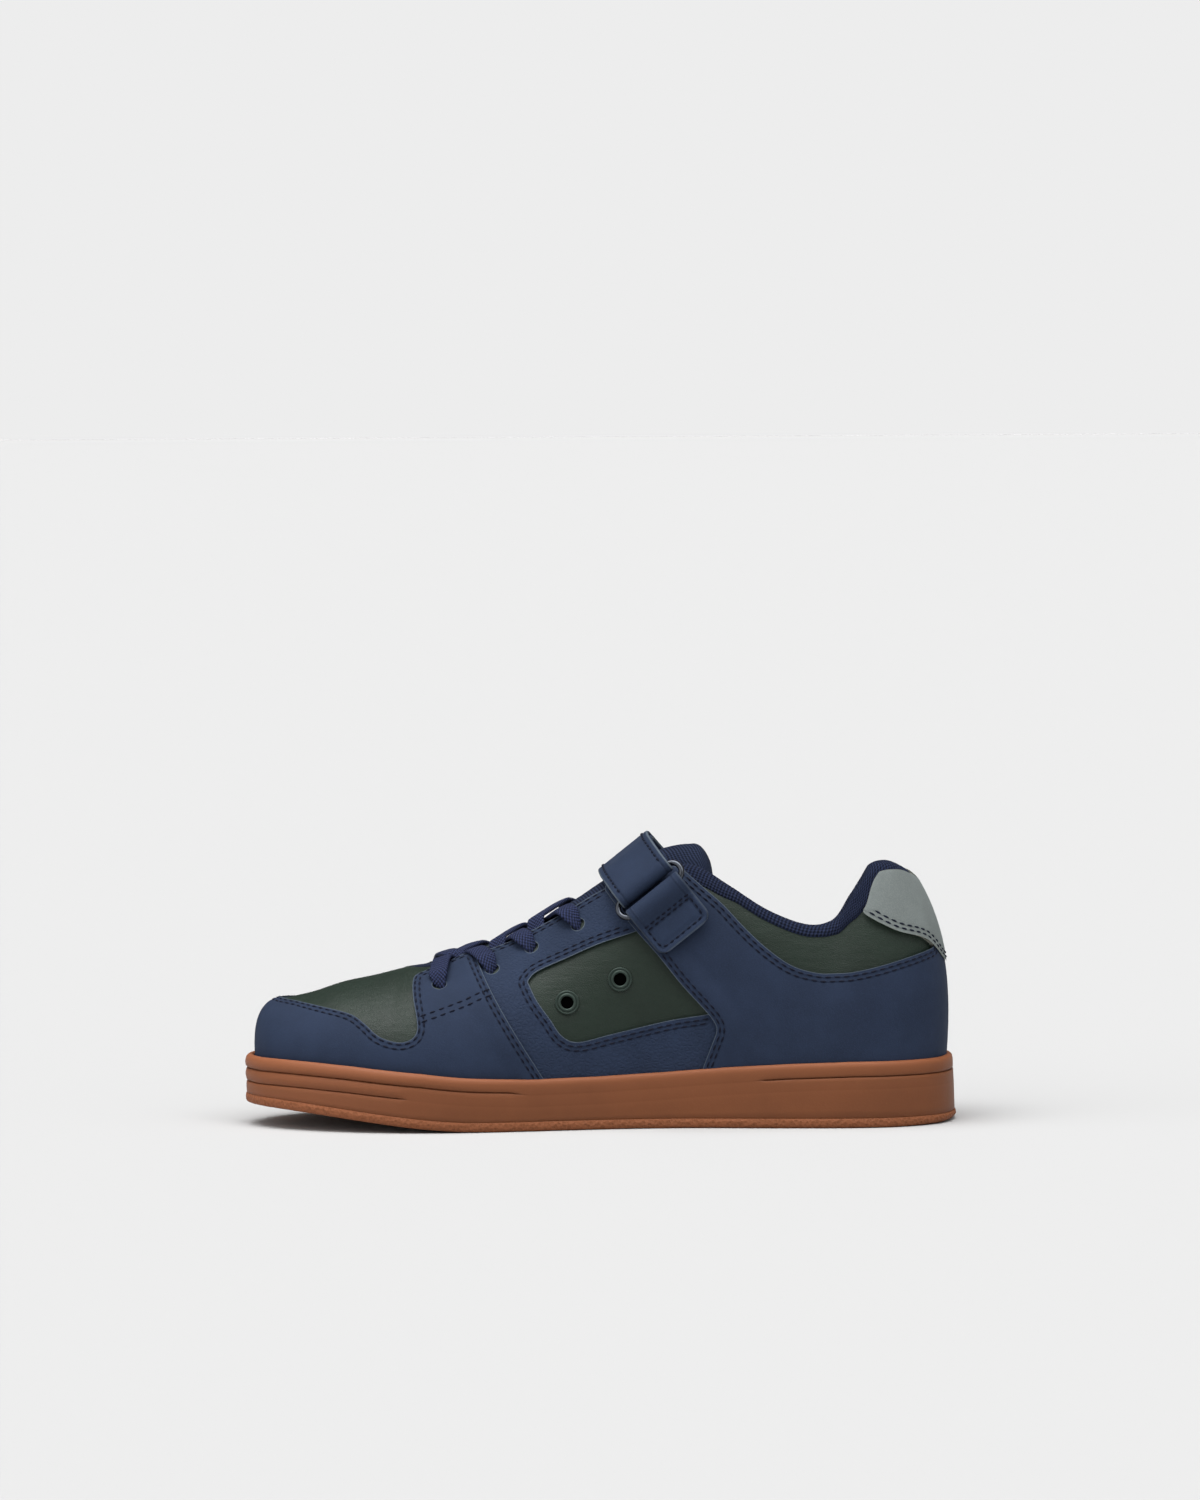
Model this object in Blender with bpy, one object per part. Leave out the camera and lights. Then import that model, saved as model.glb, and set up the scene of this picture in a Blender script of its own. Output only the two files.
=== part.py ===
"""A child's skateboarding shoe, right foot, as an assembly of separate solids.

Metres, +Z up. The toe points to -X and the heel to +X, the inner (medial) side of the foot faces -Y,
and the floor is z = 0. The origin is the middle of the sole's outline box, on the floor.

The upper is worked out from SECTIONS: one row for each section from the heel's back to the toe's tip.
A row says where the section starts on the sole's outline, where its top edge is, and how its wall bends.
"""
import math

import bmesh
import bpy
import numpy as np
from mathutils import Vector

MM = 0.001

# Driving sizes of the whole shoe
LENGTH = 225 * MM
BALL_WIDTH = 86 * MM
UPPER_HEIGHT = 63 * MM

# Sole
HEEL_SIDE = 20.8 * MM
BALL_SIDE = 16.2 * MM
TOE_SIDE = 14.0 * MM
TOE_SPRING = 6.8 * MM
SPRING_START = 0.655
HEEL_BEVEL = 1.2 * MM
BEVEL_REACH = 0.08
SOLE_LIP = 2.2 * MM
CUP_DEPTH = 6.5 * MM
TREAD_LAYER = 2.4 * MM
TREAD_STEP = 0.5 * MM
GROOVE_DEPTH = 0.7 * MM
GROOVE_FADE = 4 * MM
SIDE_ROUND = 0.5 * MM
SIDE_DIP = 0.25 * MM
EDGE_ROUND = 0.9 * MM
FLOOR_STEP = 4 * MM
TREAD_EDGE = 2.5 * MM
UPPER_GROOVE = 4.6 * MM
LOWER_GROOVE = 7.7 * MM
TREAD_RIM = 7 * MM
SIPE_WIDTH = 2.4 * MM
SIPE_DEPTH = 1.4 * MM
SIPE_PITCH = 10 * MM

# Upper, its overlays and its padding
WALL = 2.4 * MM
OVERLAY = 1.0 * MM
COLLAR_PAD = 7.5 * MM
LATERAL_DROP = 4 * MM
GAP = 0.3 * MM
SEAM_GAP = 0.5 * MM
SEAT_PLAY = 0.15 * MM
TONGUE_GAP = 0.6 * MM
TONGUE_THICKNESS = 4.5 * MM
INSOLE_THICKNESS = 3.0 * MM
INSOLE_EDGE = 3.0 * MM
INSOLE_DISH = 1.2 * MM
BAR_REACH = 8 * MM
EYELET_WALL = 0.6 * MM
EYELET_ROUND = 0.8 * MM
EYELET_SIDES = 12

# Fastenings. A drop is how far down the side a place is from the strap's crest.
STRAP_WIDTH = 20 * MM
STRAP_LAYER = 1.4 * MM
STRAP_ANGLE = math.radians(38.5)
STRAP_EASE = 8 * MM
STRAP_TIP_DROP = 22 * MM
STRAP_ANCHOR_DROP = 32 * MM
RING_WIRE = 2.2 * MM
RING_MOUTH = 0.5 * MM
RING_PLAY = 1.0 * MM
RING_BEND = 2.0 * MM
RING_DROP = 11.5 * MM
PATCH_WIDTH = 17.5 * MM
PATCH_SEAM_DROP = 20 * MM
PATCH_END_DROP = 31 * MM
PATCH_TUCK = 1.5 * MM
BAND_STEP = 2.5 * MM
BAND_MARGIN = 1.5 * MM
BAND_GAP = 0.7 * MM
LACE_WIDTH = 6.2 * MM
LACE_SHY = 2.5 * MM
LACE_THICKNESS = 1.3 * MM
LACE_HOLE = 2.0 * MM
VENT_HOLE = 2.0 * MM
VENT_FLANGE = 3.7 * MM
VENT_LIP = 0.7 * MM

# One row for each section, heel to toe.
# x, medial and lateral place the sole's outline: x is a share of LENGTH from the heel's back, and the
# half-widths are shares of BALL_WIDTH. top_x, top_half and top_z place the top edge: shares of LENGTH,
# of BALL_WIDTH and of UPPER_HEIGHT above the sole. rise, swell, reach and drop bend the wall, as shares
# of its height: how far it stands up, how far it bellies out, and its top's pull outwards and down.
# steps is the number of columns up to the next row.
COLUMNS = ("name x medial lateral top_x top_half top_z rise swell reach drop steps").split()
SECTIONS = [
    ("heel_back", 0.000, 0.000, 0.000, 0.060, 0.000, 0.876, 0.42, 0.035, 0.160, 0.26, 2),
    ("heel_round", 0.012, 0.170, 0.172, 0.070, 0.102, 0.905, 0.42, 0.040, 0.155, 0.26, 2),
    ("heel_corner", 0.045, 0.285, 0.290, 0.090, 0.176, 0.938, 0.42, 0.045, 0.140, 0.28, 2),
    ("heel_side", 0.100, 0.360, 0.365, 0.119, 0.222, 0.920, 0.42, 0.045, 0.125, 0.30, 1),
    ("counter", 0.155, 0.378, 0.385, 0.146, 0.250, 0.790, 0.42, 0.045, 0.115, 0.30, 1),
    ("ankle_back", 0.200, 0.375, 0.388, 0.171, 0.270, 0.662, 0.42, 0.045, 0.105, 0.30, 1),
    ("ankle_low", 0.245, 0.370, 0.390, 0.208, 0.286, 0.628, 0.42, 0.042, 0.100, 0.30, 1),
    ("ankle_front", 0.295, 0.360, 0.393, 0.264, 0.288, 0.702, 0.42, 0.040, 0.110, 0.30, 1),
    ("collar_rise", 0.340, 0.350, 0.402, 0.318, 0.268, 0.828, 0.42, 0.036, 0.130, 0.28, 1),
    ("collar_front", 0.385, 0.345, 0.414, 0.369, 0.228, 0.940, 0.42, 0.032, 0.160, 0.24, 1),
    ("instep_top", 0.435, 0.352, 0.432, 0.427, 0.186, 0.954, 0.43, 0.035, 0.190, 0.21, 1),
    ("instep", 0.495, 0.374, 0.456, 0.493, 0.164, 0.845, 0.44, 0.035, 0.215, 0.19, 1),
    ("throat_high", 0.555, 0.406, 0.481, 0.558, 0.146, 0.707, 0.45, 0.035, 0.250, 0.18, 1),
    ("throat_mid", 0.615, 0.441, 0.500, 0.620, 0.131, 0.587, 0.46, 0.040, 0.300, 0.16, 1),
    ("throat_low", 0.675, 0.468, 0.508, 0.677, 0.118, 0.510, 0.47, 0.040, 0.360, 0.13, 1),
    ("throat_front", 0.730, 0.482, 0.502, 0.726, 0.100, 0.452, 0.50, 0.040, 0.430, 0.08, 1),
    ("throat_end", 0.765, 0.482, 0.487, 0.754, 0.062, 0.432, 0.53, 0.040, 0.480, 0.03, 1),
    ("vamp_point", 0.795, 0.473, 0.465, 0.773, 0.000, 0.418, 0.56, 0.040, 0.520, 0.00, 1),
    ("vamp", 0.845, 0.445, 0.413, 0.815, 0.000, 0.363, 0.60, 0.040, 0.560, 0.00, 2),
    ("toe_box", 0.895, 0.395, 0.338, 0.861, 0.000, 0.308, 0.64, 0.040, 0.540, 0.00, 2),
    ("toe_round", 0.945, 0.315, 0.240, 0.902, 0.000, 0.245, 0.68, 0.040, 0.460, 0.00, 2),
    ("toe_corner", 0.983, 0.205, 0.112, 0.931, 0.000, 0.211, 0.72, 0.035, 0.380, 0.00, 2),
    ("toe_tip", 1.000, 0.058, -0.058, 0.944, 0.000, 0.196, 0.75, 0.035, 0.340, 0.00, 0),
]
ROWS = [dict(zip(COLUMNS, row)) for row in SECTIONS]
NAMES = [row["name"] for row in ROWS]
WALL_STEPS = 7
RIM_STEPS = 2

# Where the sole's side grows from the ball to the heel and to the toe: share of LENGTH, share of the
# change from BALL_SIDE to HEEL_SIDE or to TOE_SIDE.
HEEL_SIDE_ROWS = [
    (0.00, 1.00), (0.15, 0.98), (0.24, 0.84), (0.33, 0.60), (0.41, 0.30), (0.50, 0.08), (0.58, 0.0),
]
TOE_SIDE_ROWS = [(0.65, 0.0), (0.75, -0.27), (0.85, 0.08), (0.98, 1.0)]

# How far the collar's lateral side is lower than its medial side: share of LENGTH along the top edge, share
# of LATERAL_DROP.
LATERAL_ROWS = [(0.07, 0.0), (0.13, 0.8), (0.18, 1.0), (0.26, 1.0), (0.35, 0.5), (0.43, 0.0)]

# Where the two toe grooves end and the heel groove starts, and where the cross grooves and the plain arch
# between them run: shares of LENGTH from the heel's back.
GROOVE_ENDS = (0.622, 0.772, 0.362)
SIPE_ENDS = (0.05, 0.93)
ARCH_ENDS = (0.33, 0.55)

# Outlines of the overlays, seen from the side: share of LENGTH from the heel's back, share of
# UPPER_HEIGHT above the sole.
GUARD_TOP = [
    (0.959, 0.190), (0.906, 0.188), (0.872, 0.185), (0.845, 0.175), (0.827, 0.145), (0.810, 0.103),
    (0.794, 0.087), (0.777, 0.087), (0.763, 0.109), (0.757, 0.147), (0.758, 0.204), (0.763, 0.278),
    (0.764, 0.363), (0.755, 0.415),
]
GUARD_REAR = [(0.674, 0.511), (0.651, 0.343), (0.621, 0.160), (0.580, -0.071)]
EYESTAY_FOOT = [(0.758, 0.209), (0.749, 0.198), (0.658, 0.332)]
WINDOW = [
    (0.600, 0.396), (0.587, 0.441), (0.545, 0.508), (0.502, 0.576), (0.453, 0.635), (0.426, 0.667),
    (0.400, 0.537), (0.369, 0.386), (0.330, 0.269), (0.408, 0.211), (0.483, 0.150), (0.532, 0.111),
    (0.554, 0.140), (0.570, 0.220), (0.588, 0.309),
]
QUARTER_FRONT = [
    (0.491, 0.823), (0.456, 0.664), (0.420, 0.521), (0.389, 0.385), (0.356, 0.258), (0.343, 0.198),
    (0.340, 0.156), (0.348, 0.077), (0.359, -0.025),
]
QUARTER_TOP = [
    (0.364, 0.869), (0.329, 0.774), (0.295, 0.651), (0.265, 0.559), (0.232, 0.479), (0.198, 0.443),
    (0.173, 0.440), (0.146, 0.449), (0.108, 0.480), (0.039, 0.549),
]
TAB_EDGE = [
    (0.107, 0.959), (0.121, 0.883), (0.130, 0.770), (0.135, 0.727), (0.122, 0.687), (0.089, 0.626),
    (0.056, 0.589), (0.040, 0.547), (0.023, 0.486), (0.015, 0.456),
]
LACE_HOLES = [(0.725, 0.363), (0.651, 0.449), (0.595, 0.554), (0.530, 0.670)]
VENTS = [(0.547, 0.300), (0.473, 0.412)]
STRAP_MIDDLE = (0.466, 1.014)
RING_BEND_STEPS = 2
RING_SIDES = 8
TONGUE_FIRST = "throat_end"
TONGUE_LAST = "instep_top"
# How many of the form's rows the tongue tucks under the eyestays, low and high up, and how far it domes
TONGUE_TUCK_LOW = 1.6
TONGUE_TUCK_TOP = 0.9
TONGUE_DOME = 0.36
# How the tongue runs on above the throat: length as a share of LENGTH, angle of rise in degrees, how much
# it narrows, and how far its sides lift to its middle
TONGUE_RUN = [
    (0.026, 20.0, 0.66, 0.25), (0.024, 8.0, 1.0, 0.10), (0.026, -8.0, 1.0, 0.10), (0.022, -50.0, 1.0, 0.0),
]


# Small helpers

def remove_everything():
    """Empties the file that the script runs in."""
    for thing in list(bpy.data.objects):
        bpy.data.objects.remove(thing, do_unlink=True)


def unit(vectors):
    """Vectors of length one, along the last axis."""
    return vectors / np.maximum(np.linalg.norm(vectors, axis=-1, keepdims=True), 1e-12)


def lerp_rows(rows, at):
    """Straight interpolation in a table of (place, value) rows."""
    return float(np.interp(at, [row[0] for row in rows], [row[1] for row in rows]))


def side_x(share):
    """X of a share of LENGTH counted from the heel's back."""
    return LENGTH / 2 - share * LENGTH


def ground_rise(x):
    """Height of the sole's underside over the floor: toe spring in front."""
    share = (LENGTH / 2 - x) / LENGTH
    along = max(0.0, (share - SPRING_START) / (1 - SPRING_START))
    return TOE_SPRING * along**2 * (3 - 2 * along)


def sole_top(x):
    """Height of the sole's upper line over the floor."""
    share = min(max((LENGTH / 2 - x) / LENGTH, 0.0), 1.0)
    side = BALL_SIDE + (HEEL_SIDE - BALL_SIDE) * lerp_rows(HEEL_SIDE_ROWS, share)
    side += (TOE_SIDE - BALL_SIDE) * lerp_rows(TOE_SIDE_ROWS, share)
    return ground_rise(x) + side


def side_z(x, share):
    """Height of a share of UPPER_HEIGHT, which is counted from the heel's sole line."""
    return HEEL_SIDE + ground_rise(x) + share * UPPER_HEIGHT


def side_points(rows):
    """Side-view (x, z) points of a table of shares."""
    return [(side_x(row[0]), side_z(side_x(row[0]), row[1])) for row in rows]


def rounded(points, smooth=2):
    """A smooth line through side-view points, by Catmull-Rom steps."""
    points = np.array(points)
    ends = np.vstack([2 * points[0] - points[1], points, 2 * points[-1] - points[-2]])
    line = []
    for before, start, end, after in zip(ends, ends[1:], ends[2:], ends[3:]):
        for t in np.arange(smooth) / smooth:
            line.append(spline_point(before, start, end, after, t))
    return np.array(line + [points[-1]])


def spline_point(before, start, end, after, t):
    """A point of the Catmull-Rom spline between start and end."""
    return 0.5 * (
        2 * start
        + (end - before) * t
        + (2 * before - 5 * start + 4 * end - after) * t**2
        + (3 * start - before - 3 * end + after) * t**3
    )


def make_material(name, colour, roughness, metallic=0.0):
    """A plain Principled material."""
    material = bpy.data.materials.new(name)
    material.use_nodes = True
    shader = material.node_tree.nodes["Principled BSDF"]
    shader.inputs["Base Color"].default_value = (*colour, 1.0)
    shader.inputs["Roughness"].default_value = roughness
    shader.inputs["Metallic"].default_value = metallic
    return material


def make_object(name, points, faces, material=None, smooth=True):
    """A mesh object of its own, with doubles merged."""
    mesh = bpy.data.meshes.new(name)
    mesh.from_pydata([tuple(p) for p in points], [], [tuple(f) for f in faces])
    work = bmesh.new()
    work.from_mesh(mesh)
    bmesh.ops.remove_doubles(work, verts=work.verts, dist=1e-6)
    bmesh.ops.recalc_face_normals(work, faces=work.faces)
    work.to_mesh(mesh)
    work.free()
    thing = bpy.data.objects.new(name, mesh)
    bpy.context.scene.collection.objects.link(thing)
    if material:
        mesh.materials.append(material)
    if smooth:
        mesh.shade_smooth()
        mesh.set_sharp_from_angle(angle=math.radians(40))
    return thing


def as_cutter(thing):
    """Marks an object as a helper that only cuts."""
    thing.hide_render = True
    thing.display_type = "WIRE"
    return thing


def boolean(thing, other, operation):
    """Adds an exact Boolean of another object."""
    modifier = thing.modifiers.new(operation.lower() + "_" + other.name, "BOOLEAN")
    modifier.operation = operation
    modifier.solver = "EXACT"
    modifier.object = other


def prism(name, outline, low_y, high_y):
    """A cutter: a side-view outline pushed through along Y."""
    count = len(outline)
    points = [(x, y, z) for y in (low_y, high_y) for x, z in outline]
    faces = [tuple(range(count)), tuple(range(2 * count - 1, count - 1, -1))]
    faces += [(k, k + count, (k + 1) % count + count, (k + 1) % count) for k in range(count)]
    return as_cutter(make_object(name, points, faces, smooth=False))


def rod(name, start, end, radius, sides=10):
    """A cutter: a round bar from start to end."""
    return as_cutter(make_object(name, *turned([(0.0, radius), (1.0, radius)], start, end, sides), smooth=False))


def turned(profile, start, end, sides, closed_profile=False):
    """Points and faces of a turned shape. Profile rows are (share of the way from start to end, radius)."""
    start, end = Vector(start), Vector(end)
    axis = end - start
    across = axis.orthogonal().normalized()
    up = axis.normalized().cross(across)
    points = []
    for along, radius in profile:
        for k in range(sides):
            turn = 2 * math.pi * k / sides
            points.append(start + axis * along + (across * math.cos(turn) + up * math.sin(turn)) * radius)
    rings = len(profile)
    faces = []
    for ring in range(rings if closed_profile else rings - 1):
        after = (ring + 1) % rings
        for k in range(sides):
            turn = (k + 1) % sides
            faces.append((ring * sides + k, ring * sides + turn, after * sides + turn, after * sides + k))
    if not closed_profile:
        faces.append(tuple(range(sides - 1, -1, -1)))
        faces.append(tuple((rings - 1) * sides + k for k in range(sides)))
    return points, faces


# The form: the surface that the whole upper follows

def round_loop(values):
    """Rows heel to toe on the medial side and back on the lateral side, as one closed smooth loop."""
    values = np.array(values, float)
    total = len(values)
    loop = []
    for k in range(total):
        row = ROWS[k] if k < len(ROWS) else ROWS[2 * len(ROWS) - 2 - k]
        steps = row["steps"] if k < len(ROWS) - 1 else ROWS[2 * len(ROWS) - 3 - k]["steps"]
        near = [values[(k + shift) % total] for shift in (-1, 0, 1, 2)]
        loop += [spline_point(*near, t) for t in np.arange(steps) / steps]
    return np.array(loop)


def both_sides(medial, lateral):
    """Puts a medial row list and a lateral row list in the loop's order."""
    return list(medial) + list(lateral[-2:0:-1])


def sole_outline():
    """The sole's outline in plan, and the outward normal at each of its columns."""
    def row_points(side, sign):
        return [(side_x(row["x"]), sign * row[side] * BALL_WIDTH) for row in ROWS]

    line = round_loop(both_sides(row_points("medial", -1), row_points("lateral", 1)))
    low, high = line.min(0), line.max(0)
    line[:, 1] -= (low[1] + high[1]) / 2
    along = np.roll(line, -1, 0) - np.roll(line, 1, 0)
    normal = unit(np.stack([along[:, 1], -along[:, 0]], 1))
    if np.sum(normal * (line - line.mean(0))) < 0:
        normal = -normal
    return line, normal


OUTLINE, OUTWARD = sole_outline()
COLUMN_COUNT = len(OUTLINE)
HALF_COUNT = COLUMN_COUNT // 2
UPPER_INSET = SOLE_LIP + GAP + OVERLAY + GAP + SEAT_PLAY


def column_of(name):
    """The medial column of a named section."""
    return sum(row["steps"] for row in ROWS[: NAMES.index(name)])


def twin(column):
    """The column on the other side of the shoe."""
    return (-column) % COLUMN_COUNT


def is_ridge(column):
    """True where the two sides meet on the ridge of the vamp and toe."""
    first = column_of("vamp_point")
    return first <= column <= twin(first)


def middle_y(x):
    """The line that the top edges lie on both sides of: it turns to the big toe in front."""
    share = max(0.0, ((LENGTH / 2 - x) / LENGTH - 0.5) / 0.5)
    shift = (OUTLINE[HALF_COUNT][1] - OUTLINE[0][1]) * share**1.5
    return OUTLINE[0][1] + shift


def top_loop():
    """The upper's top edge: round the collar and throat, and along the ridge of the vamp."""
    def row_points(sign):
        return [
            (side_x(row["top_x"]), sign * row["top_half"] * BALL_WIDTH, row["top_z"] * UPPER_HEIGHT)
            for row in ROWS
        ]

    loop = round_loop(both_sides(row_points(-1), row_points(1)))
    tops = loop.copy()
    for column in range(COLUMN_COUNT):
        if is_ridge(column):
            tops[column] = loop[min(column, twin(column))]
            tops[column, 1] = 0.0
        x = tops[column, 0]
        tops[column] += [0.0, middle_y(x), HEEL_SIDE + ground_rise(x)]
        if column > HALF_COUNT:
            tops[column, 2] -= LATERAL_DROP * lerp_rows(LATERAL_ROWS, (LENGTH / 2 - x) / LENGTH)
    return tops


def bend_loop(column_name):
    """One of the wall-bending columns of SECTIONS, for each column of the loop."""
    values = [row[column_name] for row in ROWS]
    return round_loop(np.array(both_sides(values, values))[:, None])[:, 0]


def wall_points(steps):
    """The form as a grid [column][step]: straight up out of the sole's cup, then a bend to the top edge."""
    tops = top_loop()
    bends = {name: bend_loop(name) for name in ("rise", "swell", "reach", "drop")}
    grid = np.zeros((COLUMN_COUNT, steps + 1, 3))
    for column in range(COLUMN_COUNT):
        plan = OUTLINE[column] - OUTWARD[column] * UPPER_INSET
        base = np.array([plan[0], plan[1], sole_top(plan[0])])
        grid[column, 0] = base - [0.0, 0.0, CUP_DEPTH - GAP]
        top = tops[column]
        height = top[2] - base[2]
        out = np.array([*OUTWARD[column], 0.0])
        up = np.array([0.0, 0.0, 1.0])
        low_pull = base + height * (bends["rise"][column] * up + bends["swell"][column] * out)
        pull = height * bends["reach"][column] * out
        if is_ridge(column):
            ahead = tops[min(column, twin(column)) - 1] - tops[HALF_COUNT]
            if column != HALF_COUNT:
                inner = min(column, twin(column))
                ahead = tops[inner - 1] - tops[inner + 1]
            pull[2] += pull[0] * ahead[2] / max(abs(ahead[0]), 1e-6) * np.sign(ahead[0])
        high_pull = top + pull - height * bends["drop"][column] * up
        t = (np.arange(steps) / (steps - 1))[:, None]
        grid[column, 1:] = (
            (1 - t) ** 3 * base + 3 * (1 - t) ** 2 * t * low_pull + 3 * (1 - t) * t**2 * high_pull + t**3 * top
        )
    return grid


def grid_normals(grid):
    """Outward normals at the grid's points. Points that both sides share on the ridge get one normal."""
    normals = np.zeros_like(grid)
    after = np.roll(grid, -1, 0)
    one = np.cross(after[:, :-1] - grid[:, :-1], grid[:, 1:] - grid[:, :-1])
    two = np.cross(after[:, 1:] - grid[:, 1:], after[:, 1:] - after[:, :-1])
    face = one + two
    normals[:, :-1] += face
    normals[:, 1:] += face
    normals[:, :-1] += np.roll(face, 1, 0)
    normals[:, 1:] += np.roll(face, 1, 0)
    for column in range(column_of("vamp_point"), HALF_COUNT + 1):
        shared = normals[column, -1] + normals[twin(column), -1]
        normals[column, -1] = shared
        normals[twin(column), -1] = shared
    normals = unit(normals)
    if np.sum(normals[0, 2] * [1, 0, 0]) < 0:
        normals = -normals
    return normals


FORM = wall_points(WALL_STEPS)
FORM_NORMALS = grid_normals(FORM)


def wall_thickness():
    """Thickness of the upper's wall at each grid point: it swells into the collar's padding at the top."""
    thickness = np.full(FORM.shape[:2], WALL)
    last = column_of("instep_top")
    full = column_of("collar_front")
    for column in range(COLUMN_COUNT):
        inner = min(column, twin(column))
        if inner >= last:
            continue
        share = 1.0 if inner <= full else (last - inner) / (last - full)
        for step in range(WALL_STEPS + 1):
            height = max(0.0, (step / WALL_STEPS - 0.45) / 0.55)
            padded = min(1.0, height * 1.3)
            thickness[column, step] += (COLLAR_PAD - WALL) * share * padded**2 * (3 - 2 * padded)
    return thickness


def shell(outside, inside, rim_steps):
    """Points and faces of a closed wall between two grids, open underneath and at the collar and throat."""
    columns, rows = outside.shape[:2]
    points = np.concatenate([outside.reshape(-1, 3), inside.reshape(-1, 3)])
    count = columns * rows

    def at(column, row, layer):
        return layer * count + (column % columns) * rows + row

    faces = []
    for column in range(columns):
        for row in range(rows - 1):
            for layer in (0, 1):
                a, b = at(column, row, layer), at(column + 1, row, layer)
                c, d = at(column + 1, row + 1, layer), at(column, row + 1, layer)
                faces += [(a, b, c), (a, c, d)] if layer == 0 else [(a, c, b), (a, d, c)]
        faces.append((at(column, 0, 0), at(column, 0, 1), at(column + 1, 0, 1), at(column + 1, 0, 0)))
    open_columns = [c for c in range(columns) if not (is_ridge(c) and is_ridge((c + 1) % columns))]
    middle = (outside[:, -1] + inside[:, -1]) / 2
    across = (outside[:, -1] - inside[:, -1]) / 2
    upward = unit(outside[:, -1] - outside[:, -2])
    point = column_of("vamp_point")
    upward[[point, twin(point)]] = unit(outside[point, -1] - outside[point + 1, -1])
    rims = [outside[:, -1]]
    for k in range(1, rim_steps + 1):
        turn = math.pi * k / (rim_steps + 1)
        radius = np.linalg.norm(across, axis=1, keepdims=True)
        rims.append(middle + across * math.cos(turn) + upward * radius * math.sin(turn))
    rims.append(inside[:, -1])
    start = len(points)
    points = np.concatenate([points, *rims[1:-1]])

    def rim(column, k):
        column %= columns
        if k == 0:
            return at(column, rows - 1, 0)
        if k == rim_steps + 1:
            return at(column, rows - 1, 1)
        return start + (k - 1) * columns + column

    for column in open_columns:
        for k in range(rim_steps + 1):
            faces.append((rim(column, k), rim(column + 1, k), rim(column + 1, k + 1), rim(column, k + 1)))
    return points, faces


def tidy_faces(points, faces):
    """Merges points that coincide and drops faces that collapse, so that ridge and pole close cleanly."""
    keys = {}
    index = []
    kept = []
    for point in points:
        key = tuple(np.round(np.array(point) / 1e-7).astype(int))
        if key not in keys:
            keys[key] = len(kept)
            kept.append(point)
        index.append(keys[key])
    clean = []
    for face in faces:
        ring = []
        for corner in face:
            if index[corner] not in ring:
                ring.append(index[corner])
        if len(ring) > 2:
            clean.append(ring)
    return kept, clean


def surface_at(x, z, side):
    """The form's point and outward normal at a side-view place. side is -1 medial, +1 lateral."""
    fine = 6
    best = None
    half = COLUMN_COUNT // 2
    for k in range(half):
        column = k if side < 0 else twin(k)
        other = k + 1 if side < 0 else twin(k + 1)
        corners = FORM[[column, other]]
        if corners[..., 0].min() > x + 0.01 or corners[..., 0].max() < x - 0.01:
            continue
        for row in range(WALL_STEPS):
            quad = corners[:, row : row + 2]
            normal_quad = FORM_NORMALS[[column, other]][:, row : row + 2]
            for a in np.arange(fine) / fine:
                for b in np.arange(fine) / fine:
                    weights = np.array([[(1 - a) * (1 - b), (1 - a) * b], [a * (1 - b), a * b]])[..., None]
                    point = (quad * weights).sum((0, 1))
                    far = (point[0] - x) ** 2 + (point[2] - z) ** 2
                    if best is None or far < best[0]:
                        best = (far, point, (normal_quad * weights).sum((0, 1)))
    return best[1], unit(best[2])


# The pieces

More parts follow.
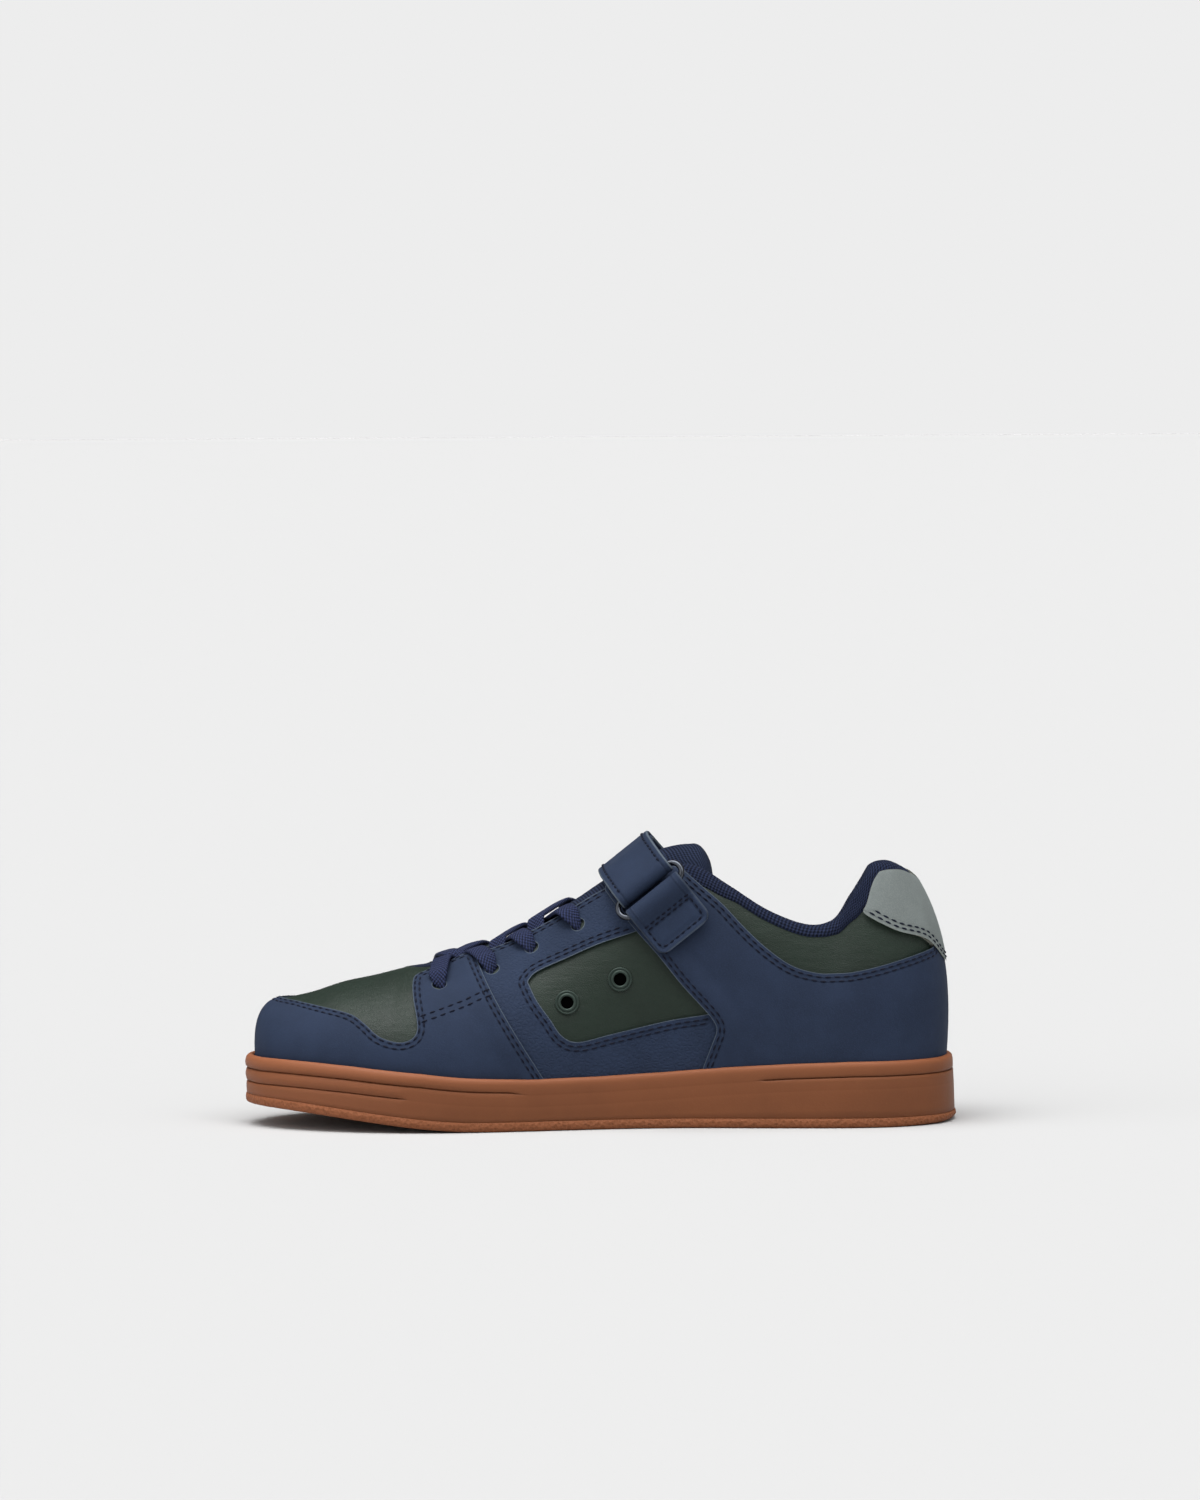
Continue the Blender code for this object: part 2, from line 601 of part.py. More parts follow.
def build_outsole(material):
    """The cupsole: a walled rubber tray, with ribs round toe and heel and grooves across its tread."""
    end_toe, end_lower, start_heel = (side_x(share) for share in GROOVE_ENDS)

    def groove(x, lower):
        toe_end = end_lower if lower else end_toe
        front = min(max((toe_end - x) / GROOVE_FADE, 0.0), 1.0)
        back = 0.0 if lower else min(max((x - start_heel) / GROOVE_FADE, 0.0), 1.0)
        return GROOVE_DEPTH * max(front, back)

    columns = []
    for column in range(COLUMN_COUNT):
        line, out = OUTLINE[column], OUTWARD[column]
        x = line[0]
        bottom, top = ground_rise(x), sole_top(x)
        heel_share = max(0.0, 1 - (LENGTH / 2 - x) / (BEVEL_REACH * LENGTH))
        low_edge = bottom + HEEL_BEVEL * heel_share
        side = [
            (-SOLE_LIP, sole_top(x - out[0] * SOLE_LIP) - CUP_DEPTH),
            (-SOLE_LIP, top - SIDE_ROUND),
            (-0.5 * SOLE_LIP, top),
            (-SIDE_DIP, top - SIDE_ROUND),
            (0.0, top - UPPER_GROOVE * 0.45),
            (-SIDE_DIP, top - UPPER_GROOVE + SIDE_ROUND),
            (-SIDE_DIP - groove(x, False), top - UPPER_GROOVE),
            (-SIDE_DIP, top - UPPER_GROOVE - SIDE_ROUND),
            (-SIDE_DIP, top - LOWER_GROOVE + SIDE_ROUND),
            (-SIDE_DIP - groove(x, True), top - LOWER_GROOVE),
            (-SIDE_DIP, top - LOWER_GROOVE - SIDE_ROUND),
            (-TREAD_STEP, bottom + TREAD_LAYER + TREAD_STEP),
            (0.0, bottom + TREAD_LAYER),
            (0.0, low_edge + EDGE_ROUND),
            (-EDGE_ROUND, low_edge),
        ]
        columns.append([(line[0] + out[0] * s, line[1] + out[1] * s, z) for s, z in side])
    grid = np.array(columns)
    columns_count, rows = grid.shape[:2]
    faces = []
    for column in range(columns_count):
        after = (column + 1) % columns_count
        for row in range(rows - 1):
            faces.append((column * rows + row, column * rows + row + 1, after * rows + row + 1, after * rows + row))
    points = list(map(tuple, grid.reshape(-1, 3)))

    def close_floor(row, height, insets, flip):
        """Fills a floor from its edge in to the middle line, with one ring for each inset."""
        rings = [[column * rows + row for column in range(columns_count)]]
        edge = grid[:, row]
        for inset in insets:
            ring = []
            for column in range(columns_count):
                x, y = edge[column, :2] - OUTWARD[column] * inset
                ring.append(len(points))
                points.append((x, y, height(x)))
            rings.append(ring)
        spine = []
        for column in range(HALF_COUNT + 1):
            ends = [edge[end, :2] - OUTWARD[end] * insets[-1] for end in (column, twin(column))]
            pair = (ends[0] + ends[1]) / 2
            if column in (0, HALF_COUNT):
                spine.append(rings[-1][column])
                continue
            spine.append(len(points))
            points.append((pair[0], pair[1], height(pair[0])))
        for before, ring in zip(rings, rings[1:]):
            for column in range(columns_count):
                after = (column + 1) % columns_count
                faces.append(order((before[column], ring[column], ring[after], before[after]), flip))
        for column in range(HALF_COUNT):
            inner = rings[-1]
            faces.append(order((inner[column], spine[column], spine[column + 1], inner[column + 1]), flip))
            far, near = inner[twin(column)], inner[twin(column + 1)]
            faces.append(order((near, spine[column + 1], spine[column], far), flip))

    def order(face, flip):
        return face[::-1] if flip else face

    close_floor(0, lambda x: sole_top(x) - CUP_DEPTH, [FLOOR_STEP], True)
    close_floor(rows - 1, ground_rise, [TREAD_EDGE], False)
    points, faces = tidy_faces(points, faces)
    sole = make_object("outsole", points, faces, material)
    for k, x in enumerate(np.arange(side_x(SIPE_ENDS[1]), side_x(SIPE_ENDS[0]), SIPE_PITCH)):
        share = (LENGTH / 2 - x) / LENGTH
        if ARCH_ENDS[0] < share < ARCH_ENDS[1]:
            continue
        near = np.abs(OUTLINE[:, 0] - x)
        medial = OUTLINE[:HALF_COUNT][np.argmin(near[:HALF_COUNT])][1]
        lateral = OUTLINE[HALF_COUNT:][np.argmin(near[HALF_COUNT:])][1]
        outline = [
            (x - SIPE_WIDTH / 2, ground_rise(x) - TREAD_LAYER),
            (x + SIPE_WIDTH / 2, ground_rise(x) - TREAD_LAYER),
            (x + SIPE_WIDTH / 2, ground_rise(x) + SIPE_DEPTH),
            (x - SIPE_WIDTH / 2, ground_rise(x) + SIPE_DEPTH),
        ]
        boolean(sole, prism(f"sipe_{k}", outline, medial + TREAD_RIM, lateral - TREAD_RIM), "DIFFERENCE")
    return sole


def build_insole(material):
    """The footbed: a cushion sheet on the cup's floor, dished up at its edge."""
    points, faces = [], []
    inset = UPPER_INSET + WALL + 2 * GAP
    rings = []
    for shrink, lift in ((0.0, INSOLE_DISH), (INSOLE_EDGE, 0.0)):
        for top in (0, 1):
            ring = []
            for column in range(COLUMN_COUNT):
                x, y = OUTLINE[column] - OUTWARD[column] * (inset + shrink)
                floor = sole_top(x) - CUP_DEPTH + GAP
                ring.append(len(points))
                points.append((x, y, floor + top * (INSOLE_THICKNESS + lift)))
            rings.append(ring)
    outer_low, outer_high, inner_low, inner_high = rings
    for column in range(COLUMN_COUNT):
        after = (column + 1) % COLUMN_COUNT
        faces.append((outer_low[column], outer_low[after], outer_high[after], outer_high[column]))
        faces.append((outer_high[column], outer_high[after], inner_high[after], inner_high[column]))
        faces.append((outer_low[column], inner_low[column], inner_low[after], outer_low[after]))
    for ring, flip in ((inner_low, True), (inner_high, False)):
        for column in range(HALF_COUNT):
            face = (ring[column], ring[column + 1], ring[twin(column + 1)], ring[twin(column)])
            faces.append(face[::-1] if flip else face)
    points, faces = tidy_faces(points, faces)
    return make_object("insole", points, faces, material)


def hole_bar(name, x, z, side, radius):
    """A cutter through wall and overlay, square to the form."""
    point, normal = surface_at(x, z, side)
    return rod(name, point - normal * BAR_REACH, point + normal * BAR_REACH, radius)


def build_upper(material):
    """The lined upper: one hollow wall, open underneath, at the collar and down the throat."""
    inside = FORM - FORM_NORMALS * wall_thickness()[..., None]
    points, faces = tidy_faces(*shell(FORM, inside, RIM_STEPS))
    return make_object("upper", points, faces, material)


def overlay_shell(name, material, low=GAP, high=GAP + OVERLAY):
    """A thin form all over the upper, which a panel is cut from."""
    outside = FORM + FORM_NORMALS * high
    inside = FORM + FORM_NORMALS * low
    points, faces = tidy_faces(*shell(outside, inside, 0))
    return make_object(name, points, faces, material)


def shifted(line, distance):
    """A side-view line moved sideways by distance, to leave a seam gap."""
    line = np.array(line)
    along = np.gradient(line, axis=0)
    across = unit(np.stack([-along[:, 1], along[:, 0]], 1))
    return line + across * distance


def build_overlays(materials):
    """Toe guard, front eyestays, side panels, heel quarter and heel tab, cut from the form."""
    below, above, beyond, side = -10 * MM, UPPER_HEIGHT * 2, LENGTH, BALL_WIDTH
    guard_top = rounded(side_points(GUARD_TOP))
    guard_rear = rounded(side_points(GUARD_REAR))
    foot = np.array(side_points(EYESTAY_FOOT))
    front = rounded(side_points(QUARTER_FRONT))
    quarter_top = rounded(side_points(QUARTER_TOP))
    tab = rounded(side_points(TAB_EDGE))
    window = np.array(side_points(WINDOW))
    half = SEAM_GAP / 2
    guard_end = shifted(guard_rear, -half)
    overlays = {}

    low_foot = [p for p in guard_top if p[1] < foot[0][1] and p[0] > side_x(0.80)]
    start = [p for p in guard_top if p[0] <= side_x(0.80)]
    rear_low = [p for p in guard_end if p[1] < foot[-1][1]]
    guard = [(-beyond, guard_top[0][1]), *start, *low_foot, *shifted(foot[1:], -half), *rear_low]
    guard += [(rear_low[-1][0], below), (-beyond, below)]
    overlays["toe_guard"] = ([guard], -side, side)

    rear_high = [p for p in guard_end if p[1] > foot[-1][1]]
    patch_front = [p for p in guard_top if p[1] > foot[0][1] and p[0] > side_x(0.80)]
    stay = [*shifted(foot[1:], half), *rear_high[::-1], (rear_high[0][0], above), (patch_front[-1][0], above)]
    stay += patch_front[::-1]
    overlays["eyestay_front"] = ([stay], None, None)

    panel_left = shifted(guard_rear, half)
    panel_right = shifted(front, -half)
    panel = [(panel_left[0][0], above), *panel_left, (panel_left[-1][0], below), (panel_right[-1][0], below)]
    panel += [*panel_right[::-1], (panel_right[0][0], above)]
    overlays["side_panel"] = ([panel, window], None, None)

    quarter_front = shifted(front, half)
    tab_low = [p for p in shifted(tab, -half) if p[1] < quarter_top[-2][1] + 1 * MM]
    quarter = [(quarter_front[0][0], above), *quarter_front, (quarter_front[-1][0], below), (beyond, below)]
    quarter += [(beyond, tab_low[-1][1]), *tab_low[::-1]]
    quarter += [*[p for p in quarter_top[::-1] if p[0] < tab_low[0][0] - 1 * MM], (quarter_top[0][0], above)]
    overlays["heel_quarter"] = ([quarter], -side, side)

    tab_front = shifted(tab, half)
    heel_tab = [(tab_front[0][0], above), *tab_front, (beyond, tab_front[-1][1]), (beyond, above)]
    overlays["heel_tab"] = ([heel_tab], -side, side)

    for name, (outlines, low, high) in overlays.items():
        spans = {"": (low, high)}
        if low is None:
            spans = {"_medial": (-side, middle_cut(-1)), "_lateral": (middle_cut(1), side)}
        for ending, (near, far) in spans.items():
            piece = overlay_shell(name + ending, materials[name])
            boolean(piece, prism(name + ending + "_cutter", outlines[0], near, far), "INTERSECT")
            if len(outlines) > 1:
                boolean(piece, prism(name + ending + "_window", outlines[1], near, far), "DIFFERENCE")


def middle_cut(sign):
    """Y of the plane that parts the medial pieces from the lateral ones."""
    return OUTLINE[0][1] + sign * 0.2 * MM


def cut_holes(pieces):
    """Lace holes through wall and eyestays on both sides, and the vent holes on the medial side."""
    for side, ending in ((-1, "medial"), (1, "lateral")):
        for k, (share_x, share_z) in enumerate(LACE_HOLES):
            x = side_x(share_x)
            bar = hole_bar(f"lace_bar_{ending}_{k}", x, side_z(x, share_z), side, LACE_HOLE)
            stay = "eyestay_front_" if k == 0 else "side_panel_"
            for name in ("upper", stay + ending):
                boolean(pieces[name], bar, "DIFFERENCE")
    for k, (share_x, share_z) in enumerate(VENTS):
        x = side_x(share_x)
        bar = hole_bar(f"vent_bar_{k}", x, side_z(x, share_z), -1, VENT_HOLE + EYELET_WALL + GAP)
        boolean(pieces["upper"], bar, "DIFFERENCE")


def build_vents(material):
    """Two vent eyelets: a tube through the wall with a rolled flange outside."""
    for k, (share_x, share_z) in enumerate(VENTS):
        x = side_x(share_x)
        point, normal = surface_at(x, side_z(x, share_z), -1)
        length = WALL + GAP + VENT_LIP
        start = point - normal * WALL
        tube = VENT_HOLE + EYELET_WALL
        seat = (WALL + GAP) / length
        profile = [
            (0.0, VENT_HOLE), (0.0, tube), (seat, tube), (seat, VENT_FLANGE),
            (1 - 0.3 * (1 - seat), VENT_FLANGE), (1.0, VENT_FLANGE - EYELET_ROUND),
            (1.0, VENT_HOLE + EYELET_WALL / 2),
        ]
        shape = turned(profile, start, start + normal * length, EYELET_SIDES, closed_profile=True)
        make_object(f"vent_eyelet_{k + 1}", *shape, material)


def tongue_sections():
    """The tongue's outer face as a grid [section][point], under the eyestays and domed between them."""
    first, last = column_of(TONGUE_FIRST), column_of(TONGUE_LAST)
    depth = WALL + TONGUE_GAP
    sections = []
    for column in range(first, last - 1, -1):
        tuck = TONGUE_TUCK_LOW + (TONGUE_TUCK_TOP - TONGUE_TUCK_LOW) * (first - column) / (first - last)
        medial = [form_point(column, WALL_STEPS - tuck * share, -depth) for share in (1.0, 0.5, 0.0)]
        lateral = [form_point(twin(column), WALL_STEPS - tuck * share, -depth) for share in (1.0, 0.5, 0.0)]
        reach = TONGUE_DOME * np.linalg.norm(medial[-1] - lateral[-1])
        pulls = [half[-1] + unit(half[-1] - half[-2]) * reach for half in (medial, lateral)]
        dome = [cubic(medial[-1], *pulls, lateral[-1], t) for t in (0.2, 0.4, 0.6, 0.8)]
        sections.append(medial + dome + lateral[::-1])
    here = np.array(sections[-1])
    middle = here[:, 1].mean()
    for length, angle, narrow, flat in TONGUE_RUN:
        turn = math.radians(angle)
        here = here + LENGTH * length * np.array([math.cos(turn), 0.0, math.sin(turn)])
        here[:, 1] = middle + (here[:, 1] - middle) * narrow
        here[:, 2] += (here[:, 2].max() - here[:, 2]) * flat
        sections.append(here)
    return np.array(sections)


def form_point(column, step, offset):
    """A point of the form between two of its rows, moved along its normal by offset."""
    low = min(int(step), WALL_STEPS - 1)
    share = step - low
    point = FORM[column, low] * (1 - share) + FORM[column, low + 1] * share
    normal = unit(FORM_NORMALS[column, low] * (1 - share) + FORM_NORMALS[column, low + 1] * share)
    return point + normal * offset


def cubic(start, pull_start, pull_end, end, t):
    """A point of a cubic Bezier curve."""
    return (1 - t) ** 3 * start + 3 * (1 - t) ** 2 * t * pull_start + 3 * (1 - t) * t**2 * pull_end + t**3 * end


def slab(name, grid, thickness, material):
    """A closed sheet under a grid of points, thinner along its two sides."""
    normal = unit(np.cross(np.gradient(grid, axis=0), np.gradient(grid, axis=1)))
    if normal[..., 2].mean() < 0:
        normal = -normal
    rows, columns = grid.shape[:2]
    taper = np.ones(columns)
    taper[[0, -1]] = 0.45
    under = grid - normal * (thickness * taper)[None, :, None]
    points = np.concatenate([grid.reshape(-1, 3), under.reshape(-1, 3)])
    total = rows * columns
    faces = []
    for row in range(rows - 1):
        for column in range(columns - 1):
            a = row * columns + column
            b, c, d = a + 1, a + columns + 1, a + columns
            faces += [(a, b, c, d), (total + a, total + d, total + c, total + b)]
    edge = [(row, 0) for row in range(rows)] + [(rows - 1, column) for column in range(1, columns)]
    edge += [(row, columns - 1) for row in range(rows - 2, -1, -1)]
    edge += [(0, column) for column in range(columns - 2, 0, -1)]
    ring = [row * columns + column for row, column in edge]
    faces += [(a, b, total + b, total + a) for a, b in zip(ring, ring[1:] + ring[:1])]
    return make_object(name, points, faces, material)


# Bands: strap and laces lie on the hull of what they are pulled over

class Course:
    """The upright plane that a band runs in: where it starts, and its run, width and up directions."""

    def __init__(self, origin, run, wide, up):
        self.origin, self.run, self.wide, self.up = (np.array(part, float) for part in (origin, run, wide, up))

    def flat(self, points):
        """Coordinates along run, wide and up."""
        local = points - self.origin
        return np.stack([local @ self.run, local @ self.wide, local @ self.up], 1)

    def tight_line(self, cloud, width, start=None, end=None):
        """The (run, up) line of a tight band over the points that its width covers."""
        flat = self.flat(cloud)
        near = flat[np.abs(flat[:, 1]) < width / 2 + BAND_MARGIN][:, [0, 2]]
        if start is not None:
            near = near[(near[:, 0] > start - BAND_MARGIN) & (near[:, 0] < end + BAND_MARGIN)]
            near[:, 0] = np.clip(near[:, 0], start, end)
            for place in (start, end):
                top = near[np.abs(near[:, 0] - place) < BAND_MARGIN][:, 1].max()
                near = np.vstack([near[near[:, 0] != place], [place, top]])
        return upper_hull(near)

    def place(self, line):
        """A (run, up) line in space."""
        return self.origin + np.outer(line[:, 0], self.run) + np.outer(line[:, 1], self.up)


def upper_hull(points):
    """The upper convex hull of 2-D points, from left to right."""
    hull = []
    for point in sorted(map(tuple, points)):
        while len(hull) > 1:
            (ax, ay), (bx, by) = hull[-2], hull[-1]
            if (bx - ax) * (point[1] - ay) - (by - ay) * (point[0] - ax) < 0:
                break
            hull.pop()
        hull.append(point)
    return np.array(hull)


def fine_cloud(grid, fine=8):
    """A grid's points with more between them, for laying bands on it."""
    clouds = []
    for a in np.arange(fine) / fine:
        near = grid[:-1] * (1 - a) + grid[1:] * a
        clouds += [(near[:, :-1] * (1 - b) + near[:, 1:] * b).reshape(-1, 3) for b in np.arange(fine) / fine]
    return np.concatenate([*clouds, grid[:, -1]])


def upper_cloud():
    """Points all over the overlays' outer face and along the upper's rolled edge."""
    outside = FORM + FORM_NORMALS * (GAP + OVERLAY)
    edge = rim_line()
    return np.concatenate([fine_cloud(np.concatenate([outside, outside[:1]])), edge])


def rim_line():
    """The furthest points of the rolled edge round collar and throat."""
    inside = FORM[:, -1] - FORM_NORMALS[:, -1] * wall_thickness()[:, -1:]
    middle = (FORM[:, -1] + inside) / 2
    radius = np.linalg.norm(FORM[:, -1] - inside, axis=1, keepdims=True) / 2
    edge = middle + unit(FORM[:, -1] - FORM[:, -2]) * radius
    last = column_of("vamp_point")
    return edge[[column for column in range(COLUMN_COUNT) if min(column, twin(column)) <= last]]


def resample(line, step):
    """Points at equal steps along a line."""
    place = np.concatenate([[0.0], np.cumsum(np.linalg.norm(np.diff(line, axis=0), axis=1))])
    wanted = np.linspace(0.0, place[-1], max(2, round(place[-1] / step) + 1))
    return np.stack([np.interp(wanted, place, line[:, k]) for k in range(line.shape[1])], 1)


def left_of(line):
    """Unit vectors to the left of a 2-D line."""
    along = np.gradient(line, axis=0)
    return unit(np.stack([-along[:, 1], along[:, 0]], 1))


def ribbon(name, course, line, width, thickness, material):
    """A flat band of even thickness about its centre line in the course's plane."""
    left = left_of(line)
    half = width / 2
    shape = [(-half, -0.5), (half, -0.5), (half, 0.5), (-half, 0.5)]
    points = []
    for across, up in shape:
        points.append(course.place(line + left * thickness * up) + course.wide * across)
    points = np.stack(points, 1)
    rows, count = points.shape[:2]
    faces = []
    for k in range(rows - 1):
        for c in range(count):
            a, b = k * count + c, k * count + (c + 1) % count
            faces.append((a, b, b + count, a + count))
    faces += [tuple(range(count - 1, -1, -1)), tuple((rows - 1) * count + c for c in range(count))]
    return make_object(name, points.reshape(-1, 3), faces, material)


def fold_round(centre, inner, tip, radius, steps=4):
    """A half turn round centre, from its inner side past tip to its outer side."""
    turns = math.pi * np.arange(steps + 1) / steps
    return centre + radius * (np.outer(np.cos(turns), inner) + np.outer(np.sin(turns), tip))


def offset_between(line, normals, near, far, offsets):
    """The part of a line between two places along it, pushed out by the (place, offset) rows of offsets."""
    place = np.concatenate([[0.0], np.cumsum(np.linalg.norm(np.diff(line, axis=0), axis=1))])
    wanted = np.linspace(near, far, max(2, round(abs(far - near) / BAND_STEP) + 1))
    out = np.interp(wanted, *zip(*sorted(offsets)))
    spot = np.stack([np.interp(wanted, place, line[:, k]) for k in range(2)], 1)
    push = unit(np.stack([np.interp(wanted, place, normals[:, k]) for k in range(2)], 1))
    return spot + push * out[:, None]


def at_drop(line, drop, side):
    """Place along a line where it has come down by drop from its crest, on its left (-1) or right (1) side."""
    place = np.concatenate([[0.0], np.cumsum(np.linalg.norm(np.diff(line, axis=0), axis=1))])
    crest = int(np.argmax(line[:, 1]))
    part = slice(crest, None) if side > 0 else slice(crest, None, -1)
    heights, places = line[part, 1], place[part]
    return float(np.interp(line[crest, 1] - drop, heights[::-1], places[::-1]))


def build_strap(leather, wire, cloud):
    """Strap, ring and ring patch, on the line of a tight strap over tongue and eyestays."""
    x = side_x(STRAP_MIDDLE[0])
    origin = [x, OUTLINE[0][1], side_z(x, STRAP_MIDDLE[1])]
    slope = [math.cos(STRAP_ANGLE), 0.0, math.sin(STRAP_ANGLE)]
    course = Course(origin, [0, 1, 0], slope, [-math.sin(STRAP_ANGLE), 0.0, math.cos(STRAP_ANGLE)])
    hull = course.tight_line(cloud, STRAP_WIDTH)
    line = resample(hull, BAND_STEP)
    normals = left_of(line)

    low = BAND_GAP + STRAP_LAYER / 2
    high = low + GAP + STRAP_LAYER
    fold = RING_WIRE / 2 + GAP + STRAP_LAYER / 2
    mouth = at_drop(line, RING_DROP, -1)
    upper_bar = mouth + fold + STRAP_LAYER / 2 + RING_MOUTH / 2
    lower_bar = mouth - fold - STRAP_LAYER / 2 - RING_MOUTH / 2
    anchor = at_drop(line, STRAP_ANCHOR_DROP, 1)
    tip = at_drop(line, STRAP_TIP_DROP, 1)
    seam = at_drop(line, PATCH_SEAM_DROP, -1)
    end = at_drop(line, PATCH_END_DROP, -1)

    def spot(where, out):
        return offset_between(line, normals, where, where + 1e-6, [(0.0, out), (1.0, out)])[0]

    def frame_at(where):
        out = unit(spot(where, 1.0) - spot(where, 0.0))
        return out, np.array([out[1], -out[0]])

    out, along = frame_at(upper_bar)
    upper_centre = spot(upper_bar, low + fold)
    under = offset_between(line, normals, anchor, upper_bar, [(0.0, low), (1.0, low)])
    turn = fold_round(upper_centre, -out, -along, fold)
    crown = low + 2 * fold
    rises = [(0.0, crown), (upper_bar + fold, crown), (upper_bar + STRAP_EASE, high), (1.0, high)]
    over = offset_between(line, normals, upper_bar, tip, rises)
    ribbon("strap", course, np.concatenate([under[:-1], turn, over[1:]]), STRAP_WIDTH, STRAP_LAYER, leather)

    out, along = frame_at(lower_bar)
    lower_centre = spot(lower_bar, low + fold)
    under = offset_between(line, normals, seam + PATCH_TUCK, lower_bar, [(0.0, low), (1.0, low)])
    turn = fold_round(lower_centre, -out, along, fold)
    falls = [(0.0, low), (seam, low), (lower_bar - fold, crown), (1.0, crown)]
    over = offset_between(line, normals, lower_bar, end, falls)
    ribbon("ring_patch", course, np.concatenate([under[:-1], turn, over[1:]]), PATCH_WIDTH, STRAP_LAYER, leather)

    centres = course.place(np.array([lower_centre, upper_centre]))
    build_ring(wire, centres, course.wide)


def build_ring(wire, centres, wide):
    """The flat wire ring: two long bars at centres, joined round the band's edges."""
    rise = centres[1] - centres[0]
    span = np.linalg.norm(rise)
    rise = rise / span
    half = STRAP_WIDTH / 2 + RING_PLAY + RING_WIRE / 2
    bend = RING_BEND
    corners = [(half, 0.0, -90), (half, span, 0), (-half, span, 90), (-half, 0.0, 180)]
    path, normals = [], []
    for across, up, start in corners:
        middle = np.array([across - math.copysign(bend, across), bend if up == 0.0 else span - bend])
        for k in range(RING_BEND_STEPS + 1):
            turn = math.radians(start + 90 * k / RING_BEND_STEPS)
            way = np.array([math.cos(turn), math.sin(turn)])
            spot = middle + way * bend
            path.append(centres[0] + wide * spot[0] + rise * spot[1])
            normals.append(wide * way[0] + rise * way[1])
    up = np.cross(wide, rise)
    sides = RING_SIDES
    points, faces = [], []
    for spot, out in zip(path, normals):
        for k in range(sides):
            turn = 2 * math.pi * k / sides
            points.append(spot + (out * math.cos(turn) + up * math.sin(turn)) * RING_WIRE / 2)
    rings = len(path)
    for ring in range(rings):
        for k in range(sides):
            after, turn = (ring + 1) % rings, (k + 1) % sides
            faces.append((ring * sides + k, ring * sides + turn, after * sides + turn, after * sides + k))
    make_object("strap_ring", points, faces, wire)


def build_laces(material, cloud):
    """One joined crossing between each two pairs of lace holes, over eyestays and tongue."""
    outer = GAP + OVERLAY
    for k in range(len(LACE_HOLES) - 1):
        front, back = LACE_HOLES[k], LACE_HOLES[k + 1]
        strands = []
        for side in (-1, 1):
            x, far_x = side_x(back[0]), side_x(front[0])
            start, normal = surface_at(x, side_z(x, back[1]), side)
            end, far_normal = surface_at(far_x, side_z(far_x, front[1]), -side)
            start = start + normal * outer
            end = end + far_normal * outer
            run = unit(np.array([end[0] - start[0], end[1] - start[1], 0.0]))
            course = Course(start, run, [-run[1], run[0], 0.0], [0.0, 0.0, 1.0])
            edge = edge_crossing(course, -side)
            hull = course.tight_line(cloud, LACE_WIDTH, 0.0, edge - LACE_SHY)
            line = resample(hull, BAND_STEP)
            lift = BAND_GAP + LACE_THICKNESS * (0.5 if side < 0 else 0.95)
            line = line + left_of(line) * lift
            name = f"lace_cross_{k + 1}" if side < 0 else f"lace_over_{k + 1}"
            strands.append(ribbon(name, course, line, LACE_WIDTH, LACE_THICKNESS, material))
        boolean(strands[0], as_cutter(strands[1]), "UNION")


def edge_crossing(course, side):
    """How far along a course the eyestay's rolled edge on one side comes."""
    rim = rim_line()
    half = column_of("vamp_point") + 1
    edge = resample(rim[:half] if side < 0 else rim[half:], MM)
    flat = course.flat(edge)
    near = np.abs(flat[:, 1]) <= max(LACE_WIDTH, np.abs(flat[:, 1]).min())
    return flat[near, 0].min()


def main():
    """Builds every piece."""
    remove_everything()
    gum = make_material("gum_rubber", (0.235, 0.088, 0.046), 0.55)
    navy = make_material("navy_nubuck", (0.030, 0.040, 0.072), 0.85)
    green = make_material("green_leather", (0.040, 0.062, 0.048), 0.5)
    grey = make_material("grey_nubuck", (0.208, 0.240, 0.236), 0.85)
    knit = make_material("navy_knit", (0.014, 0.020, 0.050), 0.9)
    lace = make_material("navy_lace", (0.022, 0.032, 0.085), 0.8)
    enamel = make_material("dark_enamel", (0.040, 0.060, 0.055), 0.35, 0.6)
    build_outsole(gum)
    build_insole(knit)
    build_upper(green)
    build_overlays({
        "toe_guard": navy, "eyestay_front": navy, "side_panel": navy, "heel_quarter": navy, "heel_tab": grey,
    })
    cut_holes(bpy.data.objects)
    build_vents(enamel)
    tongue = tongue_sections()
    slab("tongue", tongue, TONGUE_THICKNESS, knit)
    cloud = np.concatenate([upper_cloud(), fine_cloud(tongue)])
    build_strap(navy, enamel, cloud)
    build_laces(lace, cloud)


main()
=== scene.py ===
"""Looks of a child's skateboarding shoe, right foot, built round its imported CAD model.

Metres, +Z up. The toe points to -X and the heel to +X, and the inner (medial) side of the foot faces -Y.
Every leather panel, the knit collar and the leather base follow one form, worked out from SECTIONS as the
solids are. Panels are cut from that form along their seam lines, and get their thickness, rounded cut edges,
stitch rows and threads from the distance to those lines.
"""

import logging
import math
from dataclasses import dataclass, field
from enum import Enum
from typing import Callable, Dict, Iterable, List, NamedTuple, Optional, Sequence, Tuple, Union

import bpy
import numpy as np
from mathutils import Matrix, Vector
from mathutils.bvhtree import BVHTree
from mathutils.kdtree import KDTree

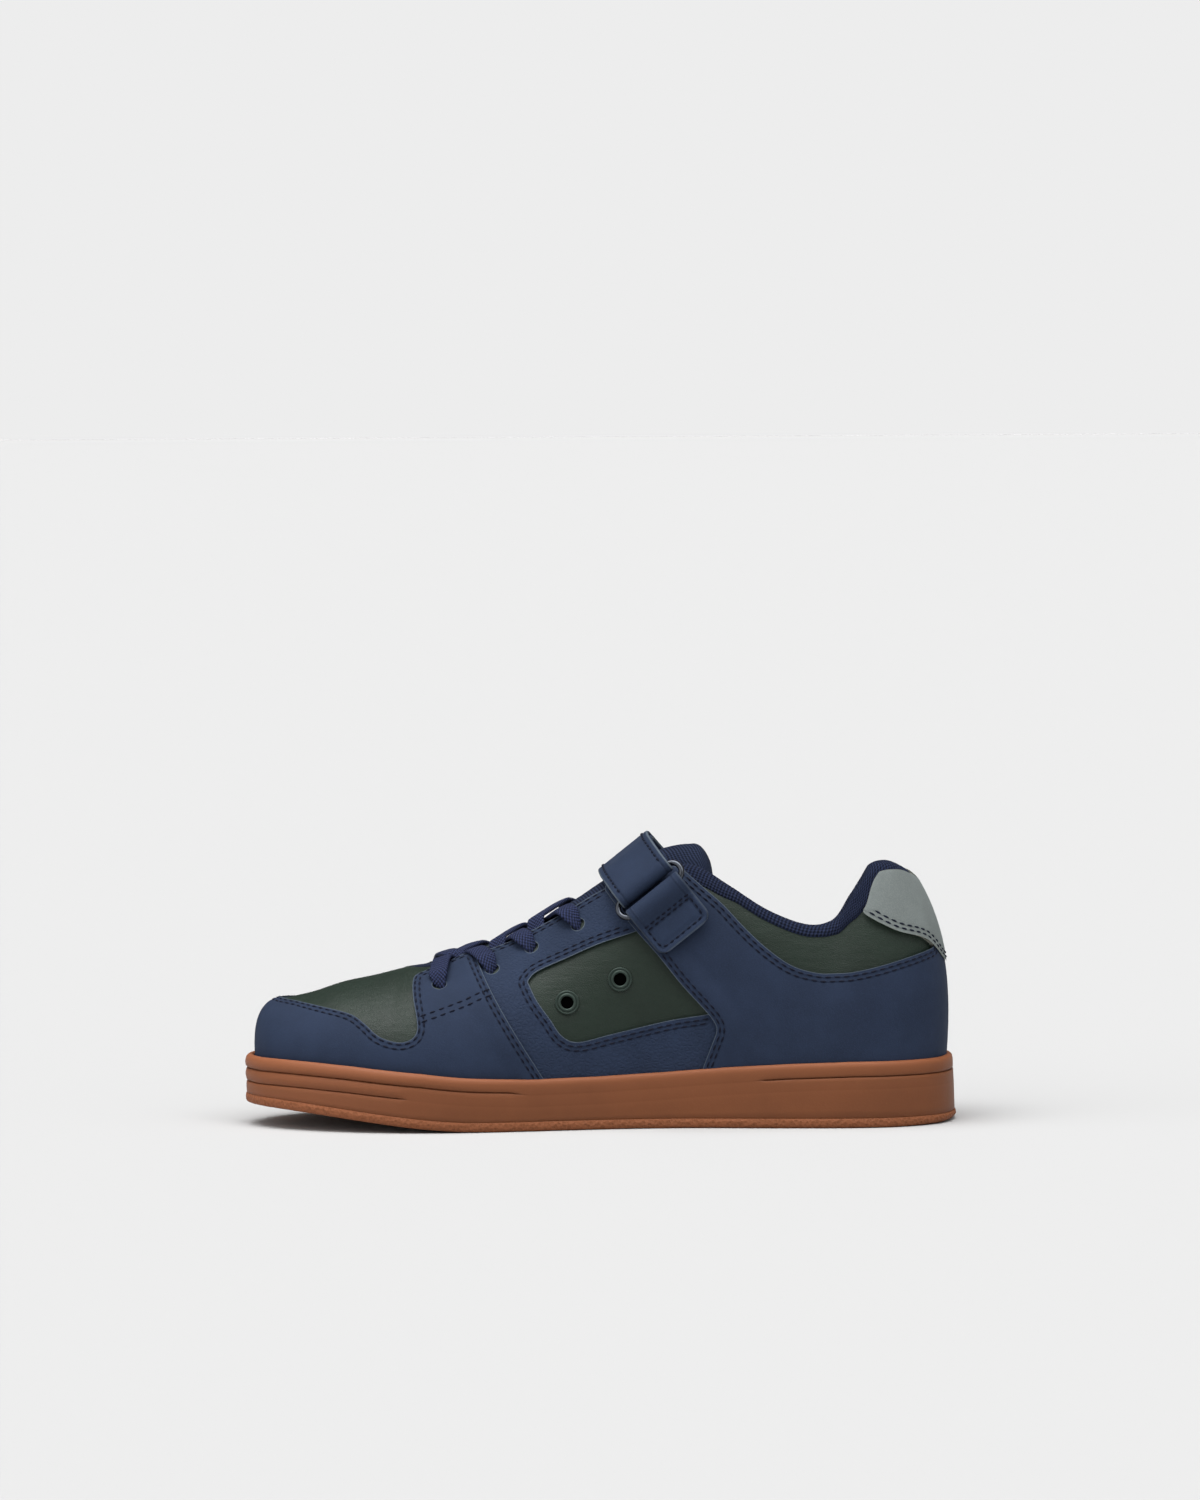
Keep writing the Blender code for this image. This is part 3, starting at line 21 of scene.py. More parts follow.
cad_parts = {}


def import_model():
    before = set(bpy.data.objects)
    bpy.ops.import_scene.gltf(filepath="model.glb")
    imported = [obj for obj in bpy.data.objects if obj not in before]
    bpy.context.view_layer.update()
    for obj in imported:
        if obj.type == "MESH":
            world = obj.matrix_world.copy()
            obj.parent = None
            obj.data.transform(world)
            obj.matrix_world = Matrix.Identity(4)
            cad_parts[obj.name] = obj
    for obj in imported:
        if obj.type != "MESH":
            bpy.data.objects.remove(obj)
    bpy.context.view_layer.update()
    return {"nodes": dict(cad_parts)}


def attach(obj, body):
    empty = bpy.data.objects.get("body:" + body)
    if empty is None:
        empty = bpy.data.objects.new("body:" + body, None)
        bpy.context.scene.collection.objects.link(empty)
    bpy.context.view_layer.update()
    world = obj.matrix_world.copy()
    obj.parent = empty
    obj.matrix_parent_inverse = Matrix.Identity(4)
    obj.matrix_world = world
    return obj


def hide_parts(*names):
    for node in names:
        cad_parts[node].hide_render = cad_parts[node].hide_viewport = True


LOG = logging.getLogger("shoe")
MM = 0.001
Array = np.ndarray
Piece = bpy.types.Object
Pair = Tuple[Array, Array]
Colour = Tuple[float, float, float]
Number = Union[float, "Wire"]


# Sizes and tables


@dataclass(frozen=True)
class ShoeSizes:
    """Named sizes of the shoe, in metres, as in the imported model."""

    length: float = 225 * MM
    ball_width: float = 86 * MM
    upper_height: float = 63 * MM
    heel_side: float = 20.8 * MM
    ball_side: float = 16.2 * MM
    toe_side: float = 14.0 * MM
    toe_spring: float = 6.8 * MM
    spring_start: float = 0.655
    sole_lip: float = 2.2 * MM
    cup_depth: float = 6.5 * MM
    wall: float = 2.4 * MM
    collar_pad: float = 7.5 * MM
    lateral_drop: float = 4 * MM
    gap: float = 0.3 * MM
    upper_inset: float = 3.95 * MM
    tongue_gap: float = 0.6 * MM
    tongue_thickness: float = 4.5 * MM
    lace_width: float = 6.2 * MM
    lace_thickness: float = 1.3 * MM
    strap_width: float = 20 * MM
    strap_layer: float = 1.4 * MM
    strap_angle: float = math.radians(38.5)


class Section(NamedTuple):
    """One section of the form, heel to toe: its place on the sole, its top edge and how its wall bends."""

    name: str
    x: float
    medial: float
    lateral: float
    top_x: float
    top_half: float
    top_z: float
    rise: float
    swell: float
    reach: float
    drop: float
    steps: int


SECTIONS = [
    Section("heel_back", 0.000, 0.000, 0.000, 0.060, 0.000, 0.876, 0.42, 0.035, 0.160, 0.26, 2),
    Section("heel_round", 0.012, 0.170, 0.172, 0.070, 0.102, 0.905, 0.42, 0.040, 0.155, 0.26, 2),
    Section("heel_corner", 0.045, 0.285, 0.290, 0.090, 0.176, 0.938, 0.42, 0.045, 0.140, 0.28, 2),
    Section("heel_side", 0.100, 0.360, 0.365, 0.119, 0.222, 0.920, 0.42, 0.045, 0.125, 0.30, 1),
    Section("counter", 0.155, 0.378, 0.385, 0.146, 0.250, 0.790, 0.42, 0.045, 0.115, 0.30, 1),
    Section("ankle_back", 0.200, 0.375, 0.388, 0.171, 0.270, 0.662, 0.42, 0.045, 0.105, 0.30, 1),
    Section("ankle_low", 0.245, 0.370, 0.390, 0.208, 0.286, 0.628, 0.42, 0.042, 0.100, 0.30, 1),
    Section("ankle_front", 0.295, 0.360, 0.393, 0.264, 0.288, 0.702, 0.42, 0.040, 0.110, 0.30, 1),
    Section("collar_rise", 0.340, 0.350, 0.402, 0.318, 0.268, 0.828, 0.42, 0.036, 0.130, 0.28, 1),
    Section("collar_front", 0.385, 0.345, 0.414, 0.369, 0.228, 0.940, 0.42, 0.032, 0.160, 0.24, 1),
    Section("instep_top", 0.435, 0.352, 0.432, 0.427, 0.186, 0.954, 0.43, 0.035, 0.190, 0.21, 1),
    Section("instep", 0.495, 0.374, 0.456, 0.493, 0.164, 0.845, 0.44, 0.035, 0.215, 0.19, 1),
    Section("throat_high", 0.555, 0.406, 0.481, 0.558, 0.146, 0.707, 0.45, 0.035, 0.250, 0.18, 1),
    Section("throat_mid", 0.615, 0.441, 0.500, 0.620, 0.131, 0.587, 0.46, 0.040, 0.300, 0.16, 1),
    Section("throat_low", 0.675, 0.468, 0.508, 0.677, 0.118, 0.510, 0.47, 0.040, 0.360, 0.13, 1),
    Section("throat_front", 0.730, 0.482, 0.502, 0.726, 0.100, 0.452, 0.50, 0.040, 0.430, 0.08, 1),
    Section("throat_end", 0.765, 0.482, 0.487, 0.754, 0.062, 0.432, 0.53, 0.040, 0.480, 0.03, 1),
    Section("vamp_point", 0.795, 0.473, 0.465, 0.773, 0.000, 0.418, 0.56, 0.040, 0.520, 0.00, 1),
    Section("vamp", 0.845, 0.445, 0.413, 0.815, 0.000, 0.363, 0.60, 0.040, 0.560, 0.00, 2),
    Section("toe_box", 0.895, 0.395, 0.338, 0.861, 0.000, 0.308, 0.64, 0.040, 0.540, 0.00, 2),
    Section("toe_round", 0.945, 0.315, 0.240, 0.902, 0.000, 0.245, 0.68, 0.040, 0.460, 0.00, 2),
    Section("toe_corner", 0.983, 0.205, 0.112, 0.931, 0.000, 0.211, 0.72, 0.035, 0.380, 0.00, 2),
    Section("toe_tip", 1.000, 0.058, -0.058, 0.944, 0.000, 0.196, 0.75, 0.035, 0.340, 0.00, 0),
]
ROW_PITCH = 1.35 * MM
HEEL_SIDE_ROWS = [
    (0.00, 1.00), (0.15, 0.98), (0.24, 0.84), (0.33, 0.60), (0.41, 0.30), (0.50, 0.08), (0.58, 0.0),
]
TOE_SIDE_ROWS = [(0.60, 0.0), (0.66, -0.22), (0.75, -0.52), (0.85, -0.25), (0.93, 0.15), (0.98, 0.40)]
LATERAL_ROWS = [(0.07, 0.0), (0.13, 0.8), (0.18, 1.0), (0.26, 1.0), (0.35, 0.5), (0.43, 0.0)]

# Seam lines seen from the side: share of the length from the heel's back, share of the upper's height
GUARD_TOP = [
    (0.959, 0.190), (0.906, 0.188), (0.872, 0.185), (0.845, 0.175), (0.827, 0.145), (0.810, 0.103),
    (0.794, 0.087), (0.777, 0.087), (0.763, 0.109), (0.757, 0.147), (0.758, 0.204), (0.762, 0.278),
    (0.7635, 0.345), (0.760, 0.386), (0.745, 0.416), (0.727, 0.446), (0.712, 0.480),
]
GUARD_REAR = [(0.674, 0.511), (0.651, 0.343), (0.621, 0.160), (0.580, -0.071)]
EYESTAY_FOOT = [(0.756, 0.204), (0.749, 0.199), (0.651, 0.337)]
WINDOW = [
    (0.600, 0.396), (0.587, 0.441), (0.545, 0.508), (0.502, 0.576), (0.453, 0.635), (0.426, 0.667),
    (0.400, 0.537), (0.369, 0.386), (0.330, 0.269), (0.408, 0.211), (0.483, 0.150), (0.532, 0.111),
    (0.554, 0.140), (0.570, 0.220), (0.588, 0.309),
]
QUARTER_FRONT = [
    (0.491, 0.823), (0.456, 0.664), (0.420, 0.521), (0.389, 0.385), (0.356, 0.258), (0.343, 0.198),
    (0.340, 0.156), (0.348, 0.077), (0.359, -0.025),
]
QUARTER_TOP = [
    (0.400, 0.998), (0.378, 0.933), (0.350, 0.848), (0.327, 0.777), (0.296, 0.660), (0.265, 0.559),
    (0.232, 0.479), (0.198, 0.443), (0.173, 0.440), (0.146, 0.449), (0.108, 0.480), (0.039, 0.549),
]
TAB_EDGE = [
    (0.107, 0.959), (0.121, 0.883), (0.130, 0.770), (0.135, 0.727), (0.122, 0.687), (0.089, 0.626),
    (0.056, 0.589), (0.040, 0.547), (0.023, 0.464), (0.013, 0.416),
]
LACE_HOLES = [(0.725, 0.363), (0.651, 0.449), (0.595, 0.554), (0.530, 0.670)]
VENTS = [(0.547, 0.300), (0.473, 0.412)]


# Small helpers


def unit(vectors: Array) -> Array:
    """Vectors of length one, along the last axis."""
    return vectors / np.maximum(np.linalg.norm(vectors, axis=-1, keepdims=True), 1e-12)


def smooth_step(low: float, high: float, value: Array) -> Array:
    """A soft step from 0 at low to 1 at high.

    Args:
        low: Where the step starts.
        high: Where the step ends.
        value: The places to read it at.

    Returns:
        The step at each place.
    """
    share = np.clip((np.asarray(value, float) - low) / (high - low), 0.0, 1.0)
    return share * share * (3 - 2 * share)


def spline(before: Array, start: Array, end: Array, after: Array, t: Array) -> Array:
    """Points of the Catmull-Rom spline from start to end, at the shares t."""
    return 0.5 * (
        2 * start
        + (end - before) * t
        + (2 * before - 5 * start + 4 * end - after) * t**2
        + (3 * start - before - 3 * end + after) * t**3
    )


def smooth_line(points: Sequence[Sequence[float]], steps: int) -> Array:
    """A smooth open line through points.

    Args:
        points: The points, in two or three dimensions.
        steps: How many steps there are from each point to the next.

    Returns:
        The line's points.
    """
    points = np.array(points, float)
    ends = np.vstack([2 * points[0] - points[1], points, 2 * points[-1] - points[-2]])
    t = (np.arange(steps) / steps)[:, None]
    parts = [spline(*ends[k : k + 4], t) for k in range(len(points) - 1)]
    return np.vstack([*parts, points[-1:]])


def run_of(line: Array) -> Array:
    """How far along a line each of its points is."""
    return np.concatenate([[0.0], np.cumsum(np.linalg.norm(np.diff(line, axis=0), axis=1))])


def read_at(wanted: Array, place: Array, values: Array) -> Array:
    """Rows of values that are known at rising places, read at the wanted places."""
    return np.stack([np.interp(wanted, place, values[:, k]) for k in range(values.shape[1])], -1)


def resample(line: Array, step: float) -> Array:
    """Points at equal steps along a line."""
    place = run_of(line)
    return read_at(np.linspace(0.0, place[-1], max(2, round(place[-1] / step) + 1)), place, line)


def bezier(one: Array, two: Array, three: Array, four: Array, t: Array) -> Array:
    """Points of the cubic from one to four that is drawn towards two and three."""
    return (1 - t) ** 3 * one + 3 * (1 - t) ** 2 * t * two + 3 * (1 - t) * t**2 * three + t**3 * four


def search_tree(points: Sequence[Sequence[float]]) -> KDTree:
    """A search tree over points."""
    tree = KDTree(len(points))
    for k, point in enumerate(points):
        tree.insert(point, k)
    tree.balance()
    return tree


def inside_polygon(points: Array, polygon: Array) -> Array:
    """True for each 2-D point that is inside a closed polygon."""
    x, z = points[:, 0], points[:, 1]
    inside = np.zeros(len(points), bool)
    for (ax, az), (bx, bz) in zip(polygon, np.roll(polygon, -1, 0)):
        if az == bz:
            continue
        crosses = (az > z) != (bz > z)
        inside ^= crosses & (x < (bx - ax) * (z - az) / (bz - az) + ax)
    return inside


def deselect() -> None:
    """Leaves object mode with nothing selected."""
    if bpy.context.object and bpy.context.object.mode != "OBJECT":
        bpy.ops.object.mode_set(mode="OBJECT")
    bpy.ops.object.select_all(action="DESELECT")


def activate(piece: Piece) -> Piece:
    """Makes one piece the only selected and active one."""
    deselect()
    piece.select_set(True)
    bpy.context.view_layer.objects.active = piece
    return piece


def mesh_piece(
    name: str,
    points: Array,
    faces: Iterable[Sequence[int]],
    smooth_angle: float = 40.0,
    fields: Optional[Dict[str, Array]] = None,
    chart: Optional[Array] = None,
) -> Piece:
    """Makes a mesh object from points and faces.

    Args:
        name: The object's name.
        points: Its points, in metres.
        faces: Its faces, as rows of point numbers.
        smooth_angle: Edges sharper than this many degrees stay sharp.
        fields: Values for each point, kept as attributes for the materials.
        chart: A UV place for each point, in metres.

    Returns:
        The object.
    """
    mesh = bpy.data.meshes.new(name)
    mesh.from_pydata([tuple(p) for p in np.asarray(points, float)], [], [tuple(map(int, f)) for f in faces])
    for key, values in (fields or {}).items():
        mesh.attributes.new(key, "FLOAT", "POINT").data.foreach_set("value", np.asarray(values, np.float32))
    if chart is not None:
        layer = mesh.uv_layers.new(name="UVMap")
        corners = np.zeros(len(mesh.loops), np.int32)
        mesh.loops.foreach_get("vertex_index", corners)
        layer.data.foreach_set("uv", np.asarray(chart, np.float32)[corners].ravel())
    mesh.validate()
    piece = bpy.data.objects.new(name, mesh)
    bpy.context.scene.collection.objects.link(piece)
    mesh.shade_smooth()
    mesh.set_sharp_from_angle(angle=math.radians(smooth_angle))
    return piece


def grid_faces(columns: int, rows: int, closed: bool = False) -> List[Tuple[int, int, int, int]]:
    """Faces of a grid whose points run row by row within each column."""
    faces = []
    for column in range(columns if closed else columns - 1):
        after = (column + 1) % columns
        for row in range(rows - 1):
            a, b = column * rows + row, after * rows + row
            faces.append((a, b, b + 1, a + 1))
    return faces


def face_out(piece: Piece, weld: float = 0.0) -> None:
    """Turns a piece's faces outwards, once points closer than weld are joined."""
    activate(piece)
    bpy.ops.object.mode_set(mode="EDIT")
    bpy.ops.mesh.select_all(action="SELECT")
    if weld:
        bpy.ops.mesh.remove_doubles(threshold=weld)
    bpy.ops.mesh.normals_make_consistent(inside=False)
    bpy.ops.object.mode_set(mode="OBJECT")


def stand(piece: Piece, spot: Array, normal: Array) -> None:
    """Moves a piece's points so that its z axis stands on a spot, along a normal."""
    turn = Vector((0, 0, 1)).rotation_difference(Vector(normal)).to_matrix().to_4x4()
    turn.translation = Vector(spot)
    piece.data.transform(turn)


def new_piece(name: str) -> Piece:
    """Names the object that an operator has just added."""
    piece = bpy.context.object
    piece.name = piece.data.name = name
    return piece

# The form


class Side(Enum):
    """Which side of the shoe a piece is on."""

    MEDIAL = -1
    LATERAL = 1
    BOTH = 0


class Form:
    """The surface that the whole upper follows, as a grid [column][row] from the cup to the top edge."""

    def __init__(self, sizes: ShoeSizes, fine: int, rows: int) -> None:
        """Works the grid out.

        Args:
            sizes: The shoe's sizes.
            fine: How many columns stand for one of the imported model's.
            rows: How many rows the wall has from the sole to the top edge.
        """
        self.sizes = sizes
        self.fine = fine
        self.rows = rows
        self.steps = self._loop_steps()
        self.outline, self.outward = self._sole_outline()
        self.count = len(self.outline)
        self.half = self.count // 2
        self.tops = self._tops()
        self.points = self._wall()
        self.normals = self._normals(self.points)

    def _loop_steps(self) -> List[int]:
        """Steps after each row of the closed loop, medial side to the toe and lateral side back."""
        last = len(SECTIONS) - 1
        medial = [SECTIONS[k].steps * self.fine for k in range(last)]
        return medial + medial[::-1]

    def loop(self, medial: Sequence, lateral: Sequence) -> Array:
        """One closed smooth loop through a medial row list and a lateral row list."""
        values = np.array(list(medial) + list(lateral)[-2:0:-1], float)
        if values.ndim == 1:
            values = values[:, None]
        total = len(values)
        parts = []
        for k in range(total):
            t = (np.arange(self.steps[k]) / self.steps[k])[:, None]
            parts.append(spline(*[values[(k + shift) % total] for shift in (-1, 0, 1, 2)], t))
        return np.concatenate(parts)

    def side_x(self, share: float) -> float:
        """X of a share of the length from the heel's back."""
        return self.sizes.length / 2 - share * self.sizes.length

    def share(self, x: Array) -> Array:
        """Share of the length from the heel's back."""
        return (self.sizes.length / 2 - np.asarray(x)) / self.sizes.length

    def ground_rise(self, x: Array) -> Array:
        """Height of the sole's underside over the floor."""
        sizes = self.sizes
        along = np.clip((self.share(x) - sizes.spring_start) / (1 - sizes.spring_start), 0.0, None)
        return sizes.toe_spring * along**2 * (3 - 2 * along)

    def sole_top(self, x: Array) -> Array:
        """Height of the sole's upper line over the floor."""
        sizes = self.sizes
        share = np.clip(self.share(x), 0.0, 1.0)
        heel = np.interp(share, *zip(*HEEL_SIDE_ROWS))
        toe = np.interp(share, *zip(*TOE_SIDE_ROWS))
        side = sizes.ball_side + (sizes.heel_side - sizes.ball_side) * heel
        return self.ground_rise(x) + side + (sizes.toe_side - sizes.ball_side) * toe

    def side_points(self, shares: Sequence[Tuple[float, float]]) -> Array:
        """Side-view (x, z) places of a table of shares."""
        rows = []
        for along, up in shares:
            x = self.side_x(along)
            rows.append((x, self.sizes.heel_side + float(self.ground_rise(x)) + up * self.sizes.upper_height))
        return np.array(rows)

    def _sole_outline(self) -> Pair:
        """The sole's outline in plan and its outward normals."""
        width = self.sizes.ball_width
        medial = [(self.side_x(row.x), -row.medial * width) for row in SECTIONS]
        lateral = [(self.side_x(row.x), row.lateral * width) for row in SECTIONS]
        line = self.loop(medial, lateral)
        line[:, 1] -= (line[:, 1].min() + line[:, 1].max()) / 2
        along = np.roll(line, -1, 0) - np.roll(line, 1, 0)
        normal = unit(np.stack([along[:, 1], -along[:, 0]], 1))
        if np.sum(normal * (line - line.mean(0))) < 0:
            normal = -normal
        return line, normal

    def column_of(self, name: str) -> int:
        """The medial column of a named section."""
        names = [row.name for row in SECTIONS]
        return self.fine * sum(row.steps for row in SECTIONS[: names.index(name)])

    def twin(self, column: int) -> int:
        """The column on the other side of the shoe."""
        return (-column) % self.count

    def is_ridge(self, column: int) -> bool:
        """True where both sides meet on the ridge of the vamp and toe."""
        first = self.column_of("vamp_point")
        return first <= column <= self.count - first

    def middle_y(self, x: Array) -> Array:
        """The line that the top edges lie on both sides of."""
        share = np.clip((self.share(x) - 0.5) / 0.5, 0.0, None)
        return self.outline[0][1] + (self.outline[self.half][1] - self.outline[0][1]) * share**1.5

    def _tops(self) -> Array:
        """The top edge: round collar and throat, and along the ridge."""
        sizes = self.sizes

        def rows(sign: int) -> List[Tuple[float, float, float]]:
            """Top edge places of one side."""
            return [
                (
                    self.side_x(row.top_x),
                    sign * row.top_half * sizes.ball_width,
                    row.top_z * sizes.upper_height,
                )
                for row in SECTIONS
            ]

        loop = self.loop(rows(-1), rows(1))
        tops = loop.copy()
        for column in range(self.count):
            if self.is_ridge(column):
                tops[column] = loop[min(column, self.twin(column))]
                tops[column, 1] = 0.0
        x = tops[:, 0]
        lower = sizes.lateral_drop * np.interp(self.share(x), *zip(*LATERAL_ROWS))
        lower[: self.half + 1] = 0.0
        tops[:, 1] += self.middle_y(x)
        tops[:, 2] += sizes.heel_side + self.ground_rise(x) - lower
        return tops

    def _wall(self) -> Array:
        """The wall from the sole's line to the top edge, with one row down in the cup first."""
        def bend(key: str) -> Array:
            """One wall-bending value for each column."""
            values = [getattr(row, key) for row in SECTIONS]
            return self.loop(values, values)[:, 0]

        rise, swell, reach, drop = (bend(key) for key in ("rise", "swell", "reach", "drop"))
        plan = self.outline - self.outward * self.sizes.upper_inset
        base = np.column_stack([plan, self.sole_top(plan[:, 0])])
        out = np.column_stack([self.outward, np.zeros(self.count)])
        up = np.array([0.0, 0.0, 1.0])
        top = self.tops
        height = (top[:, 2] - base[:, 2])[:, None]
        low_pull = base + height * (rise[:, None] * up + swell[:, None] * out)
        pull = height * reach[:, None] * out
        for column in range(self.count):
            if not self.is_ridge(column):
                continue
            inner = min(column, self.twin(column))
            ahead = top[inner - 1] - top[min(inner + 1, self.half)]
            slope = ahead[2] / max(abs(ahead[0]), 1e-6) * np.sign(ahead[0])
            pull[column, 2] += pull[column, 0] * slope
        high_pull = top + pull - height * drop[:, None] * up
        t = np.linspace(0.0, 1.0, self.rows)[None, :, None]
        wall = bezier(*(part[:, None, :] for part in (base, low_pull, high_pull, top)), t)
        seat = wall[:, :1] - [0.0, 0.0, 4 * MM]
        return np.concatenate([seat, wall], axis=1)

    def cap(
        self,
        points: List[Array],
        grid: Array,
        row: int,
        shares: Sequence[float],
        height: Optional[Callable[[float, float], float]] = None,
    ) -> List[Tuple[int, ...]]:
        """Closes one row of a grid with lanes across the shoe.

        Args:
            points: The piece's points, first of all the grid's. The lanes' own points are added.
            grid: The grid [column][row], closed round the shoe.
            row: The row that is closed.
            shares: Where the lanes' edges are, as shares of the way across.
            height: The height of a point, from its x and from the middle x of its cross line.

        Returns:
            The cap's faces.
        """
        rows, last = grid.shape[1], len(shares) - 1
        index = {}
        for column in range(self.half + 1):
            near, far = grid[column, row], grid[self.twin(column), row]
            for lane, share in enumerate(shares):
                if lane == 0 or column in (0, self.half):
                    index[column, lane] = column * rows + row
                elif lane == last:
                    index[column, lane] = self.twin(column) * rows + row
                else:
                    spot = near + (far - near) * share
                    if height:
                        spot[2] = height(float(spot[0]), float(near[0] + far[0]) / 2)
                    index[column, lane] = len(points)
                    points.append(spot)
        faces = []
        for column in range(self.half):
            for lane in range(last):
                ring = [(column, lane), (column + 1, lane), (column + 1, lane + 1), (column, lane + 1)]
                face = tuple(dict.fromkeys(index[corner] for corner in ring))
                if len(face) > 2:
                    faces.append(face)
        return faces

    def _normals(self, grid: Array) -> Array:
        """Outward normals. Points that both sides share on the ridge get one normal."""
        normals = np.zeros_like(grid)
        after = np.roll(grid, -1, 0)
        one = np.cross(after[:, :-1] - grid[:, :-1], grid[:, 1:] - grid[:, :-1])
        two = np.cross(after[:, 1:] - grid[:, 1:], after[:, 1:] - after[:, :-1])
        face = one + two
        back = np.roll(face, 1, 0)
        normals[:, :-1] += face + back
        normals[:, 1:] += face + back
        for column in range(self.column_of("vamp_point"), self.half + 1):
            shared = normals[column, -1] + normals[self.twin(column), -1]
            normals[column, -1] = normals[self.twin(column), -1] = shared
        normals = unit(normals)
        return -normals if normals[0, 3, 0] < 0 else normals

    def wall_thickness(self) -> Array:
        """Thickness of the upper's wall at each grid point."""
        sizes = self.sizes
        last, full = self.column_of("instep_top"), self.column_of("collar_front")
        inner = np.minimum(np.arange(self.count), self.count - np.arange(self.count))
        share = np.clip((last - inner) / (last - full), 0.0, 1.0)[:, None]
        row = np.linspace(0.0, 1.0, self.points.shape[1])[None, :]
        padded = np.clip(np.clip((row - 0.45) / 0.55, 0.0, 1.0) * 1.3, 0.0, 1.0)
        return sizes.wall + (sizes.collar_pad - sizes.wall) * share * padded**2 * (3 - 2 * padded)

    def rim(self, columns: Array) -> Tuple[Array, Array, Array]:
        """The wall's top edge at some columns: its middle, half its way out and its direction up."""
        outer = self.points[columns, -1]
        inner = outer - self.normals[columns, -1] * self.wall_thickness()[columns, -1:]
        return (outer + inner) / 2, (outer - inner) / 2, unit(outer - self.points[columns, -3])

    def medial_columns(self) -> Array:
        """True for the columns on the medial side."""
        return np.arange(self.count) <= self.half


class FormGuide:
    """Finds places on the form from a side view."""

    def __init__(self, form: Form, lift: float = 0.0) -> None:
        """Builds the search tree over the form moved out by lift."""
        grid = form.points[:, 1:] + form.normals[:, 1:] * lift
        count, rows = grid.shape[:2]
        self.tree = BVHTree.FromPolygons(
            [tuple(p) for p in grid.reshape(-1, 3)], grid_faces(count, rows, closed=True)
        )

    def at(self, x: float, z: float, side: Side) -> Pair:
        """The surface place and outward normal that a side view sees.

        Args:
            x: Place along the shoe.
            z: Height.
            side: The side that it is seen from.

        Returns:
            The point and the normal.
        """
        start = Vector((x, side.value * 0.2, z))
        way = Vector((0.0, -side.value, 0.0))
        spot, normal, _, _ = self.tree.ray_cast(start, way)
        if spot is None:
            spot, normal, _, _ = self.tree.find_nearest(Vector((x, side.value * 0.02, z)))
        if normal.dot(way) > 0:
            normal = -normal
        return np.array(spot), np.array(normal)

# Panels


@dataclass(frozen=True)
class Seam:
    """A line that bounds a panel: side-view places, and how far in from it each row of stitches runs."""

    name: str
    line: Array
    rows: Tuple[float, ...] = ()


@dataclass
class Panel:
    """A leather panel cut from the form."""

    name: str
    outline: Array
    seams: List[Seam]
    side: Side
    rim: bool = False
    rim_rows: Tuple[float, ...] = ()
    hole: Optional[Array] = None
    thickness: float = 1.25 * MM
    replaced: Tuple[str, ...] = ()
    slot: str = "navy_nubuck"
    bores: List[Tuple[Array, float]] = field(default_factory=list)
    over: List[Array] = field(default_factory=list)


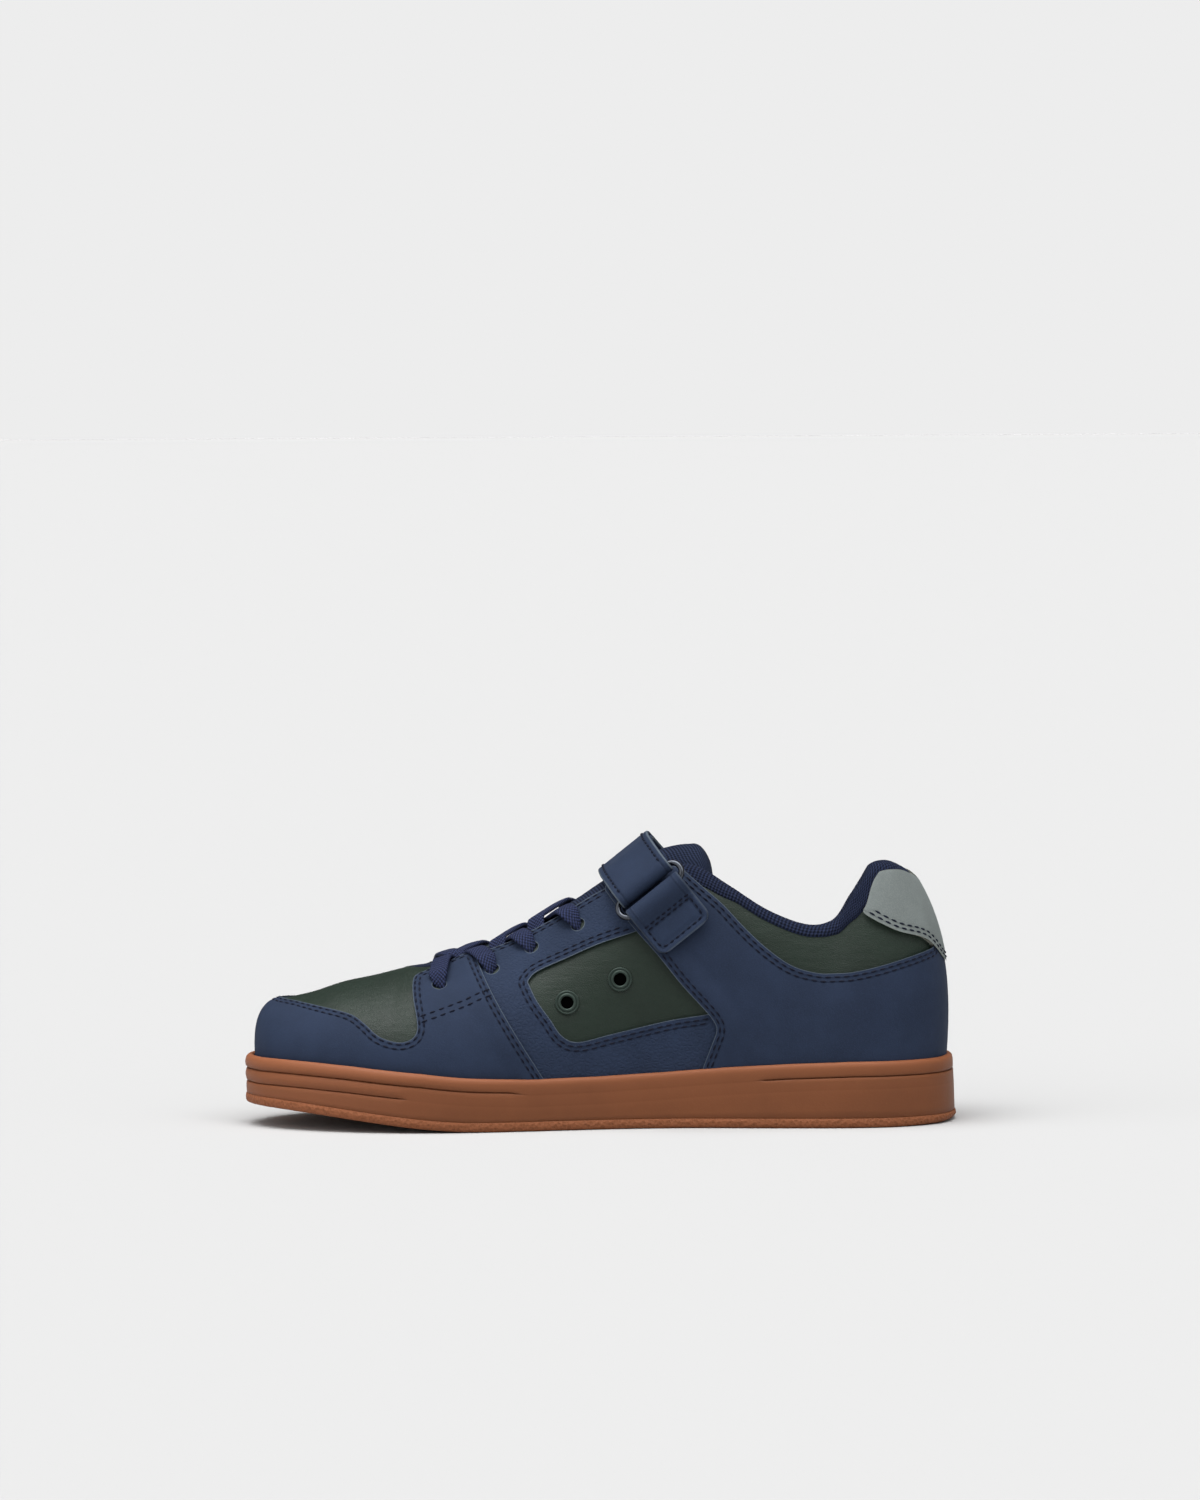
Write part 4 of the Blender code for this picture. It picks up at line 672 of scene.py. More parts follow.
class SeamField:
    """Distance from each grid point of the form to the edge of one panel, positive inside."""

    FAR = 9 * MM
    # The least way between two columns of the fine form, and how near a seam its own edge is
    COLUMN_PITCH = 0.45 * MM
    ON_SEAM = 1.2 * MM

    def __init__(self, form: Form, panel: Panel) -> None:
        """Finds the panel's edge on the form and measures from it."""
        self.form = form
        self.panel = panel
        self.grid = form.points
        self.inside = self._inside(self.grid.reshape(-1, 3)).reshape(self.grid.shape[:2])
        self.inside &= self._side_mask()[:, None]
        starts, ends, on_rim = self._edge_segments()
        self.distance, nearest = self._measure(starts, ends)
        self.tags = self._tags((starts + ends) / 2, on_rim)[nearest]

    def _side_mask(self) -> Array:
        """Columns that the panel may be on."""
        medial = self.form.medial_columns()
        if self.panel.side is Side.MEDIAL:
            return medial
        if self.panel.side is Side.LATERAL:
            lateral = ~medial
            lateral[0] = True
            return lateral
        return np.ones(self.form.count, bool)

    def _inside(self, points: Array) -> Array:
        """True for points inside the panel's side-view outline."""
        flat = points[:, [0, 2]]
        inside = inside_polygon(flat, self.panel.outline)
        if self.panel.hole is not None:
            inside &= ~inside_polygon(flat, self.panel.hole)
        for centre, radius in self.panel.bores:
            inside &= np.linalg.norm(points - centre, axis=1) > radius
        return inside

    def _crossings(self, one: Array, two: Array, one_in: Array) -> Array:
        """Where lines from one to two cross the panel's edge."""
        low, high = np.zeros(len(one)), np.ones(len(one))
        for _ in range(9):
            middle = (low + high) / 2
            same = self._inside(one + (two - one) * middle[:, None]) == one_in
            low, high = np.where(same, middle, low), np.where(same, high, middle)
        return one + (two - one) * ((low + high) / 2)[:, None]

    def _edge_segments(self) -> Tuple[Array, Array, Array]:
        """Short straight pieces of the panel's edge, one for each grid cell, and which are rim."""
        grid, inside = self.grid, self.inside
        count, rows = inside.shape
        across = inside != np.roll(inside, -1, 0)
        upward = np.zeros_like(inside)
        upward[:, :-1] = inside[:, :-1] != inside[:, 1:]
        spots: Dict[Tuple[str, int, int], Array] = {}
        for key, mask, step in (("a", across, (1, 0)), ("u", upward, (0, 1))):
            c, r = np.nonzero(mask)
            one, two = grid[c, r], grid[(c + step[0]) % count, r + step[1]]
            found = self._crossings(one, two, inside[c, r])
            spots.update({(key, int(i), int(j)): p for i, j, p in zip(c, r, found)})
        starts, ends = [], []
        cells = set()
        for key, c, r in spots:
            if key == "a":
                cells |= {(c, r), (c, r - 1)}
            else:
                cells |= {(c, r), ((c - 1) % count, r)}
        for c, r in cells:
            if r < 0 or r >= rows - 1:
                continue
            after = (c + 1) % count
            sides = [("a", c, r), ("u", after, r), ("a", c, r + 1), ("u", c, r)]
            hit = [spots[s] for s in sides if s in spots]
            if len(hit) == 2:
                starts.append(hit[0])
                ends.append(hit[1])
        cut_edges = len(starts)
        if self.panel.rim:
            last = rows - 1
            for c in range(count):
                after = (c + 1) % count
                if inside[c, last] and inside[after, last]:
                    if not (self.form.is_ridge(c) and self.form.is_ridge(after)):
                        starts.append(grid[c, last])
                        ends.append(grid[after, last])
        return np.array(starts), np.array(ends), np.arange(len(starts)) >= cut_edges

    def _measure(self, starts: Array, ends: Array) -> Pair:
        """Signed distance to the segments, and the number of the nearest one."""
        flat = self.grid.reshape(-1, 3)
        tree = search_tree((starts + ends) / 2)
        inside = self.inside.ravel()
        distance = np.where(inside, self.FAR, -self.FAR)
        nearest = np.zeros(len(flat), int)
        band = self._band()
        for k in np.nonzero(band.ravel())[0]:
            found = tree.find_n(flat[k], 4)
            if not inside[k] and found[0][2] > 3 * MM:
                continue
            best = self.FAR
            for _, index, _ in found:
                a, b = starts[index], ends[index]
                along = b - a
                t = min(max(float((flat[k] - a) @ along) / max(float(along @ along), 1e-18), 0.0), 1.0)
                gap = flat[k] - a - along * t
                far = math.sqrt(float(gap @ gap))
                if far < best:
                    best = far
                    nearest[k] = index
            distance[k] = best if inside[k] else -best
        return distance.reshape(self.inside.shape), nearest.reshape(self.inside.shape)

    def _band(self) -> Array:
        """Grid points that may be near the edge."""
        edge = np.zeros_like(self.inside)
        edge |= self.inside != np.roll(self.inside, 1, 0)
        edge[:, 1:] |= self.inside[:, 1:] != self.inside[:, :-1]
        if self.panel.rim:
            edge[:, -1] |= self.inside[:, -1]
        spacing = np.linalg.norm(self.grid[:, 1:] - self.grid[:, :-1], axis=2).max(1)
        grown = edge.copy()
        for _ in range(int(self.FAR / self.COLUMN_PITCH) + 2):
            grown = grown | np.roll(grown, 1, 0) | np.roll(grown, -1, 0)
        for _ in range(int(self.FAR / max(float(np.median(spacing)), 0.2 * MM)) + 14):
            grown[:, 1:] |= grown[:, :-1]
            grown[:, :-1] |= grown[:, 1:]
        return grown

    def _tags(self, middles: Array, on_rim: Array) -> Array:
        """Which seam each edge segment lies on: its number, -1 for the top rim, -2 for a hole or the cup."""
        tags = np.where(on_rim, -1, -2)
        best = np.full(len(middles), self.ON_SEAM)
        for k, seam in enumerate(self.panel.seams):
            line = resample(seam.line, 0.4 * MM)
            far = np.linalg.norm(middles[:, None, [0, 2]] - line[None], axis=2).min(1)
            closer = (far < best) & ~on_rim
            tags[closer], best[closer] = k, far[closer]
        return tags


class PanelCutter:
    """Cuts a panel out of the form and gives it thickness, rounded edges and stitch rows."""

    # How far out and how far down each ring of the rounded edge stands, as shares of the thickness
    EDGE_RINGS = [(0.10, 0.015), (0.20, 0.07), (0.27, 0.18), (0.30, 0.34), (0.31, 0.70), (0.30, 1.30)]
    # The face dips towards its edge and along each stitch row, and rises over a lower panel's edge
    EDGE_DIP, EDGE_FADE = 0.12 * MM, (0.3 * MM, 1.6 * MM)
    ROW_DIP, ROW_HALF = 0.14 * MM, 0.5 * MM
    UNDERLAP, UNDERLAP_FADE = 0.95 * MM, (3.5 * MM, 9.5 * MM)
    LEAST_ROW = 5
    LEVEL, ROW, HEIGHT = 3, 7, 8

    def __init__(self, form: Form, panel: Panel) -> None:
        """Measures the panel and cuts it."""
        self.form = form
        self.panel = panel
        self.field = SeamField(form, panel)
        self.start = self.EDGE_RINGS[-1][0] * panel.thickness
        self.values = self._channels()

    def _row_place(self) -> Array:
        """How far past the first stitch row each grid point is, or far away where its edge has no rows."""
        rows = {k: seam.rows[0] for k, seam in enumerate(self.panel.seams) if seam.rows}
        if self.panel.rim_rows:
            rows[-1] = self.panel.rim_rows[0]
        place = np.full(self.field.distance.shape, 9 * MM)
        for tag, first in rows.items():
            mask = self.field.tags == tag
            place[mask] = self.field.distance[mask] - first
        return place

    @classmethod
    def underlap(cls, far: Array) -> Array:
        """How far a face is raised at some way from the edge that it lies over."""
        return cls.UNDERLAP * (1 - smooth_step(*cls.UNDERLAP_FADE, far))

    def _channels(self) -> Array:
        """Point, distance, normal, row place and face height of the whole grid."""
        form, distance = self.form, self.field.distance
        row = self._row_place()
        face = self.panel.thickness - self.EDGE_DIP * (1 - smooth_step(*self.EDGE_FADE, distance))
        for place in (0.0, ROW_PITCH):
            face = face - self.ROW_DIP * np.exp(-(((row - place) / self.ROW_HALF) ** 2))
        flat = form.points[..., [0, 2]].reshape(-1, 2)
        for line in self.panel.over:
            tree = search_tree([(x, z, 0.0) for x, z in line])
            far = np.array([tree.find((x, z, 0.0))[2] for x, z in flat]).reshape(face.shape)
            face = face + self.underlap(far)
        points = form.points + form.normals * face[..., None]
        parts = [points, distance[..., None], form.normals, row[..., None], face[..., None]]
        return np.concatenate(parts, axis=2).reshape(-1, 9)

    def cut(self) -> Piece:
        """The finished panel."""
        count, rows = self.field.distance.shape
        values, faces = GridClipper(self.values, count, rows, level=self.start).clip()
        values, faces = self._round_edges(values, faces)
        used = np.unique(np.concatenate([np.asarray(f) for f in faces]))
        index = np.full(len(values), -1)
        index[used] = np.arange(len(used))
        faces = [tuple(index[list(face)]) for face in faces]
        values = values[used]
        fields = {"edge": values[:, self.LEVEL] / MM, "row": values[:, self.ROW] / MM}
        return mesh_piece(self.panel.name, values[:, :3], faces, 50.0, fields=fields)

    def _round_edges(self, values: Array, faces: List) -> Tuple[Array, List]:
        """Carries the cut edge outwards and down round its corner."""
        level = self.start
        directed: Dict[Tuple[int, int], bool] = {}
        for face in faces:
            for a, b in zip(face, face[1:] + face[:1]):
                if directed.pop((b, a), None) is None:
                    directed[(a, b)] = True
        on_level = np.abs(values[:, self.LEVEL] - level) < 1e-7
        edges = [(a, b) for a, b in directed if on_level[a] and on_level[b]]
        outward: Dict[int, Array] = {}
        for a, b in edges:
            along = values[b, :3] - values[a, :3]
            normal = values[a, 4:7] + values[b, 4:7]
            out = np.cross(along, normal)
            for end in (a, b):
                outward[end] = outward.get(end, np.zeros(3)) + out
        chain = {a: b for a, b in edges}
        back = {b: a for a, b in edges}
        smooth = {}
        for end, out in outward.items():
            total = 2 * unit(out)
            for near in (chain.get(end), back.get(end)):
                if near is not None:
                    total = total + unit(outward[near])
            smooth[end] = unit(total)
        ends = list(smooth)
        way = np.array([smooth[end] for end in ends])
        base = values[ends]
        height = base[:, self.HEIGHT : self.HEIGHT + 1]
        rings = [dict(zip(ends, ends))]
        new = [values]
        total = len(values)
        for out, down in self.EDGE_RINGS:
            ring = base.copy()
            depth = down * self.panel.thickness if down < 0.5 else down * height
            ring[:, :3] += way * out * self.panel.thickness - base[:, 4:7] * depth
            ring[:, 3] = level - out * self.panel.thickness
            new.append(ring)
            rings.append({end: total + k for k, end in enumerate(ends)})
            total += len(ends)
        extra = []
        for inner, outer in zip(rings, rings[1:]):
            extra += [(inner[b], inner[a], outer[a], outer[b]) for a, b in edges]
        return np.concatenate(new), faces + extra

    def stitch_lines(self) -> List[Pair]:
        """Points and normals along each row of stitches on the panel's face."""
        count, rows = self.field.distance.shape
        tags = self.field.tags.ravel()
        wanted: Dict[float, set] = {}
        for tag, edge_rows in [*enumerate(seam.rows for seam in self.panel.seams), (-1, self.panel.rim_rows)]:
            for row in edge_rows:
                wanted.setdefault(row, set()).add(tag)
        lines = []
        for row, edges in wanted.items():
            clipper = GridClipper(self.values, count, rows, level=row)
            for chain in clipper.contours():
                spots = clipper.spots(chain)
                good = [int(tags[near] in edges) for near, _ in chain]
                turns = np.flatnonzero(np.diff([0, *good, 0])).reshape(-1, 2)
                for start, end in turns:
                    if end - start > self.LEAST_ROW:
                        lines.append((spots[start:end, :3], spots[start:end, 4:7]))
        return lines


class GridClipper:
    """Keeps the part of a grid where channel 3, the distance, is at least a level."""

    def __init__(self, values: Array, count: int, rows: int, level: float) -> None:
        """Takes the grid's channels, its size and the level."""
        self.values = values.copy()
        self.count = count
        self.rows = rows
        self.level = level
        self.extra: List[Array] = []
        self.cut: Dict[Tuple[int, int], int] = {}

    def _quads(self) -> Array:
        """All the grid's quads."""
        column, row = np.meshgrid(np.arange(self.count), np.arange(self.rows - 1), indexing="ij")
        after = (column + 1) % self.count
        a = column * self.rows + row
        b = after * self.rows + row
        return np.stack([a, b, b + 1, a + 1], -1).reshape(-1, 4)

    def _snap(self, quads: Array) -> None:
        """Moves grid points that are nearly on the level onto it, so that no slivers are left."""
        s = self.values[:, 3] - self.level
        pairs = np.concatenate([quads[:, [0, 1]], quads[:, [1, 2]]])
        pairs = pairs[(s[pairs[:, 0]] > 0) != (s[pairs[:, 1]] > 0)]
        best: Dict[int, Tuple[float, int]] = {}
        for a, b in pairs:
            t = s[a] / (s[a] - s[b])
            near, far, share = (a, b, t) if t < 0.5 else (b, a, 1 - t)
            if share < 0.28 and (near not in best or share < best[near][0]):
                best[near] = (share, far)
        moved = {
            near: self.values[near] * (1 - share) + self.values[far] * share
            for near, (share, far) in best.items()
            if far not in best
        }
        for near, value in moved.items():
            self.values[near] = value
            self.values[near, 3] = self.level

    def _between(self, a: int, b: int) -> int:
        """The point where the edge from a to b crosses the level."""
        key = (min(a, b), max(a, b))
        if key not in self.cut:
            one, two = self.values[key[0]], self.values[key[1]]
            t = (self.level - one[3]) / (two[3] - one[3])
            spot = one * (1 - t) + two * t
            spot[3] = self.level
            self.cut[key] = len(self.values) + len(self.extra)
            self.extra.append(spot)
        return self.cut[key]

    def clip(self) -> Tuple[Array, List]:
        """Channels and faces of the part that is kept."""
        quads = self._quads()
        self._snap(quads)
        keep = self.values[:, 3] >= self.level
        inside = keep[quads]
        whole = inside.all(1)
        faces = [tuple(q) for q in quads[whole].tolist()]
        for quad in quads[inside.any(1) & ~whole].tolist():
            ring = []
            for a, b in zip(quad, quad[1:] + quad[:1]):
                if keep[a]:
                    ring.append(a)
                if keep[a] != keep[b]:
                    on = a if keep[a] else b
                    if abs(self.values[on, 3] - self.level) > 1e-12:
                        ring.append(self._between(a, b))
            clean = tuple(dict.fromkeys(ring))
            if len(clean) > 2:
                faces.append(clean)
        values = np.concatenate([self.values, np.array(self.extra).reshape(-1, self.values.shape[1])])
        return self._merge_ridge(values, faces)

    def _merge_ridge(self, values: Array, faces: List) -> Tuple[Array, List]:
        """Joins points that both sides of the ridge share, and drops faces that collapse."""
        used = np.unique(np.concatenate([np.asarray(f) for f in faces]))
        keys: Dict[Tuple[int, int, int], int] = {}
        index = np.arange(len(values))
        for k in used:
            key = tuple(np.round(values[k, :3] / 1e-6).astype(int))
            index[k] = keys.setdefault(key, k)
        rings = [tuple(dict.fromkeys(int(index[corner]) for corner in face)) for face in faces]
        return values, [ring for ring in rings if len(ring) > 2]

    def contours(self) -> List[List[Tuple[int, int]]]:
        """Chains of crossed grid edges along the level."""
        quads = self._quads()
        keep = self.values[:, 3] >= self.level
        inside = keep[quads]
        links: Dict[Tuple[int, int], List[Tuple[int, int]]] = {}
        for quad in quads[inside.any(1) & ~inside.all(1)].tolist():
            hit = [(min(a, b), max(a, b)) for a, b in zip(quad, quad[1:] + quad[:1]) if keep[a] != keep[b]]
            if len(hit) == 2:
                links.setdefault(hit[0], []).append(hit[1])
                links.setdefault(hit[1], []).append(hit[0])
        chains = []
        seen = set()
        ends = [key for key, near in links.items() if len(near) == 1]
        for start in ends + list(links):
            if start in seen:
                continue
            chain = [start]
            seen.add(start)
            while True:
                ahead = [key for key in links[chain[-1]] if key not in seen]
                if not ahead:
                    break
                chain.append(ahead[0])
                seen.add(ahead[0])
            chains.append(chain)
        return chains

    def spots(self, chain: List[Tuple[int, int]]) -> Array:
        """Channels at each crossing of a chain."""
        one = self.values[[a for a, _ in chain]]
        two = self.values[[b for _, b in chain]]
        t = ((self.level - one[:, 3]) / (two[:, 3] - one[:, 3]))[:, None]
        return one * (1 - t) + two * t


class Stitcher:
    """Lays short threads along stitch rows."""

    def __init__(
        self, length: float = 2.35 * MM, pitch: float = 2.85 * MM, radius: float = 0.34 * MM
    ) -> None:
        """Models one thread, which every stitch is copied from."""
        self.pitch = pitch
        deselect()
        bpy.ops.mesh.primitive_uv_sphere_add(segments=6, ring_count=6, radius=1.0, location=(0, 0, 0))
        bpy.ops.object.mode_set(mode="EDIT")
        bpy.ops.transform.rotate(value=math.pi / 2, orient_axis="Y", center_override=(0, 0, 0))
        bpy.ops.transform.resize(value=(length / 2, radius, radius), center_override=(0, 0, 0))
        bpy.ops.object.mode_set(mode="OBJECT")
        thread = bpy.context.object
        self.points = np.array([v.co for v in thread.data.vertices])
        self.points[:, 2] -= 0.9 * radius * (self.points[:, 0] / (length / 2)) ** 2
        self.faces = [tuple(p.vertices) for p in thread.data.polygons]
        bpy.data.objects.remove(thread, do_unlink=True)

    def lay(self, name: str, lines: List[Pair], lift: float = 0.06 * MM) -> Piece:
        """One piece of threads along lines of points and normals.

        Args:
            name: The piece's name.
            lines: Points and normals of each row.
            lift: How far the threads' middle stands over the face.

        Returns:
            The piece.
        """
        points, faces = [], []
        total = 0
        for line, normals in lines:
            joined = np.concatenate([line, normals], axis=1)
            if len(joined) > 6:
                kernel = np.ones(5) / 5
                middle = np.stack([np.convolve(joined[:, k], kernel, "valid") for k in range(6)], 1)
                joined = np.concatenate([joined[:2], middle, joined[-2:]])
            place = run_of(joined[:, :3])
            if place[-1] < 1.5 * self.pitch:
                continue
            number = int(place[-1] / self.pitch)
            wanted = (np.arange(number) + 0.5) * place[-1] / number
            spots = read_at(wanted, place, joined)
            reach = 0.3 * MM
            ahead, behind = (read_at(wanted + way, place, joined[:, :3]) for way in (reach, -reach))
            along = unit(ahead - behind)
            across = unit(np.cross(unit(spots[:, 3:]), along))
            up = np.cross(along, across)
            centre = spots[:, :3] + up * lift
            for c, a, b, u in zip(centre, along, across, up):
                points.append(c + self.points[:, :1] * a + self.points[:, 1:2] * b + self.points[:, 2:] * u)
                faces += [tuple(total + i for i in face) for face in self.faces]
                total += len(self.points)
        return mesh_piece(name, np.concatenate(points), faces, 80.0)


# Materials


class Wire:
    """A number socket that Python sums can be written on: each sum adds its Math node."""

    def __init__(self, graph: "Graph", socket: bpy.types.NodeSocket) -> None:
        """Wraps a socket of a graph."""
        self.graph = graph
        self.socket = socket

    def __add__(self, other: Number) -> "Wire":
        return self.graph.math("ADD", self, other)

    def __sub__(self, other: Number) -> "Wire":
        return self.graph.math("SUBTRACT", self, other)

    def __rsub__(self, other: Number) -> "Wire":
        return self.graph.math("SUBTRACT", other, self)

    def __mul__(self, other: Number) -> "Wire":
        return self.graph.math("MULTIPLY", self, other)

    def __truediv__(self, other: Number) -> "Wire":
        return self.graph.math("DIVIDE", self, other)

    __radd__ = __add__
    __rmul__ = __mul__

    def sine(self) -> "Wire":
        """The sine of the value in radians."""
        return self.graph.math("SINE", self)

    def size(self) -> "Wire":
        """The value without its sign."""
        return self.graph.math("ABSOLUTE", self)

    def least(self, other: Number) -> "Wire":
        """The lesser of two values."""
        return self.graph.math("MINIMUM", self, other)

    def step(self, low: float, high: float) -> "Wire":
        """A soft step from 0 at low to 1 at high."""
        settings = {"interpolation_type": "SMOOTHSTEP"}
        node = self.graph.node("MapRange", settings, {"Value": self, "From Min": low, "From Max": high})
        return Wire(self.graph, node.outputs["Result"])

    def bell(self, middle: float, width: float) -> "Wire":
        """1 at middle, falling to 0 at width either side."""
        return 1 - ((self - middle).size() / width).step(0.0, 1.0)


class Graph:
    """A procedural material in the making."""

    def __init__(self, name: str, world: Optional[bpy.types.World] = None) -> None:
        """Starts a material with its Principled shader, or a world with its Background."""
        self.material = world or bpy.data.materials.new(name)
        self.material.use_nodes = True
        self.tree = self.material.node_tree
        self.shader = self.tree.nodes["Background" if world else "Principled BSDF"]
        self.place = self.node("TexCoord", {}, {}).outputs["Generated" if world else "Object"]

    def node(self, kind: str, settings: Dict[str, object], inputs: Dict[object, object]) -> bpy.types.Node:
        """Adds a node.

        Args:
            kind: The node's type, without ShaderNode.
            settings: The node's own settings, set first.
            inputs: Values or links of its sockets, by name or number.

        Returns:
            The node.
        """
        node = self.tree.nodes.new("ShaderNode" + kind)
        for key, value in settings.items():
            setattr(node, key, value)
        for key, value in inputs.items():
            self.feed(node.inputs[key], value)
        return node

    def feed(self, socket: bpy.types.NodeSocket, value: object) -> None:
        """Links or sets one socket."""
        if isinstance(value, Wire):
            value = value.socket
        if isinstance(value, bpy.types.NodeSocket):
            self.tree.links.new(value, socket)
        elif isinstance(value, tuple) and len(value) == 3 and socket.type == "RGBA":
            socket.default_value = (*value, 1.0)
        else:
            socket.default_value = value

    def math(self, operation: str, *values: Number) -> Wire:
        """A Math node on values or wires."""
        node = self.node("Math", {"operation": operation}, dict(enumerate(values)))
        return Wire(self, node.outputs[0])

    def noise(self, scale: float, detail: float = 3.0, roughness: float = 0.55, place: object = None) -> Wire:
        """Noise of about 1/scale metres, from 0 to 1."""
        inputs = {"Vector": place or self.place, "Scale": scale, "Detail": detail, "Roughness": roughness}
        return Wire(self, self.node("TexNoise", {}, inputs).outputs["Fac"])

    def cells(self, scale: float, feature: str = "DISTANCE_TO_EDGE", place: object = None) -> Wire:
        """Cell pattern distance."""
        inputs = {"Vector": place or self.place, "Scale": scale}
        return Wire(self, self.node("TexVoronoi", {"feature": feature}, inputs).outputs["Distance"])

    def stored(self, name: str) -> Wire:
        """A value that the piece's points carry."""
        return Wire(self, self.node("Attribute", {"attribute_name": name}, {}).outputs["Fac"])

    def chart(self) -> Tuple[Wire, Wire]:
        """The two UV places, in metres."""
        split = self.node("SeparateXYZ", {}, {0: self.node("UVMap", {}, {}).outputs["UV"]})
        return Wire(self, split.outputs["X"]), Wire(self, split.outputs["Y"])

    def axes(self) -> Tuple[Wire, Wire, Wire]:
        """The three object places, in metres."""
        split = self.node("SeparateXYZ", {}, {0: self.place})
        return tuple(Wire(self, split.outputs[key]) for key in "XYZ")

    def stretched(self, scale: Tuple[float, float, float]) -> bpy.types.NodeSocket:
        """The object place, stretched along each axis."""
        return self.node("Mapping", {}, {"Vector": self.place, "Scale": scale}).outputs["Vector"]

    def mix(self, factor: Number, one: object, two: object) -> bpy.types.NodeSocket:
        """A colour between two."""
        node = self.node("Mix", {"data_type": "RGBA"}, {"Factor": factor, 6: one, 7: two})
        return node.outputs[2]

    def bump(self, height: Number, strength: float = 1.0) -> None:
        """Bumps the surface by a height in millimetres."""
        node = self.node("Bump", {}, {"Height": height, "Strength": strength, "Distance": MM})
        self.feed(self.shader.inputs["Normal"], node.outputs["Normal"])

    def set(self, **values: object) -> None:
        """Sets or links the shader's sockets: base_color, roughness, coat_weight and so on."""
        for key, value in values.items():
            name = " ".join(word.capitalize() for word in key.split("_"))
            name = {"Ior": "IOR", "Specular Level": "Specular IOR Level"}.get(name, name)
            self.feed(self.shader.inputs[name], value)


def deeper(colour: Colour, share: float) -> Colour:
    """A colour made darker or lighter by a share."""
    return tuple(min(1.0, part * share) for part in colour)


@dataclass(frozen=True)
class Nubuck:
    """Matt leather with a fine nap, lighter along its cut edges, pressed down along its stitch rows and
    darkened there with painted shade.
    """

    name: str
    colour: Colour
    edge_colour: Colour
    rows: Tuple[float, ...] = (0.0, 1.35)
    grain: float = 0.05
    tumbled: float = 0.0

    def build(self) -> bpy.types.Material:
        """The material."""
        graph = Graph(self.name)
        edge = graph.stored("edge")
        cloud = graph.noise(70.0, 3.0)
        nap = graph.noise(2600.0, 2.0, 0.6)
        base = graph.mix(cloud.step(0.3, 0.75), deeper(self.colour, 0.88), deeper(self.colour, 1.12))
        base = graph.mix(nap.step(0.35, 0.8) * 0.35, base, deeper(self.colour, 1.6))
        press: Number = 0.0
        for row in self.rows:
            press = graph.stored("row").bell(row, 0.55) + press
        if self.rows:
            # Painted shade: the colour is darkened along each stitch row, in the pressed groove.
            base = graph.mix(press.least(1.0) * 0.35, base, deeper(self.colour, 0.6))
        cut = 1 - edge.step(0.30, 0.72)
        wear = cut * (0.55 + 0.45 * nap)
        base = graph.mix(wear, base, self.edge_colour)
        height = nap * self.grain + graph.noise(900.0, 3.0) * 0.05
        if self.tumbled:
            pebble = graph.cells(620.0, place=graph.stretched((1.0, 1.0, 1.3)))
            height = height + pebble.step(0.0, 0.25) * self.tumbled
        if self.rows:
            height = height - press * 0.20
        graph.bump(height, 0.8)
        graph.set(base_color=base, roughness=0.74 + 0.14 * nap, specular_level=0.16)
        return graph.material


@dataclass(frozen=True)
class SmoothLeather:
    """Coated smooth leather with a fine grain and short wrinkles."""

    name: str
    colour: Colour
    roughness: float = 0.40

    def build(self) -> bpy.types.Material:
        """The material."""
        graph = Graph(self.name)
        cloud = graph.noise(55.0, 3.0)
        pores = graph.cells(1500.0)
        fine = graph.noise(1800.0, 3.0, 0.6)
        wrinkle = graph.noise(260.0, 4.0, 0.6, place=graph.stretched((0.55, 1.0, 1.8)))
        base = graph.mix(cloud.step(0.3, 0.7), deeper(self.colour, 0.88), deeper(self.colour, 1.12))
        base = graph.mix((1 - pores.step(0.0, 0.12)) * 0.35, base, deeper(self.colour, 0.6))
        height = pores.step(0.0, 0.2) * 0.045 + fine * 0.03 + wrinkle * 0.22
        graph.bump(height, 0.9)
        graph.set(base_color=base, roughness=self.roughness + 0.14 * fine, specular_level=0.31)
        return graph.material


@dataclass(frozen=True)
class GumRubber:
    """Gum rubber: warm brown, a little cloudy, rough on its tread band, with a painted highlight on its upper
    bead and toe, painted shade in its grooves, and a paler tread band.
    """

    name: str
    colour: Colour
    # The paler tone that the painted highlight mixes in, also used for the specks and the tread crumb.
    bead: Colour

    def build(self) -> bpy.types.Material:
        """The material."""
        graph = Graph(self.name)
        band = graph.stored("band")
        tread = graph.stored("tread")
        cloud = graph.noise(40.0, 4.0)
        speck = graph.noise(1500.0, 2.0, 0.6)
        base = graph.mix(cloud.step(0.3, 0.7), deeper(self.colour, 0.93), deeper(self.colour, 1.07))
        # Painted light: the stored band mask paints a highlight on the top bead and the toe and shade in the
        # grooves, and also marks the paler tread band.
        base = graph.mix(band, base, self.bead)
        base = graph.mix(speck.step(0.62, 0.8) * 0.18, base, deeper(self.bead, 1.15))
        crumb = graph.cells(900.0, "F1")
        base = graph.mix(tread * crumb.step(0.1, 0.7) * 0.35, base, deeper(self.bead, 1.05))
        height = speck * 0.035 + graph.noise(300.0, 3.0) * 0.05 + tread * crumb * 0.45
        graph.bump(height, 0.9)
        graph.set(base_color=base, roughness=0.52 + 0.12 * speck + 0.15 * tread, specular_level=0.25)
        return graph.material


